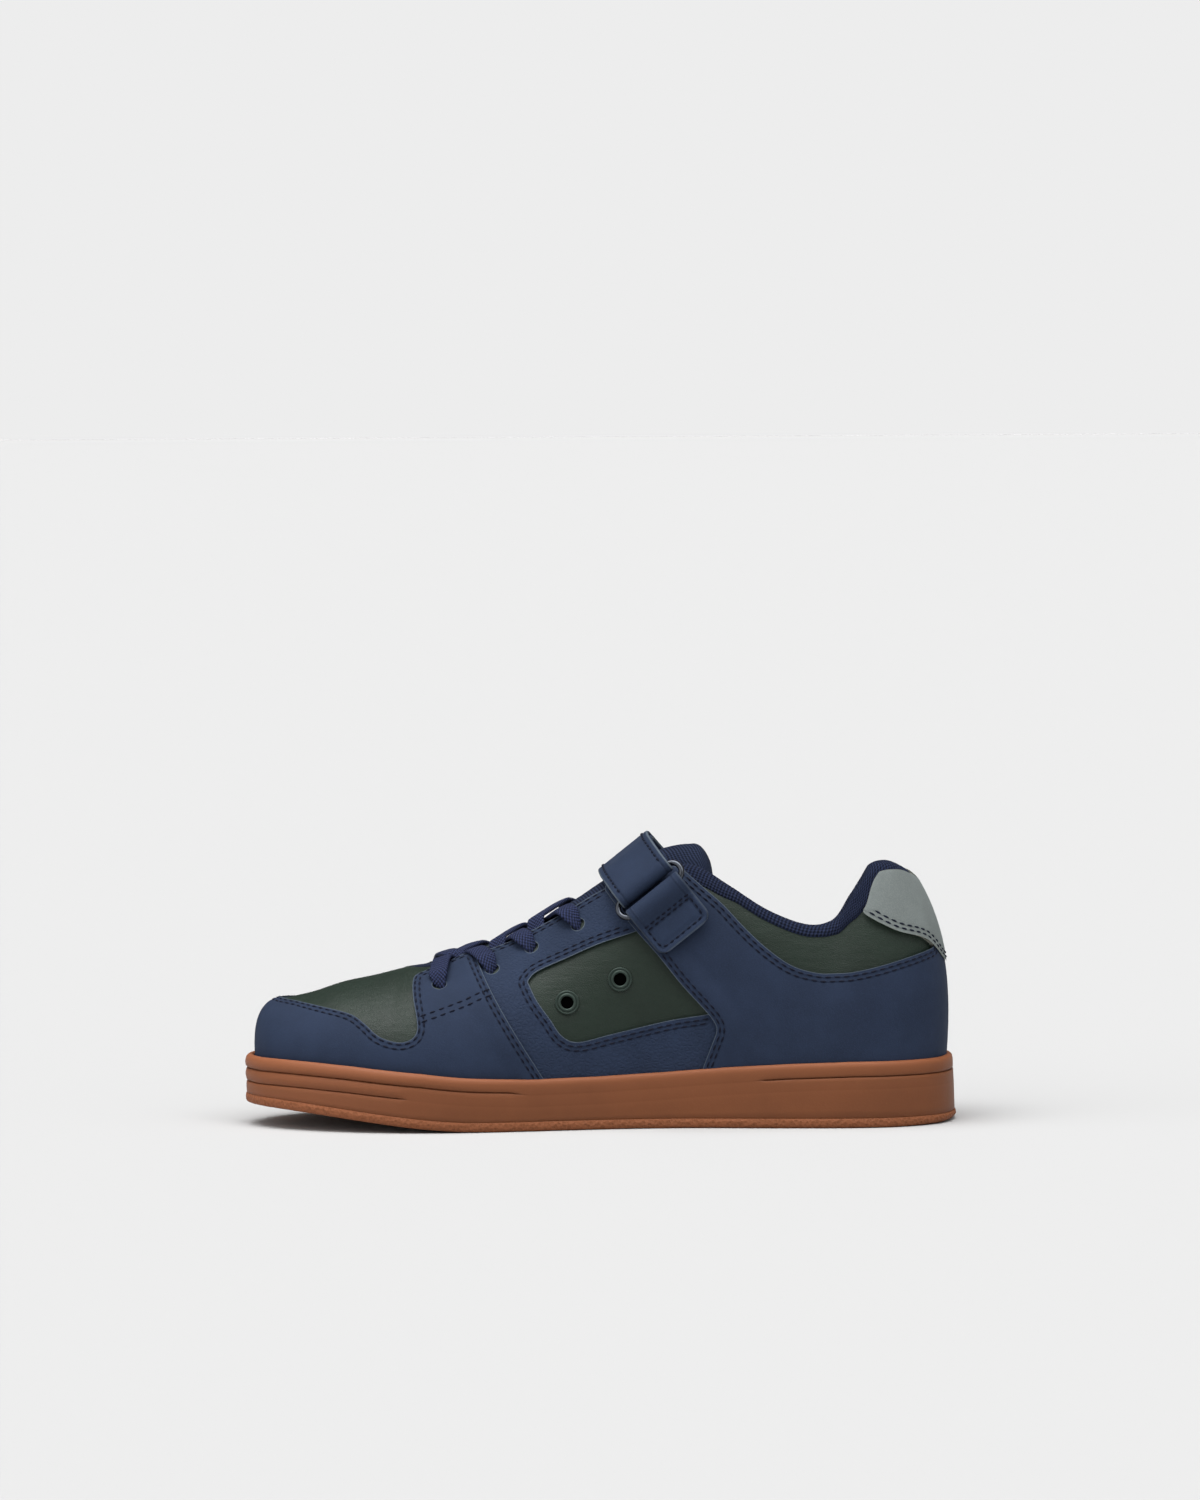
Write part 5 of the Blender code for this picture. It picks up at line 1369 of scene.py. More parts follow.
@dataclass(frozen=True)
class Knit:
    """Ribbed knit mesh: short ribs across the piece's length, with yarn fuzz."""

    name: str
    colour: Colour
    pitch: float = 0.95
    depth: float = 0.30

    def build(self) -> bpy.types.Material:
        """The material."""
        graph = Graph(self.name)
        along, across = graph.chart()
        wobble = graph.noise(420.0, 2.0) * 1.5
        turn = 2 * math.pi / (self.pitch * MM)
        rib = (along * turn + across * (0.35 * turn) + wobble).sine()
        cross = (across * (1.35 * turn) + wobble * 1.2).sine()
        yarn = (rib * 0.6 + cross * 0.4) * 0.5 + 0.5
        fuzz = graph.noise(5200.0, 2.0, 0.7)
        base = graph.mix(yarn.step(0.1, 0.9), deeper(self.colour, 0.30), deeper(self.colour, 1.45))
        base = graph.mix(fuzz.step(0.5, 0.9) * 0.45, base, deeper(self.colour, 2.3))
        graph.bump(yarn * self.depth + fuzz * 0.10, 1.0)
        graph.set(base_color=base, roughness=0.92, specular_level=0.1)
        return graph.material


@dataclass(frozen=True)
class Weave:
    """Flat woven lace: a herringbone of fine yarns, with a plain edge."""

    name: str
    colour: Colour
    width: float = 6.2

    def build(self) -> bpy.types.Material:
        """The material."""
        graph = Graph(self.name)
        along, across = graph.chart()
        turn = 2 * math.pi / (1.25 * MM)
        side = across.size()
        chevron = (along * turn + side * (1.05 * turn)).sine()
        counter = (along * turn - side * (1.05 * turn)).sine()
        cloth = (chevron * 0.62 + counter * 0.38) * 0.5 + 0.5
        fuzz = graph.noise(6000.0, 2.0, 0.7)
        base = graph.mix(cloth.step(0.2, 0.8), deeper(self.colour, 0.35), deeper(self.colour, 1.55))
        base = graph.mix(fuzz.step(0.5, 0.9) * 0.30, base, deeper(self.colour, 2.2))
        graph.bump(cloth * 0.30 + fuzz * 0.05, 1.0)
        graph.set(base_color=base, roughness=0.82, specular_level=0.16)
        return graph.material


@dataclass(frozen=True)
class Plain:
    """Thread, metal, lining and other small finishes: a colour with fine noise and a soft bump."""

    name: str
    colour: Colour
    roughness: float
    metallic: float = 0.0
    scale: float = 2500.0
    bump: float = 0.03
    spread: float = 0.15
    gloss: float = 0.12

    def build(self) -> bpy.types.Material:
        """The material."""
        graph = Graph(self.name)
        fine = graph.noise(self.scale, 3.0, 0.6)
        cloud = graph.noise(self.scale / 12, 3.0)
        base = graph.mix(cloud, deeper(self.colour, 1 - self.spread), deeper(self.colour, 1 + self.spread))
        base = graph.mix(fine.step(0.45, 0.85) * 0.3, base, deeper(self.colour, 1.5))
        graph.bump(fine * self.bump, 1.0)
        graph.set(base_color=base, roughness=self.roughness + 0.1 * (fine - 0.5))
        graph.set(metallic=self.metallic, specular_level=self.gloss)
        return graph.material


NAVY = (0.0162, 0.0258, 0.0522)
NAVY_EDGE = (0.100, 0.125, 0.150)
GREEN = (0.0062, 0.0158, 0.0092)
GREY = (0.152, 0.172, 0.168)
GREY_EDGE = (0.24, 0.24, 0.20)


class Finishes:
    """Every finish of the shoe, made once."""

    def __init__(self) -> None:
        """Builds the materials."""
        self.guard = Nubuck("guard_nubuck", NAVY, NAVY_EDGE).build()
        self.side = Nubuck("side_nubuck", NAVY, NAVY_EDGE, tumbled=0.13).build()
        # The heel quarter's nubuck is the navy made 5% darker: painted shade, as less light falls towards the
        # heel.
        self.quarter = Nubuck("quarter_nubuck", deeper(NAVY, 0.95), NAVY_EDGE).build()
        self.strap = Nubuck("strap_nubuck", NAVY, NAVY_EDGE, rows=(0.0,)).build()
        self.patch = Nubuck("patch_nubuck", NAVY, (0.040, 0.053, 0.075), rows=(0.0,)).build()
        self.tab = Nubuck("tab_nubuck", GREY, GREY_EDGE).build()
        self.green = SmoothLeather("green_leather", GREEN).build()
        self.rubber = GumRubber("gum_rubber", (0.144, 0.0465, 0.0158), (0.240, 0.080, 0.032)).build()
        self.collar = Knit("collar_knit", (0.013, 0.018, 0.040), pitch=1.2, depth=0.36).build()
        self.tongue = Knit("tongue_knit", (0.015, 0.021, 0.043), pitch=1.0, depth=0.18).build()
        self.lace = Weave("lace_weave", (0.016, 0.022, 0.057)).build()
        self.thread = Plain("navy_thread", (0.004, 0.006, 0.016), 0.55, scale=5000.0).build()
        enamel = Plain("dark_enamel", (0.030, 0.046, 0.038), 0.30, metallic=0.6, bump=0.01, gloss=0.5)
        self.enamel = enamel.build()
        self.lining = Plain("lining_fabric", (0.018, 0.023, 0.042), 0.92, scale=1800.0, bump=0.12).build()
        self.dark = Plain("shadow_cloth", (0.001, 0.001, 0.001), 0.95, gloss=0.0).build()
        ring = Plain("ring_enamel", (0.060, 0.066, 0.078), 0.15, metallic=0.95, bump=0.003, gloss=0.5)
        self.ring = ring.build()
        self.sock = Plain("sock_fabric", (0.024, 0.028, 0.042), 0.95, scale=1500.0, bump=0.15).build()


def dress(piece: Piece, material: bpy.types.Material, slot: str, *replaced: str) -> Piece:
    """Gives a piece its finish, its body and the nodes that it stands for. The slot is not used."""
    piece.data.materials.clear()
    piece.data.materials.append(material)
    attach(piece, "root")
    if replaced:
        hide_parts(*replaced)
    LOG.info("%s: %d faces", piece.name, len(piece.data.polygons))
    return piece


# Sub-assemblies


@dataclass
class UpperShell:
    """The leather base, the knit collar roll and the lining."""

    form: Form
    finishes: Finishes
    knit_proud: float = 0.9 * MM
    inside_knit: float = 17 * MM
    # How far down the outer face the knit comes, in millimetres, by share of the length
    KNIT_WIDTHS = (
        (0.06, 3.0), (0.10, 6.0), (0.125, 9.0), (0.142, 7.4), (0.159, 4.2), (0.176, 1.9), (0.195, 0.8),
        (0.26, 0.9), (0.31, 1.5), (0.335, 3.2), (0.36, 4.2), (0.42, 4.5),
    )

    def build(self) -> None:
        """Makes the three pieces."""
        self._leather()
        self._lining()
        self._collar()

    def _arc(self, columns: Array, steps: int) -> Array:
        """The rolled edge between the outer and inner faces, [column][step]."""
        middle, across, up = self.form.rim(columns)
        radius = np.linalg.norm(across, axis=1, keepdims=True)
        turns = math.pi * np.arange(steps + 1) / steps
        return np.stack([middle + across * math.cos(t) + up * radius * math.sin(t) for t in turns], 1)

    def _leather(self) -> None:
        """The leather base, over the top of the vamp and under every panel."""
        form = self.form
        count, rows = form.points.shape[:2]
        values = np.concatenate([form.points.reshape(-1, 3), np.ones((count * rows, 4))], axis=1)
        values, faces = GridClipper(values, count, rows, level=0.0).clip()
        piece = mesh_piece("green_base", values[:, :3], faces, 60.0)
        dress(piece, self.finishes.green, "green_leather", "upper")

    def _lining(self) -> None:
        """The inner face of the wall and the rolled throat edge."""
        form = self.form
        inner = form.points - form.normals * form.wall_thickness()[..., None]
        faces = [face[::-1] for face in grid_faces(*inner.shape[:2], closed=True)]
        first = form.column_of("vamp_point")
        columns = np.arange(-first, first + 1) % form.count
        arc = self._arc(columns, 8)
        total = inner.size // 3
        faces += [tuple(total + i for i in face) for face in grid_faces(len(columns), 9)]
        piece = mesh_piece("lining", np.concatenate([inner.reshape(-1, 3), arc.reshape(-1, 3)]), faces, 60.0)
        dress(piece, self.finishes.lining, "sock_fabric")
    def _collar(self) -> None:
        """The knit roll over the collar's edge, from below the seam outside to well down inside."""
        form = self.form
        last = form.column_of("instep_top") - form.fine // 2
        columns = np.arange(-last, last + 1) % form.count
        arc = self._arc(columns, 14)
        thickness = form.wall_thickness()
        points, charts = [], []
        along = run_of(form.points[columns, -1])
        fade = np.minimum(np.arange(len(columns)), np.arange(len(columns))[::-1]) / form.fine
        for k, column in enumerate(columns):
            outer = form.points[column, ::-1]
            inner = form.points[column] - form.normals[column] * thickness[column][:, None]
            width = float(np.interp(form.share(form.points[column, -1, 0]), *zip(*self.KNIT_WIDTHS))) * MM
            outer_down = self._along(outer, width, 10)[::-1]
            inner_down = self._along(inner[::-1], self.inside_knit, 22)
            path = np.concatenate([outer_down[:-1], arc[k], inner_down[1:]])
            flank = unit(np.cross([*form.outward[column], 0.0], [0.0, 0.0, 1.0]))
            out = unit(np.cross(unit(np.gradient(path, axis=0)), flank))
            if out[0] @ form.normals[column, -1] < 0:
                out = -out
            place = run_of(path)
            puff = self.knit_proud * smooth_step(0.0, 2.4 * MM, place) ** 0.6
            puff = puff * smooth_step(0.0, 3.5 * MM, place[-1] - place) + 0.25 * MM
            puff[[0, -1]] = -0.5 * MM
            puff[1] = min(puff[1], 0.25 * MM)
            puff = puff * (0.35 + 0.65 * min(1.0, fade[k] / 2))
            puff = puff * (1 - 0.75 * np.clip(out[:, 2], 0.0, 1.0) ** 2)
            points.append(path + out * puff[:, None])
            charts.append(np.stack([np.full(len(path), along[k]), place], 1))
        faces = grid_faces(len(columns), len(points[0]))
        piece = mesh_piece("collar_roll", np.concatenate(points), faces, 70.0, chart=np.concatenate(charts))
        dress(piece, self.finishes.collar, "navy_knit")

    @staticmethod
    def _along(line: Array, length: float, count: int) -> Array:
        """The first part of a line, as count equal steps."""
        return read_at(np.linspace(0.0, length, count + 1), run_of(line), line)


@dataclass
class Overlays:
    """The leather panels over the base, with their threads."""

    form: Form
    guide: FormGuide
    finishes: Finishes
    above: float = 0.2
    beyond: float = 0.3

    def build(self) -> None:
        """Cuts, dresses and stitches every panel."""
        stitcher = Stitcher()
        threads: List[Pair] = []
        for panel, material in self._panels():
            cutter = PanelCutter(self.form, panel)
            dress(cutter.cut(), material, panel.slot, *panel.replaced)
            threads += cutter.stitch_lines()
        for side in (Side.MEDIAL, Side.LATERAL):
            threads += self._foot_rows(side)
        dress(stitcher.lay("panel_threads", threads), self.finishes.thread, "navy_nubuck")

    def _foot_rows(self, side: Side) -> List[Pair]:
        """The double row that parts the front eyestay from the guard."""
        line = resample(smooth_line(self.form.side_points(EYESTAY_FOOT), 6), 0.8 * MM)
        across = unit(np.stack([-np.gradient(line[:, 1]), np.gradient(line[:, 0])], 1))
        rear = resample(smooth_line(self.form.side_points(GUARD_REAR), 8), 0.8 * MM)
        rows = []
        for shift in (-0.85 * MM, 0.85 * MM):
            places = (line + across * shift)[3:]
            far = np.linalg.norm(places[:, None] - rear[None], axis=2).min(1)
            lift = 1.25 * MM + PanelCutter.underlap(far)
            spots = [self.guide.at(x, z, side) for x, z in places]
            points = np.array([p + n * high for (p, n), high in zip(spots, lift)])
            rows.append((points, np.array([n for _, n in spots])))
        return rows

    def _bores(self, side: Side, numbers: Iterable[int]) -> List[Tuple[Array, float]]:
        """Lace holes of one side."""
        places = self.form.side_points(LACE_HOLES)
        return [(self.guide.at(*places[k], side)[0], 1.9 * MM) for k in numbers]

    def _panels(self) -> Iterable[Tuple[Panel, bpy.types.Material]]:
        """Every panel with its finish."""
        form, above, beyond = self.form, self.above, self.beyond
        guard_top = smooth_line(form.side_points(GUARD_TOP), 8)
        guard_rear = smooth_line(form.side_points(GUARD_REAR), 8)
        front = smooth_line(form.side_points(QUARTER_FRONT), 8)
        quarter_top = smooth_line(form.side_points(QUARTER_TOP), 8)
        tab = smooth_line(form.side_points(TAB_EDGE), 8)
        window_points = form.side_points(WINDOW)
        window = smooth_line(np.vstack([window_points, window_points[:1]]), 6)
        below = -0.02
        rows = (1.5 * MM, 1.5 * MM + ROW_PITCH)
        close_rows = (1.1 * MM, 1.1 * MM + ROW_PITCH)
        guard = np.array(
            [(-beyond, guard_top[0][1]), *guard_top, (guard_top[-1][0], above), (guard_rear[0][0], above)]
            + [*guard_rear, (guard_rear[-1][0], below), (-beyond, below)]
        )
        start = np.array([(-beyond, guard_top[0][1]), tuple(guard_top[0])])
        yield Panel(
            "toe_guard_panel",
            guard,
            [
                Seam("top", guard_top, close_rows),
                Seam("start", start, close_rows),
                Seam("rear", guard_rear, rows),
            ],
            Side.BOTH,
            rim=True,
            rim_rows=close_rows,
            replaced=("toe_guard", "eyestay_front_medial", "eyestay_front_lateral"),
            bores=self._bores(Side.MEDIAL, [0]) + self._bores(Side.LATERAL, [0]),
            over=[guard_rear],
        ), self.finishes.guard
        for side, ending in ((Side.MEDIAL, "medial"), (Side.LATERAL, "lateral")):
            tuck = 2.2 * MM
            panel = np.array(
                [
                    (guard_rear[0][0] - tuck, above),
                    *(guard_rear - [tuck, 0.0]),
                    (guard_rear[-1][0] - tuck, below),
                ]
                + [(front[-1][0] + tuck, below), *(front[::-1] + [tuck, 0.0]), (front[0][0] + tuck, above)]
            )
            yield Panel(
                f"side_panel_{ending}_piece",
                panel,
                [
                    Seam("window", window, (1.8 * MM, 1.8 * MM + ROW_PITCH)),
                    Seam("front", guard_rear - [tuck, 0.0]),
                    Seam("rear", front + [tuck, 0.0]),
                ],
                side,
                rim=True,
                rim_rows=close_rows,
                hole=window,
                thickness=1.1 * MM,
                replaced=(f"side_panel_{ending}",),
                bores=self._bores(side, [1, 2, 3]),
            ), self.finishes.side
        low_tab = [tuple(p) for p in tab if p[1] < quarter_top[-2][1] + 1 * MM]
        low_tab = [(x + 1.6 * MM, z + 1.6 * MM) for x, z in low_tab]
        quarter = np.array(
            [(front[0][0], above), *front, (front[-1][0], below), (beyond, below), (beyond, low_tab[-1][1])]
            + low_tab[::-1]
            + [tuple(p) for p in quarter_top[::-1] if p[0] < low_tab[0][0] - 0.5 * MM]
            + [(quarter_top[0][0], above)]
        )
        yield Panel(
            "heel_quarter_panel",
            quarter,
            [Seam("front", front, rows), Seam("top", quarter_top, rows), Seam("tab", np.array(low_tab))],
            Side.BOTH,
            rim=True,
            replaced=("heel_quarter",),
            over=[front],
        ), self.finishes.quarter
        lower_tab = tab + [0.0, 0.3 * MM]
        heel_tab = np.array(
            [(lower_tab[0][0], above), *lower_tab, (beyond, lower_tab[-1][1]), (beyond, above)]
        )
        tail = np.array([tuple(lower_tab[-1]), (beyond, lower_tab[-1][1])])
        bottom = lower_tab[20:]
        tab_rows = (1.8 * MM, 1.8 * MM + ROW_PITCH)
        yield Panel(
            "heel_tab_panel",
            heel_tab,
            [Seam("bottom", bottom, tab_rows), Seam("tail", tail, tab_rows), Seam("front", lower_tab[:20])],
            Side.BOTH,
            rim=True,
            thickness=1.8 * MM,
            replaced=("heel_tab",),
            slot="grey_nubuck",
        ), self.finishes.tab


@dataclass
class Vents:
    """The two vent eyelets of the medial side."""

    guide: FormGuide
    form: Form
    finishes: Finishes

    # Turned profile: radius and height over the face, in millimetres
    PROFILE = (
        (1.95, -2.2), (1.95, 0.45), (2.05, 0.76), (2.30, 0.95), (2.62, 0.95), (2.85, 0.76), (2.93, 0.42),
        (3.15, 0.38), (3.28, 0.58), (3.48, 0.66), (3.68, 0.58), (3.80, 0.36), (3.82, -0.50), (2.60, -0.50),
        (2.60, -2.2),
    )

    def build(self) -> None:
        """Turns both eyelets."""
        around = 3 * MM
        turns = [2 * math.pi * step / 12 for step in range(12)]
        for number, (x, z) in enumerate(self.form.side_points(VENTS), 1):
            spot, _ = self.guide.at(x, z, Side.MEDIAL)
            places = [(x + around * math.cos(t), z + around * math.sin(t)) for t in turns]
            normal = unit(np.sum([self.guide.at(*place, Side.MEDIAL)[1] for place in places], axis=0))
            self._ring(number, spot, normal)
            self._shade_disc(number, spot, normal)

    def _ring(self, number: int, spot: Array, normal: Array) -> None:
        """The pressed ring, drawn out of a circle step by step."""
        deselect()
        radius, height = self.PROFILE[0]
        bpy.ops.mesh.primitive_circle_add(vertices=48, radius=radius * MM, location=(0, 0, height * MM))
        ring = new_piece(f"vent_ring_{number}")
        bpy.ops.object.transform_apply(location=True, rotation=True, scale=True)
        bpy.ops.object.mode_set(mode="EDIT")
        bpy.ops.mesh.select_all(action="SELECT")
        for (radius, height), (wider, higher) in zip(self.PROFILE, self.PROFILE[1:]):
            bpy.ops.mesh.extrude_edges_move(TRANSFORM_OT_translate={"value": (0, 0, (higher - height) * MM)})
            bpy.ops.transform.resize(value=(wider / radius, wider / radius, 1.0), center_override=(0, 0, 0))
        face_out(ring)
        stand(ring, spot, normal)
        ring.data.shade_smooth()
        dress(ring, self.finishes.enamel, "dark_enamel", f"vent_eyelet_{number}")

    def _shade_disc(self, number: int, spot: Array, normal: Array) -> None:
        """The dark bottom of the hole: a near-black disc of painted shade over the lining seen through it."""
        deselect()
        bpy.ops.mesh.primitive_circle_add(vertices=24, radius=2.0 * MM, fill_type="NGON", location=(0, 0, 0))
        well = new_piece(f"vent_shade_disc_{number}")
        stand(well, spot + normal * 0.05 * MM, normal)
        dress(well, self.finishes.dark, "sock_fabric")


@dataclass
class Sole:
    """The gum cupsole: beads, grooves, tapered side and tread."""

    form: Form
    finishes: Finishes

    # Rows of the side, in millimetres: how far down from the top line, how far in, how deep the upper and the
    # lower groove are, shares of the swelling and of its lower part, and how much paler the row is painted: a
    # painted highlight, strongest on the top bead and fading down the wall, with none in the grooves, which
    # leaves painted shade there
    SIDE_ROWS = (
        (0.55, 2.20, 0.0, 0.0, 0.0, 0.0, 0.60), (0.15, 1.95, 0.0, 0.0, 0.0, 0.0, 0.90),
        (0.00, 1.45, 0.0, 0.0, 0.0, 0.0, 1.00), (0.02, 0.90, 0.0, 0.0, 0.0, 0.0, 1.00),
        (0.30, 0.42, 0.0, 0.0, 0.0, 0.0, 1.00), (0.85, 0.12, 0.0, 0.0, 0.3, 0.0, 0.80),
        (1.70, 0.00, 0.0, 0.0, 0.7, 0.0, 0.45), (2.60, 0.00, 0.0, 0.0, 1.0, 0.0, 0.25),
        (3.60, 0.00, 0.0, 0.0, 0.6, 0.0, 0.12), (4.25, 0.00, 0.05, 0.0, 0.0, 0.0, 0.10),
        (4.44, 0.00, 0.209, 0.0, 0.0, 0.0, 0.0), (4.54, 0.00, 0.95, 0.0, 0.0, 0.0, 0.0),
        (4.72, 0.00, 0.95, 0.0, 0.0, 0.0, 0.0), (4.84, 0.00, 0.19, 0.0, 0.0, 0.0, 0.0),
        (5.05, 0.00, 0.04, 0.0, 0.0, 0.0, 0.20), (5.90, 0.00, 0.0, 0.0, 0.0, 0.75, 0.15),
        (6.70, 0.00, 0.0, 0.0, 0.0, 0.75, 0.10), (7.92, 0.00, 0.0, 0.05, 0.0, 0.0, 0.05),
        (8.10, 0.00, 0.0, 0.209, 0.0, 0.0, 0.0), (8.20, 0.00, 0.0, 0.95, 0.0, 0.0, 0.0),
        (8.38, 0.00, 0.0, 0.95, 0.0, 0.0, 0.0), (8.50, 0.00, 0.0, 0.19, 0.0, 0.0, 0.0),
        (8.72, 0.00, 0.0, 0.04, 0.0, 0.0, 0.15), (9.80, 0.00, 0.0, 0.0, 0.0, 0.0, 0.05),
    )
    LANES = (0.0, 0.02, 0.26, 0.5, 0.74, 0.98, 1.0)
    # Rings of the footbed, in millimetres: further in than the upper's lining, and up from the cup's floor
    FOOTBED = (
        (0.2, 0.0), (0.0, 0.8), (0.0, 3.6), (0.35, 4.15), (0.9, 4.2), (2.2, 3.6), (4.0, 3.1), (6.5, 3.0),
    )
    tread: float = 3.0 * MM

    def _profile(self, x: Array) -> List[Tuple[Array, Array, float, float]]:
        """Rows of the side: inset, height, paleness and roughness for each column. The paleness is painted
        highlight and shade on the wall, and the paler rubber of the tread band.
        """
        form, tread = self.form, self.tread
        bottom, top = form.ground_rise(x), form.sole_top(x)
        share = form.share(x)
        toe = smooth_step(0.610, 0.626, share)
        toe_low = smooth_step(0.768, 0.784, share)
        upper = np.maximum(toe, 1 - smooth_step(0.266, 0.282, share))
        flare = 0.9 * MM * (1 - smooth_step(0.55, 0.75, share))
        heel_round = 1.2 * MM * np.clip(1 - share / 0.08, 0.0, 1.0)
        bulge = 0.35 * MM * smooth_step(0.60, 0.80, share)
        raised = 0.45 * MM * toe
        height = top - bottom

        def lean(down: Array) -> Array:
            """The side's taper: further in towards the top."""
            return flare * np.clip(1 - down / height, 0.0, 1.0)

        zero = np.zeros_like(x)
        rows = [(zero + form.sizes.sole_lip, top - form.sizes.cup_depth, 0.5, 0.0)]
        for down, inset, high_cut, low_cut, swell, low_swell, pale_and_painted_light in self.SIDE_ROWS:
            deep = down * MM - (raised if high_cut else zero)
            cut = (inset + high_cut * upper + low_cut * toe_low) * MM
            out = bulge * (swell + low_swell * toe_low)
            rows.append((cut - out + lean(deep), top - deep, pale_and_painted_light, 0.0))
        lowest = top - self.SIDE_ROWS[-1][0] * MM
        for part in (0.35, 0.7, 1.0):
            z = lowest * (1 - part) + (bottom + tread + 0.35 * MM) * part
            rows.append((0.1 * MM * part + lean(top - z), z, 0.0, 0.0))
        band = lean(height - tread)
        rows.append((0.30 * MM + band, bottom + tread + 0.12 * MM, 0.0, 0.2))
        rows.append((-0.10 * MM + band, bottom + tread - 0.15 * MM, 0.30, 1.0))
        rows.append((zero - 0.22 * MM, bottom + 0.6 * tread, 0.25, 1.0))
        rounded = np.maximum(bottom + 0.9 * MM, bottom + heel_round + 0.5 * MM)
        rows.append((zero - 0.16 * MM, rounded, 0.3, 1.0))
        rows.append((zero + 0.15 * MM, bottom + 0.35 * MM + heel_round * 0.7, 0.4, 1.0))
        rows.append((zero + 0.9 * MM, bottom + 0.05 * MM + heel_round * 0.45, 0.3, 1.0))
        rows.append((zero + 2.2 * MM, bottom, 0.1, 1.0))
        return rows

    def build(self) -> None:
        """Makes the sole and the footbed."""
        form = self.form
        x = form.outline[:, 0]
        profile = self._profile(x)

        def floor(place: float, _: float = 0.0) -> float:
            """The height of the cup's floor."""
            return form.sole_top(place) - form.sizes.cup_depth

        def underside(place: float, middle: float) -> float:
            """The height of the tread between its rims."""
            return float(form.ground_rise(place)) + self._groove(middle)

        rings = [self._ring(9 * MM, floor), self._ring(6.5 * MM, floor)]
        rings += [np.column_stack([self._plan(inset), z]) for inset, z, _, _ in profile]
        rings += [self._ring(5 * MM, form.ground_rise), self._ring(9 * MM, form.ground_rise)]
        grid = np.stack(rings, 1)
        count, rows = grid.shape[:2]
        # Painted light: the toe is painted paler, where more light falls on it.
        painted_toe_light = 0.45 * smooth_step(0.62, 0.90, form.share(x))[:, None]
        pale_and_painted_light = [0.3, 0.3, *(row[2] for row in profile), 0.1, 0.1]
        pale_and_painted_light = list(np.clip(np.tile(pale_and_painted_light, (count, 1)) + painted_toe_light, 0.0, 1.0).ravel())
        rough = list(np.tile([0.0, 0.0, *(row[3] for row in profile), 1.0, 1.0], count))
        points = list(grid.reshape(-1, 3))
        faces = [face[::-1] for face in grid_faces(count, rows, closed=True)]
        faces += form.cap(points, grid, 0, self.LANES, floor)
        rough += [0.0] * (len(points) - len(rough))
        faces += [face[::-1] for face in form.cap(points, grid, rows - 1, self.LANES, underside)]
        rough += [1.0] * (len(points) - len(rough))
        pale_and_painted_light += [0.1] * (len(points) - len(pale_and_painted_light))
        fields = {"band": np.array(pale_and_painted_light), "tread": np.array(rough)}
        piece = mesh_piece("gum_sole", np.array(points), faces, 75.0, fields=fields)
        face_out(piece, weld=1e-6)
        dress(piece, self.finishes.rubber, "gum_rubber", "outsole")
        self._footbed()

    def _plan(self, inset: Array) -> Array:
        """The sole's outline in plan, moved in."""
        return self.form.outline - self.form.outward * np.reshape(inset, (-1, 1))

    def _ring(self, inset: float, height: Callable[[Array], Array]) -> Array:
        """The outline moved in, at a height that depends on x."""
        plan = self._plan(inset)
        return np.column_stack([plan, height(plan[:, 0])])

    def _groove(self, x: float) -> float:
        """How deep the tread's cross grooves, under heel and forefoot, are at a place along the sole."""
        share = float(self.form.share(x))
        worn = 0.07 < share < 0.33 or 0.55 < share < 0.93
        return 1.4 * MM if worn and x % (9 * MM) < 3.1 * MM else 0.0

    def _footbed(self) -> None:
        """The cushion sheet on the cup's floor, dished up at its edge."""
        form, sizes = self.form, self.form.sizes
        inset = sizes.upper_inset + sizes.wall + 2 * sizes.gap
        lift = sizes.gap - sizes.cup_depth
        rings = [
            self._ring(inset + extra * MM, lambda x, up=up: form.sole_top(x) + lift + up * MM)
            for extra, up in self.FOOTBED
        ]
        grid = np.stack(rings, 1)
        points = list(grid.reshape(-1, 3))
        faces = grid_faces(*grid.shape[:2], closed=True)
        faces += form.cap(points, grid, grid.shape[1] - 1, np.linspace(0.0, 1.0, 7))
        piece = mesh_piece("footbed", np.array(points), faces, 60.0)
        dress(piece, self.finishes.sock, "sock_fabric", "insole")


# Tongue, strap and laces


class Course:
    """The upright plane that a band runs in: where it starts, and its run, width and up directions."""

    MARGIN = 1.5 * MM

    def __init__(self, origin: Sequence[float], *ways: Sequence[float]) -> None:
        """Takes the plane's origin, and its run, width and up directions."""
        self.origin, self.run, self.wide, self.up = (np.array(part, float) for part in (origin, *ways))

    def flat(self, points: Array) -> Array:
        """Coordinates along run, wide and up."""
        local = points - self.origin
        return np.stack([local @ self.run, local @ self.wide, local @ self.up], 1)

    def tight_line(
        self, cloud: Array, width: float, start: Optional[float] = None, end: Optional[float] = None
    ) -> Array:
        """The (run, up) line of a tight band over the points that its width covers."""
        flat = self.flat(cloud)
        near = flat[np.abs(flat[:, 1]) < width / 2 + self.MARGIN][:, [0, 2]]
        if start is not None:
            near = near[(near[:, 0] > start - self.MARGIN) & (near[:, 0] < end + self.MARGIN)]
            near[:, 0] = np.clip(near[:, 0], start, end)
            for place in (start, end):
                top = near[np.abs(near[:, 0] - place) < self.MARGIN][:, 1].max(initial=near[:, 1].min())
                near = np.vstack([near[near[:, 0] != place], [place, top]])
        return self._hull(near)

    @staticmethod
    def _hull(points: Array) -> Array:
        """The upper convex hull of 2-D points, from left to right."""
        hull: List[Tuple[float, float]] = []
        for point in sorted(map(tuple, points)):
            while len(hull) > 1:
                (ax, ay), (bx, by) = hull[-2], hull[-1]
                if (bx - ax) * (point[1] - ay) - (by - ay) * (point[0] - ax) < 0:
                    break
                hull.pop()
            hull.append(point)
        return np.array(hull)

    def place(self, line: Array) -> Array:
        """A (run, up) line in space."""
        return self.origin + np.outer(line[:, 0], self.run) + np.outer(line[:, 1], self.up)


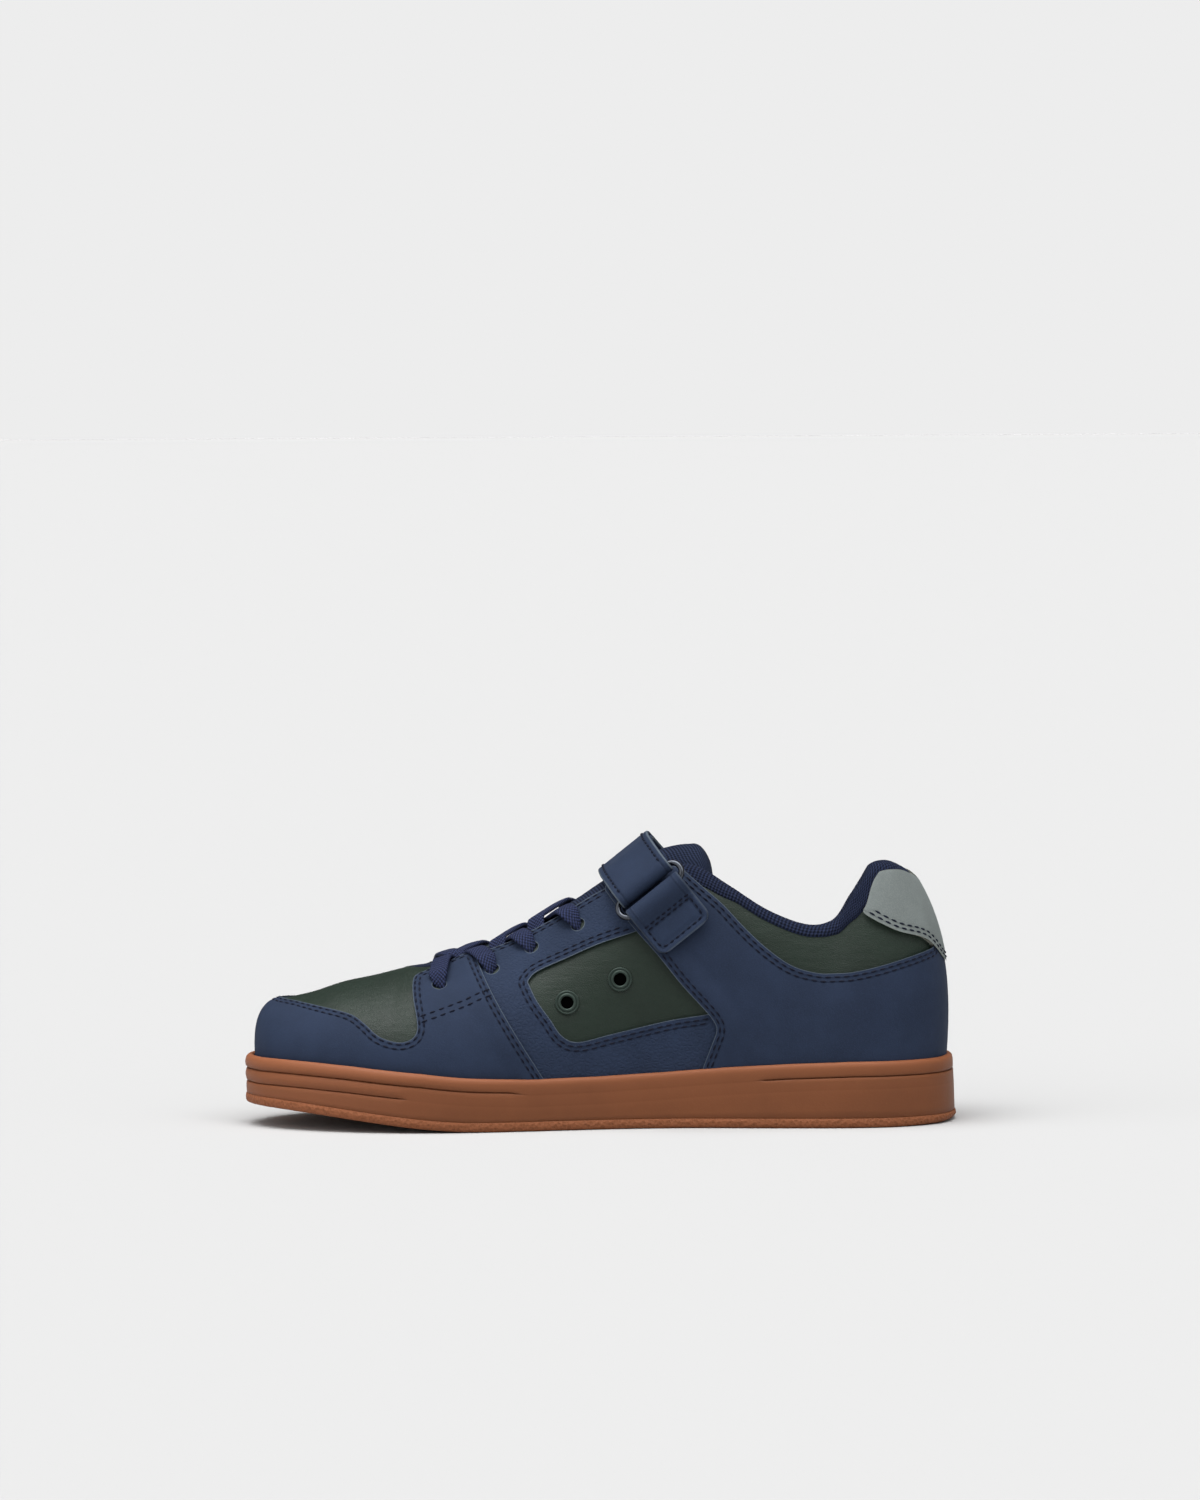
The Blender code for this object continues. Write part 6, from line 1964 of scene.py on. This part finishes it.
def left_of(line: Array) -> Array:
    """Unit vectors to the left of a 2-D line."""
    along = np.gradient(line, axis=0)
    return unit(np.stack([-along[:, 1], along[:, 0]], 1))


def eased(line: Array, rounds: int) -> Array:
    """A line with its corners softened and its ends kept."""
    line = line.copy()
    for _ in range(rounds):
        line[1:-1] = (line[:-2] + 2 * line[1:-1] + line[2:]) / 4
    return line


@dataclass
class Band:
    """A flat band with rounded sides, swept along a line."""

    name: str
    width: float
    thickness: float
    crown: float = 0.0
    edge_round: float = 0.35
    columns: int = 13
    # Where the stitch row runs, in millimetres from the side, and what the underside has for that distance
    row: float = 2.1
    UNDER = 5.0

    def sweep(
        self,
        centre: Array,
        wide: Array,
        up: Array,
        scale: Optional[Array] = None,
        relief: Optional[Callable[[float, float], float]] = None,
    ) -> Piece:
        """Builds the band.

        Args:
            centre: Its middle line in space.
            wide: The direction across it at each point.
            up: The direction out of its face at each point.
            scale: How wide it is at each point, as a share.
            relief: Height added to the face, from the place along it and the distance to its side.

        Returns:
            The piece, with a UV map in metres.
        """
        half, thick = self.width / 2, self.thickness / 2
        bend = min(self.edge_round * self.thickness, thick)
        face_steps = np.linspace(-0.87, 0.87, self.columns)
        flat = np.concatenate([[-1.0, -0.96, -0.92], face_steps, [0.92, 0.96, 1.0]])
        top = [(a * (half - bend), thick + self.crown * (1 - a * a)) for a in flat]
        side = [(half - bend * (1 - math.sin(t)), thick - bend * (1 - math.cos(t))) for t in (0.6, 1.2)]
        right = side + [(p, -q) for p, q in side[::-1]]
        low = [
            (a * (half - bend), -thick + self.crown * (1 - a * a) * 0.6)
            for a in (0.9, 0.5, 0.0, -0.5, -0.9)
        ]
        left = [(-p, -q) for p, q in right]
        shape = top + right + low + left
        scale = np.ones(len(centre)) if scale is None else scale
        ring = len(shape)
        points, charts, edges = [], [], []
        place = run_of(centre)
        for k, spot in enumerate(centre):
            for a, b in shape:
                inward = (half - abs(a)) * scale[k]
                extra = relief(place[k], inward) if relief and b >= thick else 0.0
                points.append(spot + wide[k] * a * scale[k] + up[k] * (b + extra))
                charts.append((place[k], a * scale[k]))
                edges.append(min(inward, place[k], place[-1] - place[k]) / MM if b > 0 else self.UNDER)
        faces = []
        for k in range(len(centre) - 1):
            for c in range(ring):
                a, b = k * ring + c, k * ring + (c + 1) % ring
                faces.append((a, a + ring, b + ring, b))
        faces.append(tuple(range(ring)))
        faces.append(tuple((len(centre) - 1) * ring + c for c in range(ring - 1, -1, -1)))
        fields = {"edge": np.array(edges), "row": np.array(edges) - self.row}
        return mesh_piece(self.name, np.array(points), faces, 60.0, fields, np.array(charts))


@dataclass
class Strand:
    """One lace strand: its middle line, and the directions across it and out of its face."""

    path: Array
    wide: Array
    up: Array
    half: float
    thickness: float

    def press(self, grid: Array) -> Array:
        """Points pushed down until they clear the strand's underside."""
        points = grid.reshape(-1, 3).copy()
        tree = search_tree(self.path)
        for k, point in enumerate(points):
            _, index, far = tree.find(point)
            if far > self.half + 4 * MM:
                continue
            apart = point - self.path[index]
            side = abs(float(apart @ self.wide[index]))
            above = float(apart @ self.up[index]) + self.thickness / 2 + 0.35 * MM
            if above > 0 and abs(float(apart @ np.cross(self.wide[index], self.up[index]))) < 1.5 * MM:
                share = 1 - float(smooth_step(self.half + 0.9 * MM, self.half + 3.4 * MM, side))
                points[k] = point - self.up[index] * above * share
        return points.reshape(grid.shape)


@dataclass
class Tongue:
    """The padded knit tongue between the eyestays."""

    form: Form
    finishes: Finishes
    tuck_low: float = 1.6
    tuck_top: float = 0.9
    dome: float = 0.36
    # Length as a share of the shoe's, angle in degrees, narrowing and how far the sides lift
    run: Tuple[Tuple[float, float, float, float], ...] = (
        (0.026, 20.0, 0.66, 0.25), (0.024, 8.0, 1.0, 0.10), (0.018, -8.0, 1.0, 0.10), (0.034, -50.0, 1.0, 0.0),
    )
    coarse_rows: int = 7

    def sections(self) -> Array:
        """The tongue's outer face as a grid [section][point]."""
        form = self.form
        first, last = form.column_of("throat_end"), form.column_of("instep_top")
        depth = form.sizes.wall + form.sizes.tongue_gap
        sections = []
        for column in range(first, last - 1, -form.fine):
            tuck = self.tuck_low + (self.tuck_top - self.tuck_low) * (first - column) / (first - last)
            medial, lateral = (
                [self._form_point(side, self.coarse_rows - tuck * share, -depth) for share in (1.0, 0.5, 0.0)]
                for side in (column, form.twin(column))
            )
            reach = self.dome * np.linalg.norm(medial[-1] - lateral[-1])
            pulls = [half[-1] + unit(half[-1] - half[-2]) * reach for half in (medial, lateral)]
            arch = [bezier(medial[-1], *pulls, lateral[-1], t) for t in (0.2, 0.4, 0.6, 0.8)]
            sections.append(medial + arch + lateral[::-1])
        here = np.array(sections[-1])
        middle = here[:, 1].mean()
        for length, angle, narrow, flat in self.run:
            turn = math.radians(angle)
            here = here + form.sizes.length * length * np.array([math.cos(turn), 0.0, math.sin(turn)])
            here[:, 1] = middle + (here[:, 1] - middle) * narrow
            here[:, 2] += (here[:, 2].max() - here[:, 2]) * flat
            sections.append(here)
        return np.array(sections)

    def _form_point(self, column: int, step: float, offset: float) -> Array:
        """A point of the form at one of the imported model's rows, moved along its normal."""
        form = self.form
        share = (step - 1) / (self.coarse_rows - 1)
        place = 1 + share * (form.rows - 1)
        low = min(int(place), form.rows - 1)
        part = place - low
        point = form.points[column, low] * (1 - part) + form.points[column, low + 1] * part
        normal = unit(form.normals[column, low] * (1 - part) + form.normals[column, low + 1] * part)
        return point + normal * offset

    def face(self) -> Array:
        """Its outer face, finely divided."""
        coarse = self.sections()
        lengthways = np.stack([smooth_line(coarse[:, k], 10) for k in range(coarse.shape[1])], 1)
        return np.stack([smooth_line(row, 5) for row in lengthways], 0)

    def build(self, grid: Array, strands: Sequence["Strand"]) -> None:
        """Makes the tongue, its face pressed in under the laces."""
        thick = self.form.sizes.tongue_thickness
        normal = unit(np.cross(np.gradient(grid, axis=0), np.gradient(grid, axis=1)))
        if normal[..., 2].mean() < 0:
            normal = -normal
        rows, columns = grid.shape[:2]
        across = np.linspace(-1.0, 1.0, columns)
        half = (thick * (0.35 + 0.65 * np.clip(1 - np.abs(across) ** 6, 0.0, 1.0)) / 2)[None, :, None]
        end = np.clip((rows - 1 - np.arange(rows)) / 9.0, 0.0, 1.0)
        roll = np.sqrt(np.clip(1 - (1 - end) ** 2, 0.0, 1.0))[:, None, None]
        middle = grid - normal * half
        upper = middle + (grid - middle) * roll
        for strand in strands:
            upper = strand.press(upper)
        lower = middle - normal * half * roll
        total = rows * columns
        upper_faces = grid_faces(rows, columns)
        faces = upper_faces + [tuple(total + corner for corner in face[::-1]) for face in upper_faces]
        numbers = np.arange(total).reshape(rows, columns)
        ring = [*numbers[:, 0], *numbers[-1, 1:], *numbers[-2::-1, -1], *numbers[0, -2:0:-1]]
        faces += [(b, a, total + a, total + b) for a, b in zip(ring, ring[1:] + ring[:1])]
        chart = np.stack(np.meshgrid(run_of(grid[:, columns // 2]), across * 15 * MM, indexing="ij"), -1)
        piece = mesh_piece(
            "knit_tongue",
            np.concatenate([upper.reshape(-1, 3), lower.reshape(-1, 3)]),
            faces,
            60.0,
            chart=np.tile(chart.reshape(-1, 2), (2, 1)),
        )
        face_out(piece)
        dress(piece, self.finishes.tongue, "navy_knit", "tongue")


@dataclass
class LaidBand:
    """Where a band's outer face is, for its stitches."""

    centre: Array
    wide: Array
    up: Array
    place: Array
    width: float
    thickness: float
    relief: Callable[[float, float], float]

    def rows(self, spots: Iterable[Sequence[float]]) -> Pair:
        """Points and normals on the face, from (place along, place across) rows."""
        points, normals = [], []
        for along, across in spots:
            centre, wide, up = (read_at(along, self.place, part) for part in (self.centre, self.wide, self.up))
            high = self.thickness / 2 + self.relief(along, self.width / 2 - abs(across))
            points.append(centre + wide * across + up * high)
            normals.append(up)
        return np.array(points), np.array(normals)


@dataclass
class StrapSet:
    """The instep strap, the ring that it runs through and the patch that holds the ring."""

    form: Form
    finishes: Finishes
    cloud: Array
    middle: Tuple[float, float] = (0.466, 1.014)
    step: float = 1.0 * MM
    gap: float = 0.7 * MM
    wire: float = 2.2 * MM
    mouth: float = 0.5 * MM
    play: float = 0.9 * MM
    bend: float = 3.4 * MM
    ring_drop: float = 11.5 * MM
    anchor_drop: float = 32 * MM
    tip_drop: float = 22 * MM
    ease: float = 8 * MM
    patch_width: float = 20.6 * MM
    seam_drop: float = 18.8 * MM
    end_drop: float = 28.8 * MM
    tuck: float = 1.5 * MM

    def _line(self) -> Tuple[Course, Array, Array]:
        """The course, and the tight line over tongue and eyestays with its normals."""
        sizes = self.form.sizes
        (x, z), = self.form.side_points([self.middle])
        angle = sizes.strap_angle
        slope = [math.cos(angle), 0.0, math.sin(angle)]
        rise = [-math.sin(angle), 0.0, math.cos(angle)]
        course = Course([x, self.form.outline[0][1], z], [0, 1, 0], slope, rise)
        line = resample(course.tight_line(self.cloud, sizes.strap_width), self.step)
        line = eased(line, 12)
        return course, line, left_of(line)

    @staticmethod
    def _at_drop(line: Array, drop: float, side: int) -> float:
        """Place along a line where it has come down by drop from its crest."""
        place = run_of(line)
        crest = int(np.argmax(line[:, 1]))
        part = slice(crest, None) if side > 0 else slice(crest, None, -1)
        heights, places = line[part, 1], place[part]
        return float(np.interp(line[crest, 1] - drop, heights[::-1], places[::-1]))

    def build(self) -> None:
        """Makes the strap, the patch, the ring and their threads."""
        course, line, normals = self._line()
        place = run_of(line)
        layer = self.form.sizes.strap_layer

        def pushed(near: float, far: float, offsets: Sequence[Tuple[float, float]]) -> Array:
            """The line between two places, pushed out by the (place, offset) rows."""
            wanted = np.linspace(near, far, max(2, round(abs(far - near) / self.step) + 1))
            rows = sorted(offsets)
            out = np.interp(wanted, [r[0] for r in rows], [r[1] for r in rows])
            push = unit(read_at(wanted, place, normals))
            return read_at(wanted, place, line) + push * out[:, None]

        low = self.gap + layer / 2
        high = low + 0.35 * MM + layer
        fold = self.wire / 2 + 0.3 * MM + layer / 2
        mouth = self._at_drop(line, self.ring_drop, -1)
        upper_bar = mouth + fold + layer / 2 + self.mouth / 2
        lower_bar = mouth - fold - layer / 2 - self.mouth / 2
        anchor = self._at_drop(line, self.anchor_drop, 1)
        tip = self._at_drop(line, self.tip_drop, 1)
        seam = self._at_drop(line, self.seam_drop, -1)
        end = self._at_drop(line, self.end_drop, -1)

        def frame_at(where: float) -> Tuple[Array, Array, Array]:
            """The line's place, outward and forward directions."""
            spot = pushed(where, where + 1e-6, [(0.0, 0.0)])[0]
            out = unit(pushed(where, where + 1e-6, [(0.0, 1.0)])[0] - spot)
            return spot, out, np.array([out[1], -out[0]])

        def half_turn(centre: Array, inner: Array, tip_way: Array) -> Array:
            """A half turn round a bar."""
            turns = math.pi * np.arange(11) / 10
            return centre + fold * (np.outer(np.cos(turns), inner) + np.outer(np.sin(turns), tip_way))

        spot, out, along = frame_at(upper_bar)
        upper_centre = spot + out * (low + fold)
        under = pushed(anchor, upper_bar, [(0.0, low)])
        over = pushed(upper_bar, tip, [(upper_bar + fold, low + 2 * fold), (upper_bar + self.ease, high)])
        path = np.concatenate([under[:-1], half_turn(upper_centre, -out, -along), over[1:]])
        strap = self._band("instep_strap", course, path[::-1], self.form.sizes.strap_width, layer, ("strap",))
        length = float(np.linalg.norm(np.diff(over, axis=0), axis=1).sum())
        steps = self._steps(1.5 * MM, length - 0.6 * MM)
        rows = [strap.rows([(d, side * (0.01 - 2.1 * MM)) for d in steps]) for side in (-1, 1)]
        self._stitch("strap_threads", rows)

        spot, out, along = frame_at(lower_bar)
        lower_centre = spot + out * (low + fold)
        under = pushed(seam + self.tuck, lower_bar, [(0.0, low)])
        over = pushed(lower_bar, end, [(seam, low), (lower_bar - fold, low + 2 * fold)])
        path = np.concatenate([under[:-1], half_turn(lower_centre, -out, along), over[1:]])
        box = seam - end
        patch = self._band(
            "strap_patch",
            course,
            path[::-1],
            self.patch_width,
            layer,
            ("ring_patch",),
            corner=3.4 * MM,
            box=box,
        )
        across, inner = self.patch_width / 2 - 1.9 * MM, 1.9 * MM
        turn = 2.0 * MM
        loop = [(box - 0.7 * MM, across), (inner + turn, across)]
        loop += [(inner + turn * (1 - math.sin(a)), across - turn * (1 - math.cos(a))) for a in (0.5, 1.0)]
        loop += [(inner, across - turn), (inner, turn - across)]
        loop += [(inner + turn * (1 - math.cos(a)), turn - across - turn * math.sin(a)) for a in (0.5, 1.0)]
        loop += [(inner + turn, -across), (box - 0.7 * MM, -across)]
        lines = [loop, [(box - 0.7 * MM, across), (box - 0.7 * MM, -across)]]
        lines += [[(box + 0.75 * MM, across + 0.6 * MM), (box + 0.75 * MM, -across - 0.6 * MM)]]
        self._stitch("patch_threads", [patch.rows(resample(np.array(line), 0.5 * MM)) for line in lines])
        self._ring(course, lower_centre, upper_centre)

    @staticmethod
    def _steps(start: float, end: float) -> Array:
        """Places half a millimetre apart."""
        return np.arange(start, end, 0.5 * MM)

    def _stitch(self, name: str, rows: List[Pair]) -> None:
        """Threads along rows of points and normals."""
        stitcher = Stitcher(length=1.7 * MM, pitch=2.25 * MM, radius=0.32 * MM)
        dress(stitcher.lay(name, rows, lift=0.20 * MM), self.finishes.thread, "navy_nubuck")

    def _band(
        self,
        name: str,
        course: Course,
        path: Array,
        width: float,
        thickness: float,
        replaced: Tuple[str, ...],
        corner: float = 0.6 * MM,
        box: float = 0.0,
    ) -> "LaidBand":
        """One leather band, from the free end of its outer layer.

        Args:
            name: The piece's name.
            course: The plane that it runs in.
            path: Its middle line in that plane.
            width: Its width.
            thickness: Its thickness.
            replaced: The nodes that it stands for.
            corner: How round the corners of its free end are.
            box: How far from that end the stitched box reaches, if it has one.

        Returns:
            The band, ready for its stitch rows.
        """
        path = resample(eased(path, 2), 0.5 * MM)
        left = left_of(path)
        if left[5, 0] * path[5, 0] < 0:
            left = -left
        centre = course.place(path)
        up = np.outer(left[:, 0], course.run) + np.outer(left[:, 1], course.up)
        wide = np.tile(course.wide, (len(path), 1))
        place = np.concatenate([[0.0], np.cumsum(np.linalg.norm(np.diff(path, axis=0), axis=1))])
        half = width / 2
        short = np.clip(corner - place, 0.0, corner)
        scale = (half - corner + np.sqrt(np.maximum(corner**2 - short**2, 0.0))) / half

        def relief(along: float, inward: float) -> float:
            """Raised rim and puffed middle of the stitched box, and the pressed stitch rows."""
            near = min(inward, along)
            if not box:
                return -0.12 * MM * math.exp(-(((inward - 2.1 * MM) / (0.5 * MM)) ** 2))
            if along > box + 1.6 * MM:
                return 0.0
            rim = 0.50 * MM * (1 - float(smooth_step(1.1 * MM, 1.9 * MM, near)))
            puff = 0.30 * MM * float(smooth_step(2.0 * MM, 4.2 * MM, near))
            puff *= float(smooth_step(0.4 * MM, 1.8 * MM, box - 0.7 * MM - along))
            ridge = 0.35 * MM * math.exp(-(((along - box) / (0.45 * MM)) ** 2))
            fade = 1 - float(smooth_step(box - 1 * MM, box + 1.5 * MM, along))
            return (rim + puff) * fade + ridge

        band = Band(name, width, thickness, edge_round=0.45, columns=41)
        piece = band.sweep(centre, wide, up, scale, relief)
        dress(piece, self.finishes.patch if box else self.finishes.strap, "navy_nubuck", *replaced)
        return LaidBand(centre, wide, up, place, width, thickness, relief)

    def _ring(self, course: Course, low: Array, high: Array) -> None:
        """The flat ring, from a torus whose parts are moved to the two bars."""
        centres = course.place(np.array([low, high]))
        rise = centres[1] - centres[0]
        span = float(np.linalg.norm(rise))
        rise = rise / span
        wide = course.wide
        out = np.cross(wide, rise)
        half = self.form.sizes.strap_width / 2 + self.play + self.wire / 2
        bend = min(self.bend, span / 2 + self.wire)
        deselect()
        bpy.ops.mesh.primitive_torus_add(
            major_segments=64,
            minor_segments=16,
            major_radius=bend,
            minor_radius=0.42 * self.wire,
            location=(0, 0, 0),
        )
        ring = new_piece("wire_ring")
        points = np.array([v.co for v in ring.data.vertices])
        angle = np.arctan2(points[:, 1], points[:, 0])
        points[:, 0] += np.where(np.abs(np.cos(angle)) > 1e-6, np.sign(np.cos(angle)), 0.0) * (half - bend)
        points[:, 1] *= min(1.0, span / 2 / bend)
        points[:, 1] += np.sign(np.sin(angle)) * max(0.0, span / 2 - bend)
        middle = (centres[0] + centres[1]) / 2
        placed = middle + np.outer(points[:, 0], wide) + np.outer(points[:, 1], rise)
        placed += np.outer(points[:, 2], out)
        ring.data.vertices.foreach_set("co", placed.ravel())
        ring.data.update()
        ring.data.shade_smooth()
        dress(ring, self.finishes.ring, "dark_enamel", "strap_ring")


@dataclass
class Laces:
    """The flat lace, strand by strand, from each hole over the flap and under the other flap."""

    form: Form
    guide: FormGuide
    finishes: Finishes
    cloud: Array
    rim: Array
    shy: float = 2.5 * MM

    def build(self) -> List[Strand]:
        """Lays every strand on what lies under it, and returns them."""
        places = self.form.side_points(LACE_HOLES)
        width, thickness = self.form.sizes.lace_width, self.form.sizes.lace_thickness
        strands = [(k, k - 1, side, 0.0) for k in range(3, 0, -1) for side in (Side.MEDIAL, Side.LATERAL)]
        strands += [(0, 0, Side.MEDIAL, 0.55), (0, 0, Side.LATERAL, 0.55)]
        done = []
        laid = []
        crossed = self.cloud[:0]
        for index, (here, there, side, ahead) in enumerate(strands):
            other = Side(-side.value)
            start, normal = self.guide.at(*places[here], side)
            target = places[there] * (1 - ahead) + places[min(there + 1, 3)] * ahead
            end, far_normal = self.guide.at(*target, other)
            start = start + normal * 1.3 * MM
            low, high = places[min(here, there)], places[min(max(here, there, 1), 3)]
            slope = unit(high - low)
            up = np.array([-slope[1], 0.0, slope[0]])
            run = unit((end - start) - up * float((end - start) @ up))
            course = Course(start, run, np.cross(up, run), up)
            edge = self._edge(course, other)
            cloud = self.cloud
            if index % 2:
                cloud = np.concatenate([cloud, crossed])
            hull = course.tight_line(cloud, width - 2 * Course.MARGIN, 0.0, edge - self.shy)
            line = eased(resample(hull, 0.8 * MM), 6)
            line = line + left_of(line) * (0.30 * MM + thickness / 2)
            piece, strand, crossed = self._strand(f"lace_strand_{index + 1}", course, line, start, normal)
            done.append(piece)
            laid.append(strand)
        self._dress(done)
        return laid

    def _edge(self, course: Course, side: Side) -> float:
        """How far along the course the other flap's edge comes."""
        half = len(self.rim) // 2
        rim = self.rim[:half] if side is Side.MEDIAL else self.rim[half:]
        flat = course.flat(resample(rim, 1 * MM))
        near = np.abs(flat[:, 1]) <= max(self.form.sizes.lace_width, np.abs(flat[:, 1]).min())
        return float(flat[near, 0].min())

    def _strand(
        self, name: str, course: Course, line: Array, start: Array, normal: Array
    ) -> Tuple[Piece, Strand, Array]:
        """One strand: out of its hole, over, and down under the other flap."""
        body = course.place(line)
        # The tail dives under the other flap: along the course in steps of 3.2 mm, and down in millimetres
        steps = ((0.35, 0.5), (0.7, 1.6), (1.05, 3.0), (1.5, 4.2), (2.1, 5.2))
        tail = [body[-1] + course.run * share * 3.2 * MM - course.up * drop * MM for share, drop in steps]
        head = [start - normal * deep * MM for deep in (3.2, 1.6, 0.3)]
        path = smooth_line(np.vstack([head, body[3:], tail]), 2)
        path = resample(eased(path, 4), 0.7 * MM)
        tangent = unit(np.gradient(path, axis=0))
        wide = unit(np.cross(np.tile(course.up, (len(path), 1)), tangent))
        entry = np.clip(1 - np.linalg.norm(path - start, axis=1) / (5 * MM), 0.0, 1.0)[:, None]
        hole_wide = unit(np.cross(np.tile(normal, (len(path), 1)), np.tile(course.run, (len(path), 1))))
        wide = unit(np.where(np.abs(entry) > 0.98, hole_wide, wide * (1 - entry) + hole_wide * entry))
        up = unit(np.cross(tangent, wide))
        scale = 0.68 + 0.32 * smooth_step(3.0 * MM, 7.0 * MM, run_of(path))
        sizes = self.form.sizes
        band = Band(name, sizes.lace_width, sizes.lace_thickness, crown=0.12 * MM, edge_round=0.5)
        piece = band.sweep(path, wide, up, scale)
        middle = slice(len(path) * 2 // 5, len(path) * 3 // 5)
        shifts = (-0.5, -0.25, 0.0, 0.25, 0.5)
        top = [
            (path + wide * sizes.lace_width * shift + up * sizes.lace_thickness / 2)[middle]
            for shift in shifts
        ]
        strand = Strand(path, wide, up, sizes.lace_width / 2, sizes.lace_thickness)
        return piece, strand, np.concatenate(top)

    def _dress(self, pieces: List[Piece]) -> None:
        """Gives the strands their finish, and the crossings that they stand for."""
        names = {0: ("lace_cross_3",), 2: ("lace_cross_2",), 4: ("lace_cross_1",)}
        for k, piece in enumerate(pieces):
            dress(piece, self.finishes.lace, "navy_lace", *names.get(k, ()))


# The studio


@dataclass
class Studio:
    """Floor, light and the camera at the photograph's angle."""

    distance: float = 2.2
    elevation: float = 3.0
    roll: float = 0.317
    aim: Tuple[float, float, float] = (0.00018, 0.0, 0.11739)
    pixels_per_mm: float = 3.1523
    floor_tone: float = 0.490
    back_tone: float = 0.847
    dim: float = 0.12
    # Heights between which the light band round the horizon ends, as cosines
    horizon: Tuple[float, float] = (0.06, 0.13)
    key_power: float = 1.0
    key_spread: float = 40.0
    key_turn: Tuple[float, float, float] = (26.0, 24.0, 0.0)
    # Soft boxes: direction, power, and the cosines where each starts and is full
    boxes: Tuple[Tuple[Tuple[float, float, float], float, float, float], ...] = (
        ((-0.70, -0.50, 0.45), 1.35, 0.74, 0.92),
        ((0.65, -0.55, 0.50), 0.65, 0.74, 0.92),
        ((-0.15, -0.12, 0.98), 6.3, 0.86, 0.96),
    )

    def build(self) -> None:
        """Makes floor, lights and camera."""
        self._floor()
        self._lights()
        self._camera()

    def _floor(self) -> None:
        """A wide plain floor."""
        deselect()
        bpy.ops.mesh.primitive_plane_add(size=60.0, location=(0, 0, 0))
        floor = new_piece("studio_floor")
        graph = Graph("studio_paper")
        tone = self.floor_tone
        graph.set(base_color=(tone, tone, tone), roughness=0.9, specular_level=0.0)
        floor.data.materials.append(graph.material)

    def _lights(self) -> None:
        """An even band behind the shoe, soft boxes round and over it, and one soft sun."""
        scene = bpy.context.scene
        world = bpy.data.worlds.new("studio_light")
        graph = Graph("studio_light", world)
        _, _, height = graph.axes()
        horizon = 1 - height.step(*self.horizon)
        glow: Number = self.dim
        for way, power, wide, narrow in self.boxes:
            inputs = {0: graph.place, 1: Vector(way).normalized()}
            toward = graph.node("VectorMath", {"operation": "DOT_PRODUCT"}, inputs)
            glow = Wire(graph, toward.outputs["Value"]).step(wide, narrow) * power + glow
        light = horizon * self.back_tone + (1 - horizon) * glow
        graph.feed(graph.shader.inputs["Color"], (1.0, 1.0, 1.0))
        graph.feed(graph.shader.inputs["Strength"], light)
        scene.world = world
        lamp = bpy.data.lights.new("key", "SUN")
        lamp.energy = self.key_power
        lamp.angle = math.radians(self.key_spread)
        holder = bpy.data.objects.new("key", lamp)
        holder.rotation_euler = [math.radians(part) for part in self.key_turn]
        scene.collection.objects.link(holder)
        scene.view_settings.view_transform = "Standard"

    def _camera(self) -> None:
        """The camera: its distance, height and roll as in the photograph."""
        data = bpy.data.cameras.new("photo_camera")
        data.sensor_fit = "VERTICAL"
        data.sensor_height = 36.0
        data.lens = self.pixels_per_mm * self.distance / MM * data.sensor_height / 1500.0
        data.clip_start, data.clip_end = 0.01, 200.0
        camera = bpy.data.objects.new("photo_camera", data)
        tilt = math.radians(self.elevation)
        forward = Vector((0.0, math.cos(tilt), -math.sin(tilt)))
        camera.location = Vector(self.aim) - forward * self.distance
        turn = forward.to_track_quat("-Z", "Y").to_matrix()
        roll = math.radians(self.roll)
        right, up = turn.col[0].copy(), turn.col[1].copy()
        # Turning the camera clockwise turns the picture the other way, so that the ground rises to the right
        new_right = right * math.cos(roll) - up * math.sin(roll)
        new_up = right * math.sin(roll) + up * math.cos(roll)
        turn.col[0], turn.col[1] = new_right, new_up
        camera.rotation_euler = turn.to_euler()
        bpy.context.scene.collection.objects.link(camera)
        bpy.context.scene.camera = camera


def upper_cloud(form: Form) -> Pair:
    """Points all over the panels' faces, and the rolled throat and collar edge in order."""
    outside = form.points + form.normals * 1.3 * MM
    first = form.column_of("vamp_point")
    columns = np.concatenate([np.arange(first + 1), np.arange(form.count - first, form.count)])
    middle, across, up = form.rim(columns)
    edge = middle + up * np.linalg.norm(across, axis=1, keepdims=True)
    rim = np.concatenate([edge[1 : first + 1], edge[first + 1 :]])
    return np.concatenate([outside.reshape(-1, 3), edge]), rim


def main() -> None:
    """Builds the shoe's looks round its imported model."""
    logging.basicConfig(level=logging.INFO, format="%(name)s: %(message)s")
    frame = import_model()
    LOG.info("%d nodes", len(frame["nodes"]))
    sizes = ShoeSizes()
    Studio().build()
    finishes = Finishes()
    fine = Form(sizes, 16, 96)
    form = Form(sizes, 8, 56)
    guide = FormGuide(form)
    UpperShell(form, finishes).build()
    Overlays(fine, FormGuide(fine), finishes).build()
    Vents(guide, form, finishes).build()
    Sole(form, finishes).build()
    tongue = Tongue(form, finishes)
    face = tongue.face()
    base, rim = upper_cloud(form)
    sunk = face - [0.0, 0.0, 1.8 * MM]
    strands = Laces(form, guide, finishes, np.concatenate([base, sunk.reshape(-1, 3)]), rim).build()
    tongue.build(face, strands)
    StrapSet(form, finishes, np.concatenate([base, face.reshape(-1, 3)])).build()


if __name__ == "__main__":
    main()
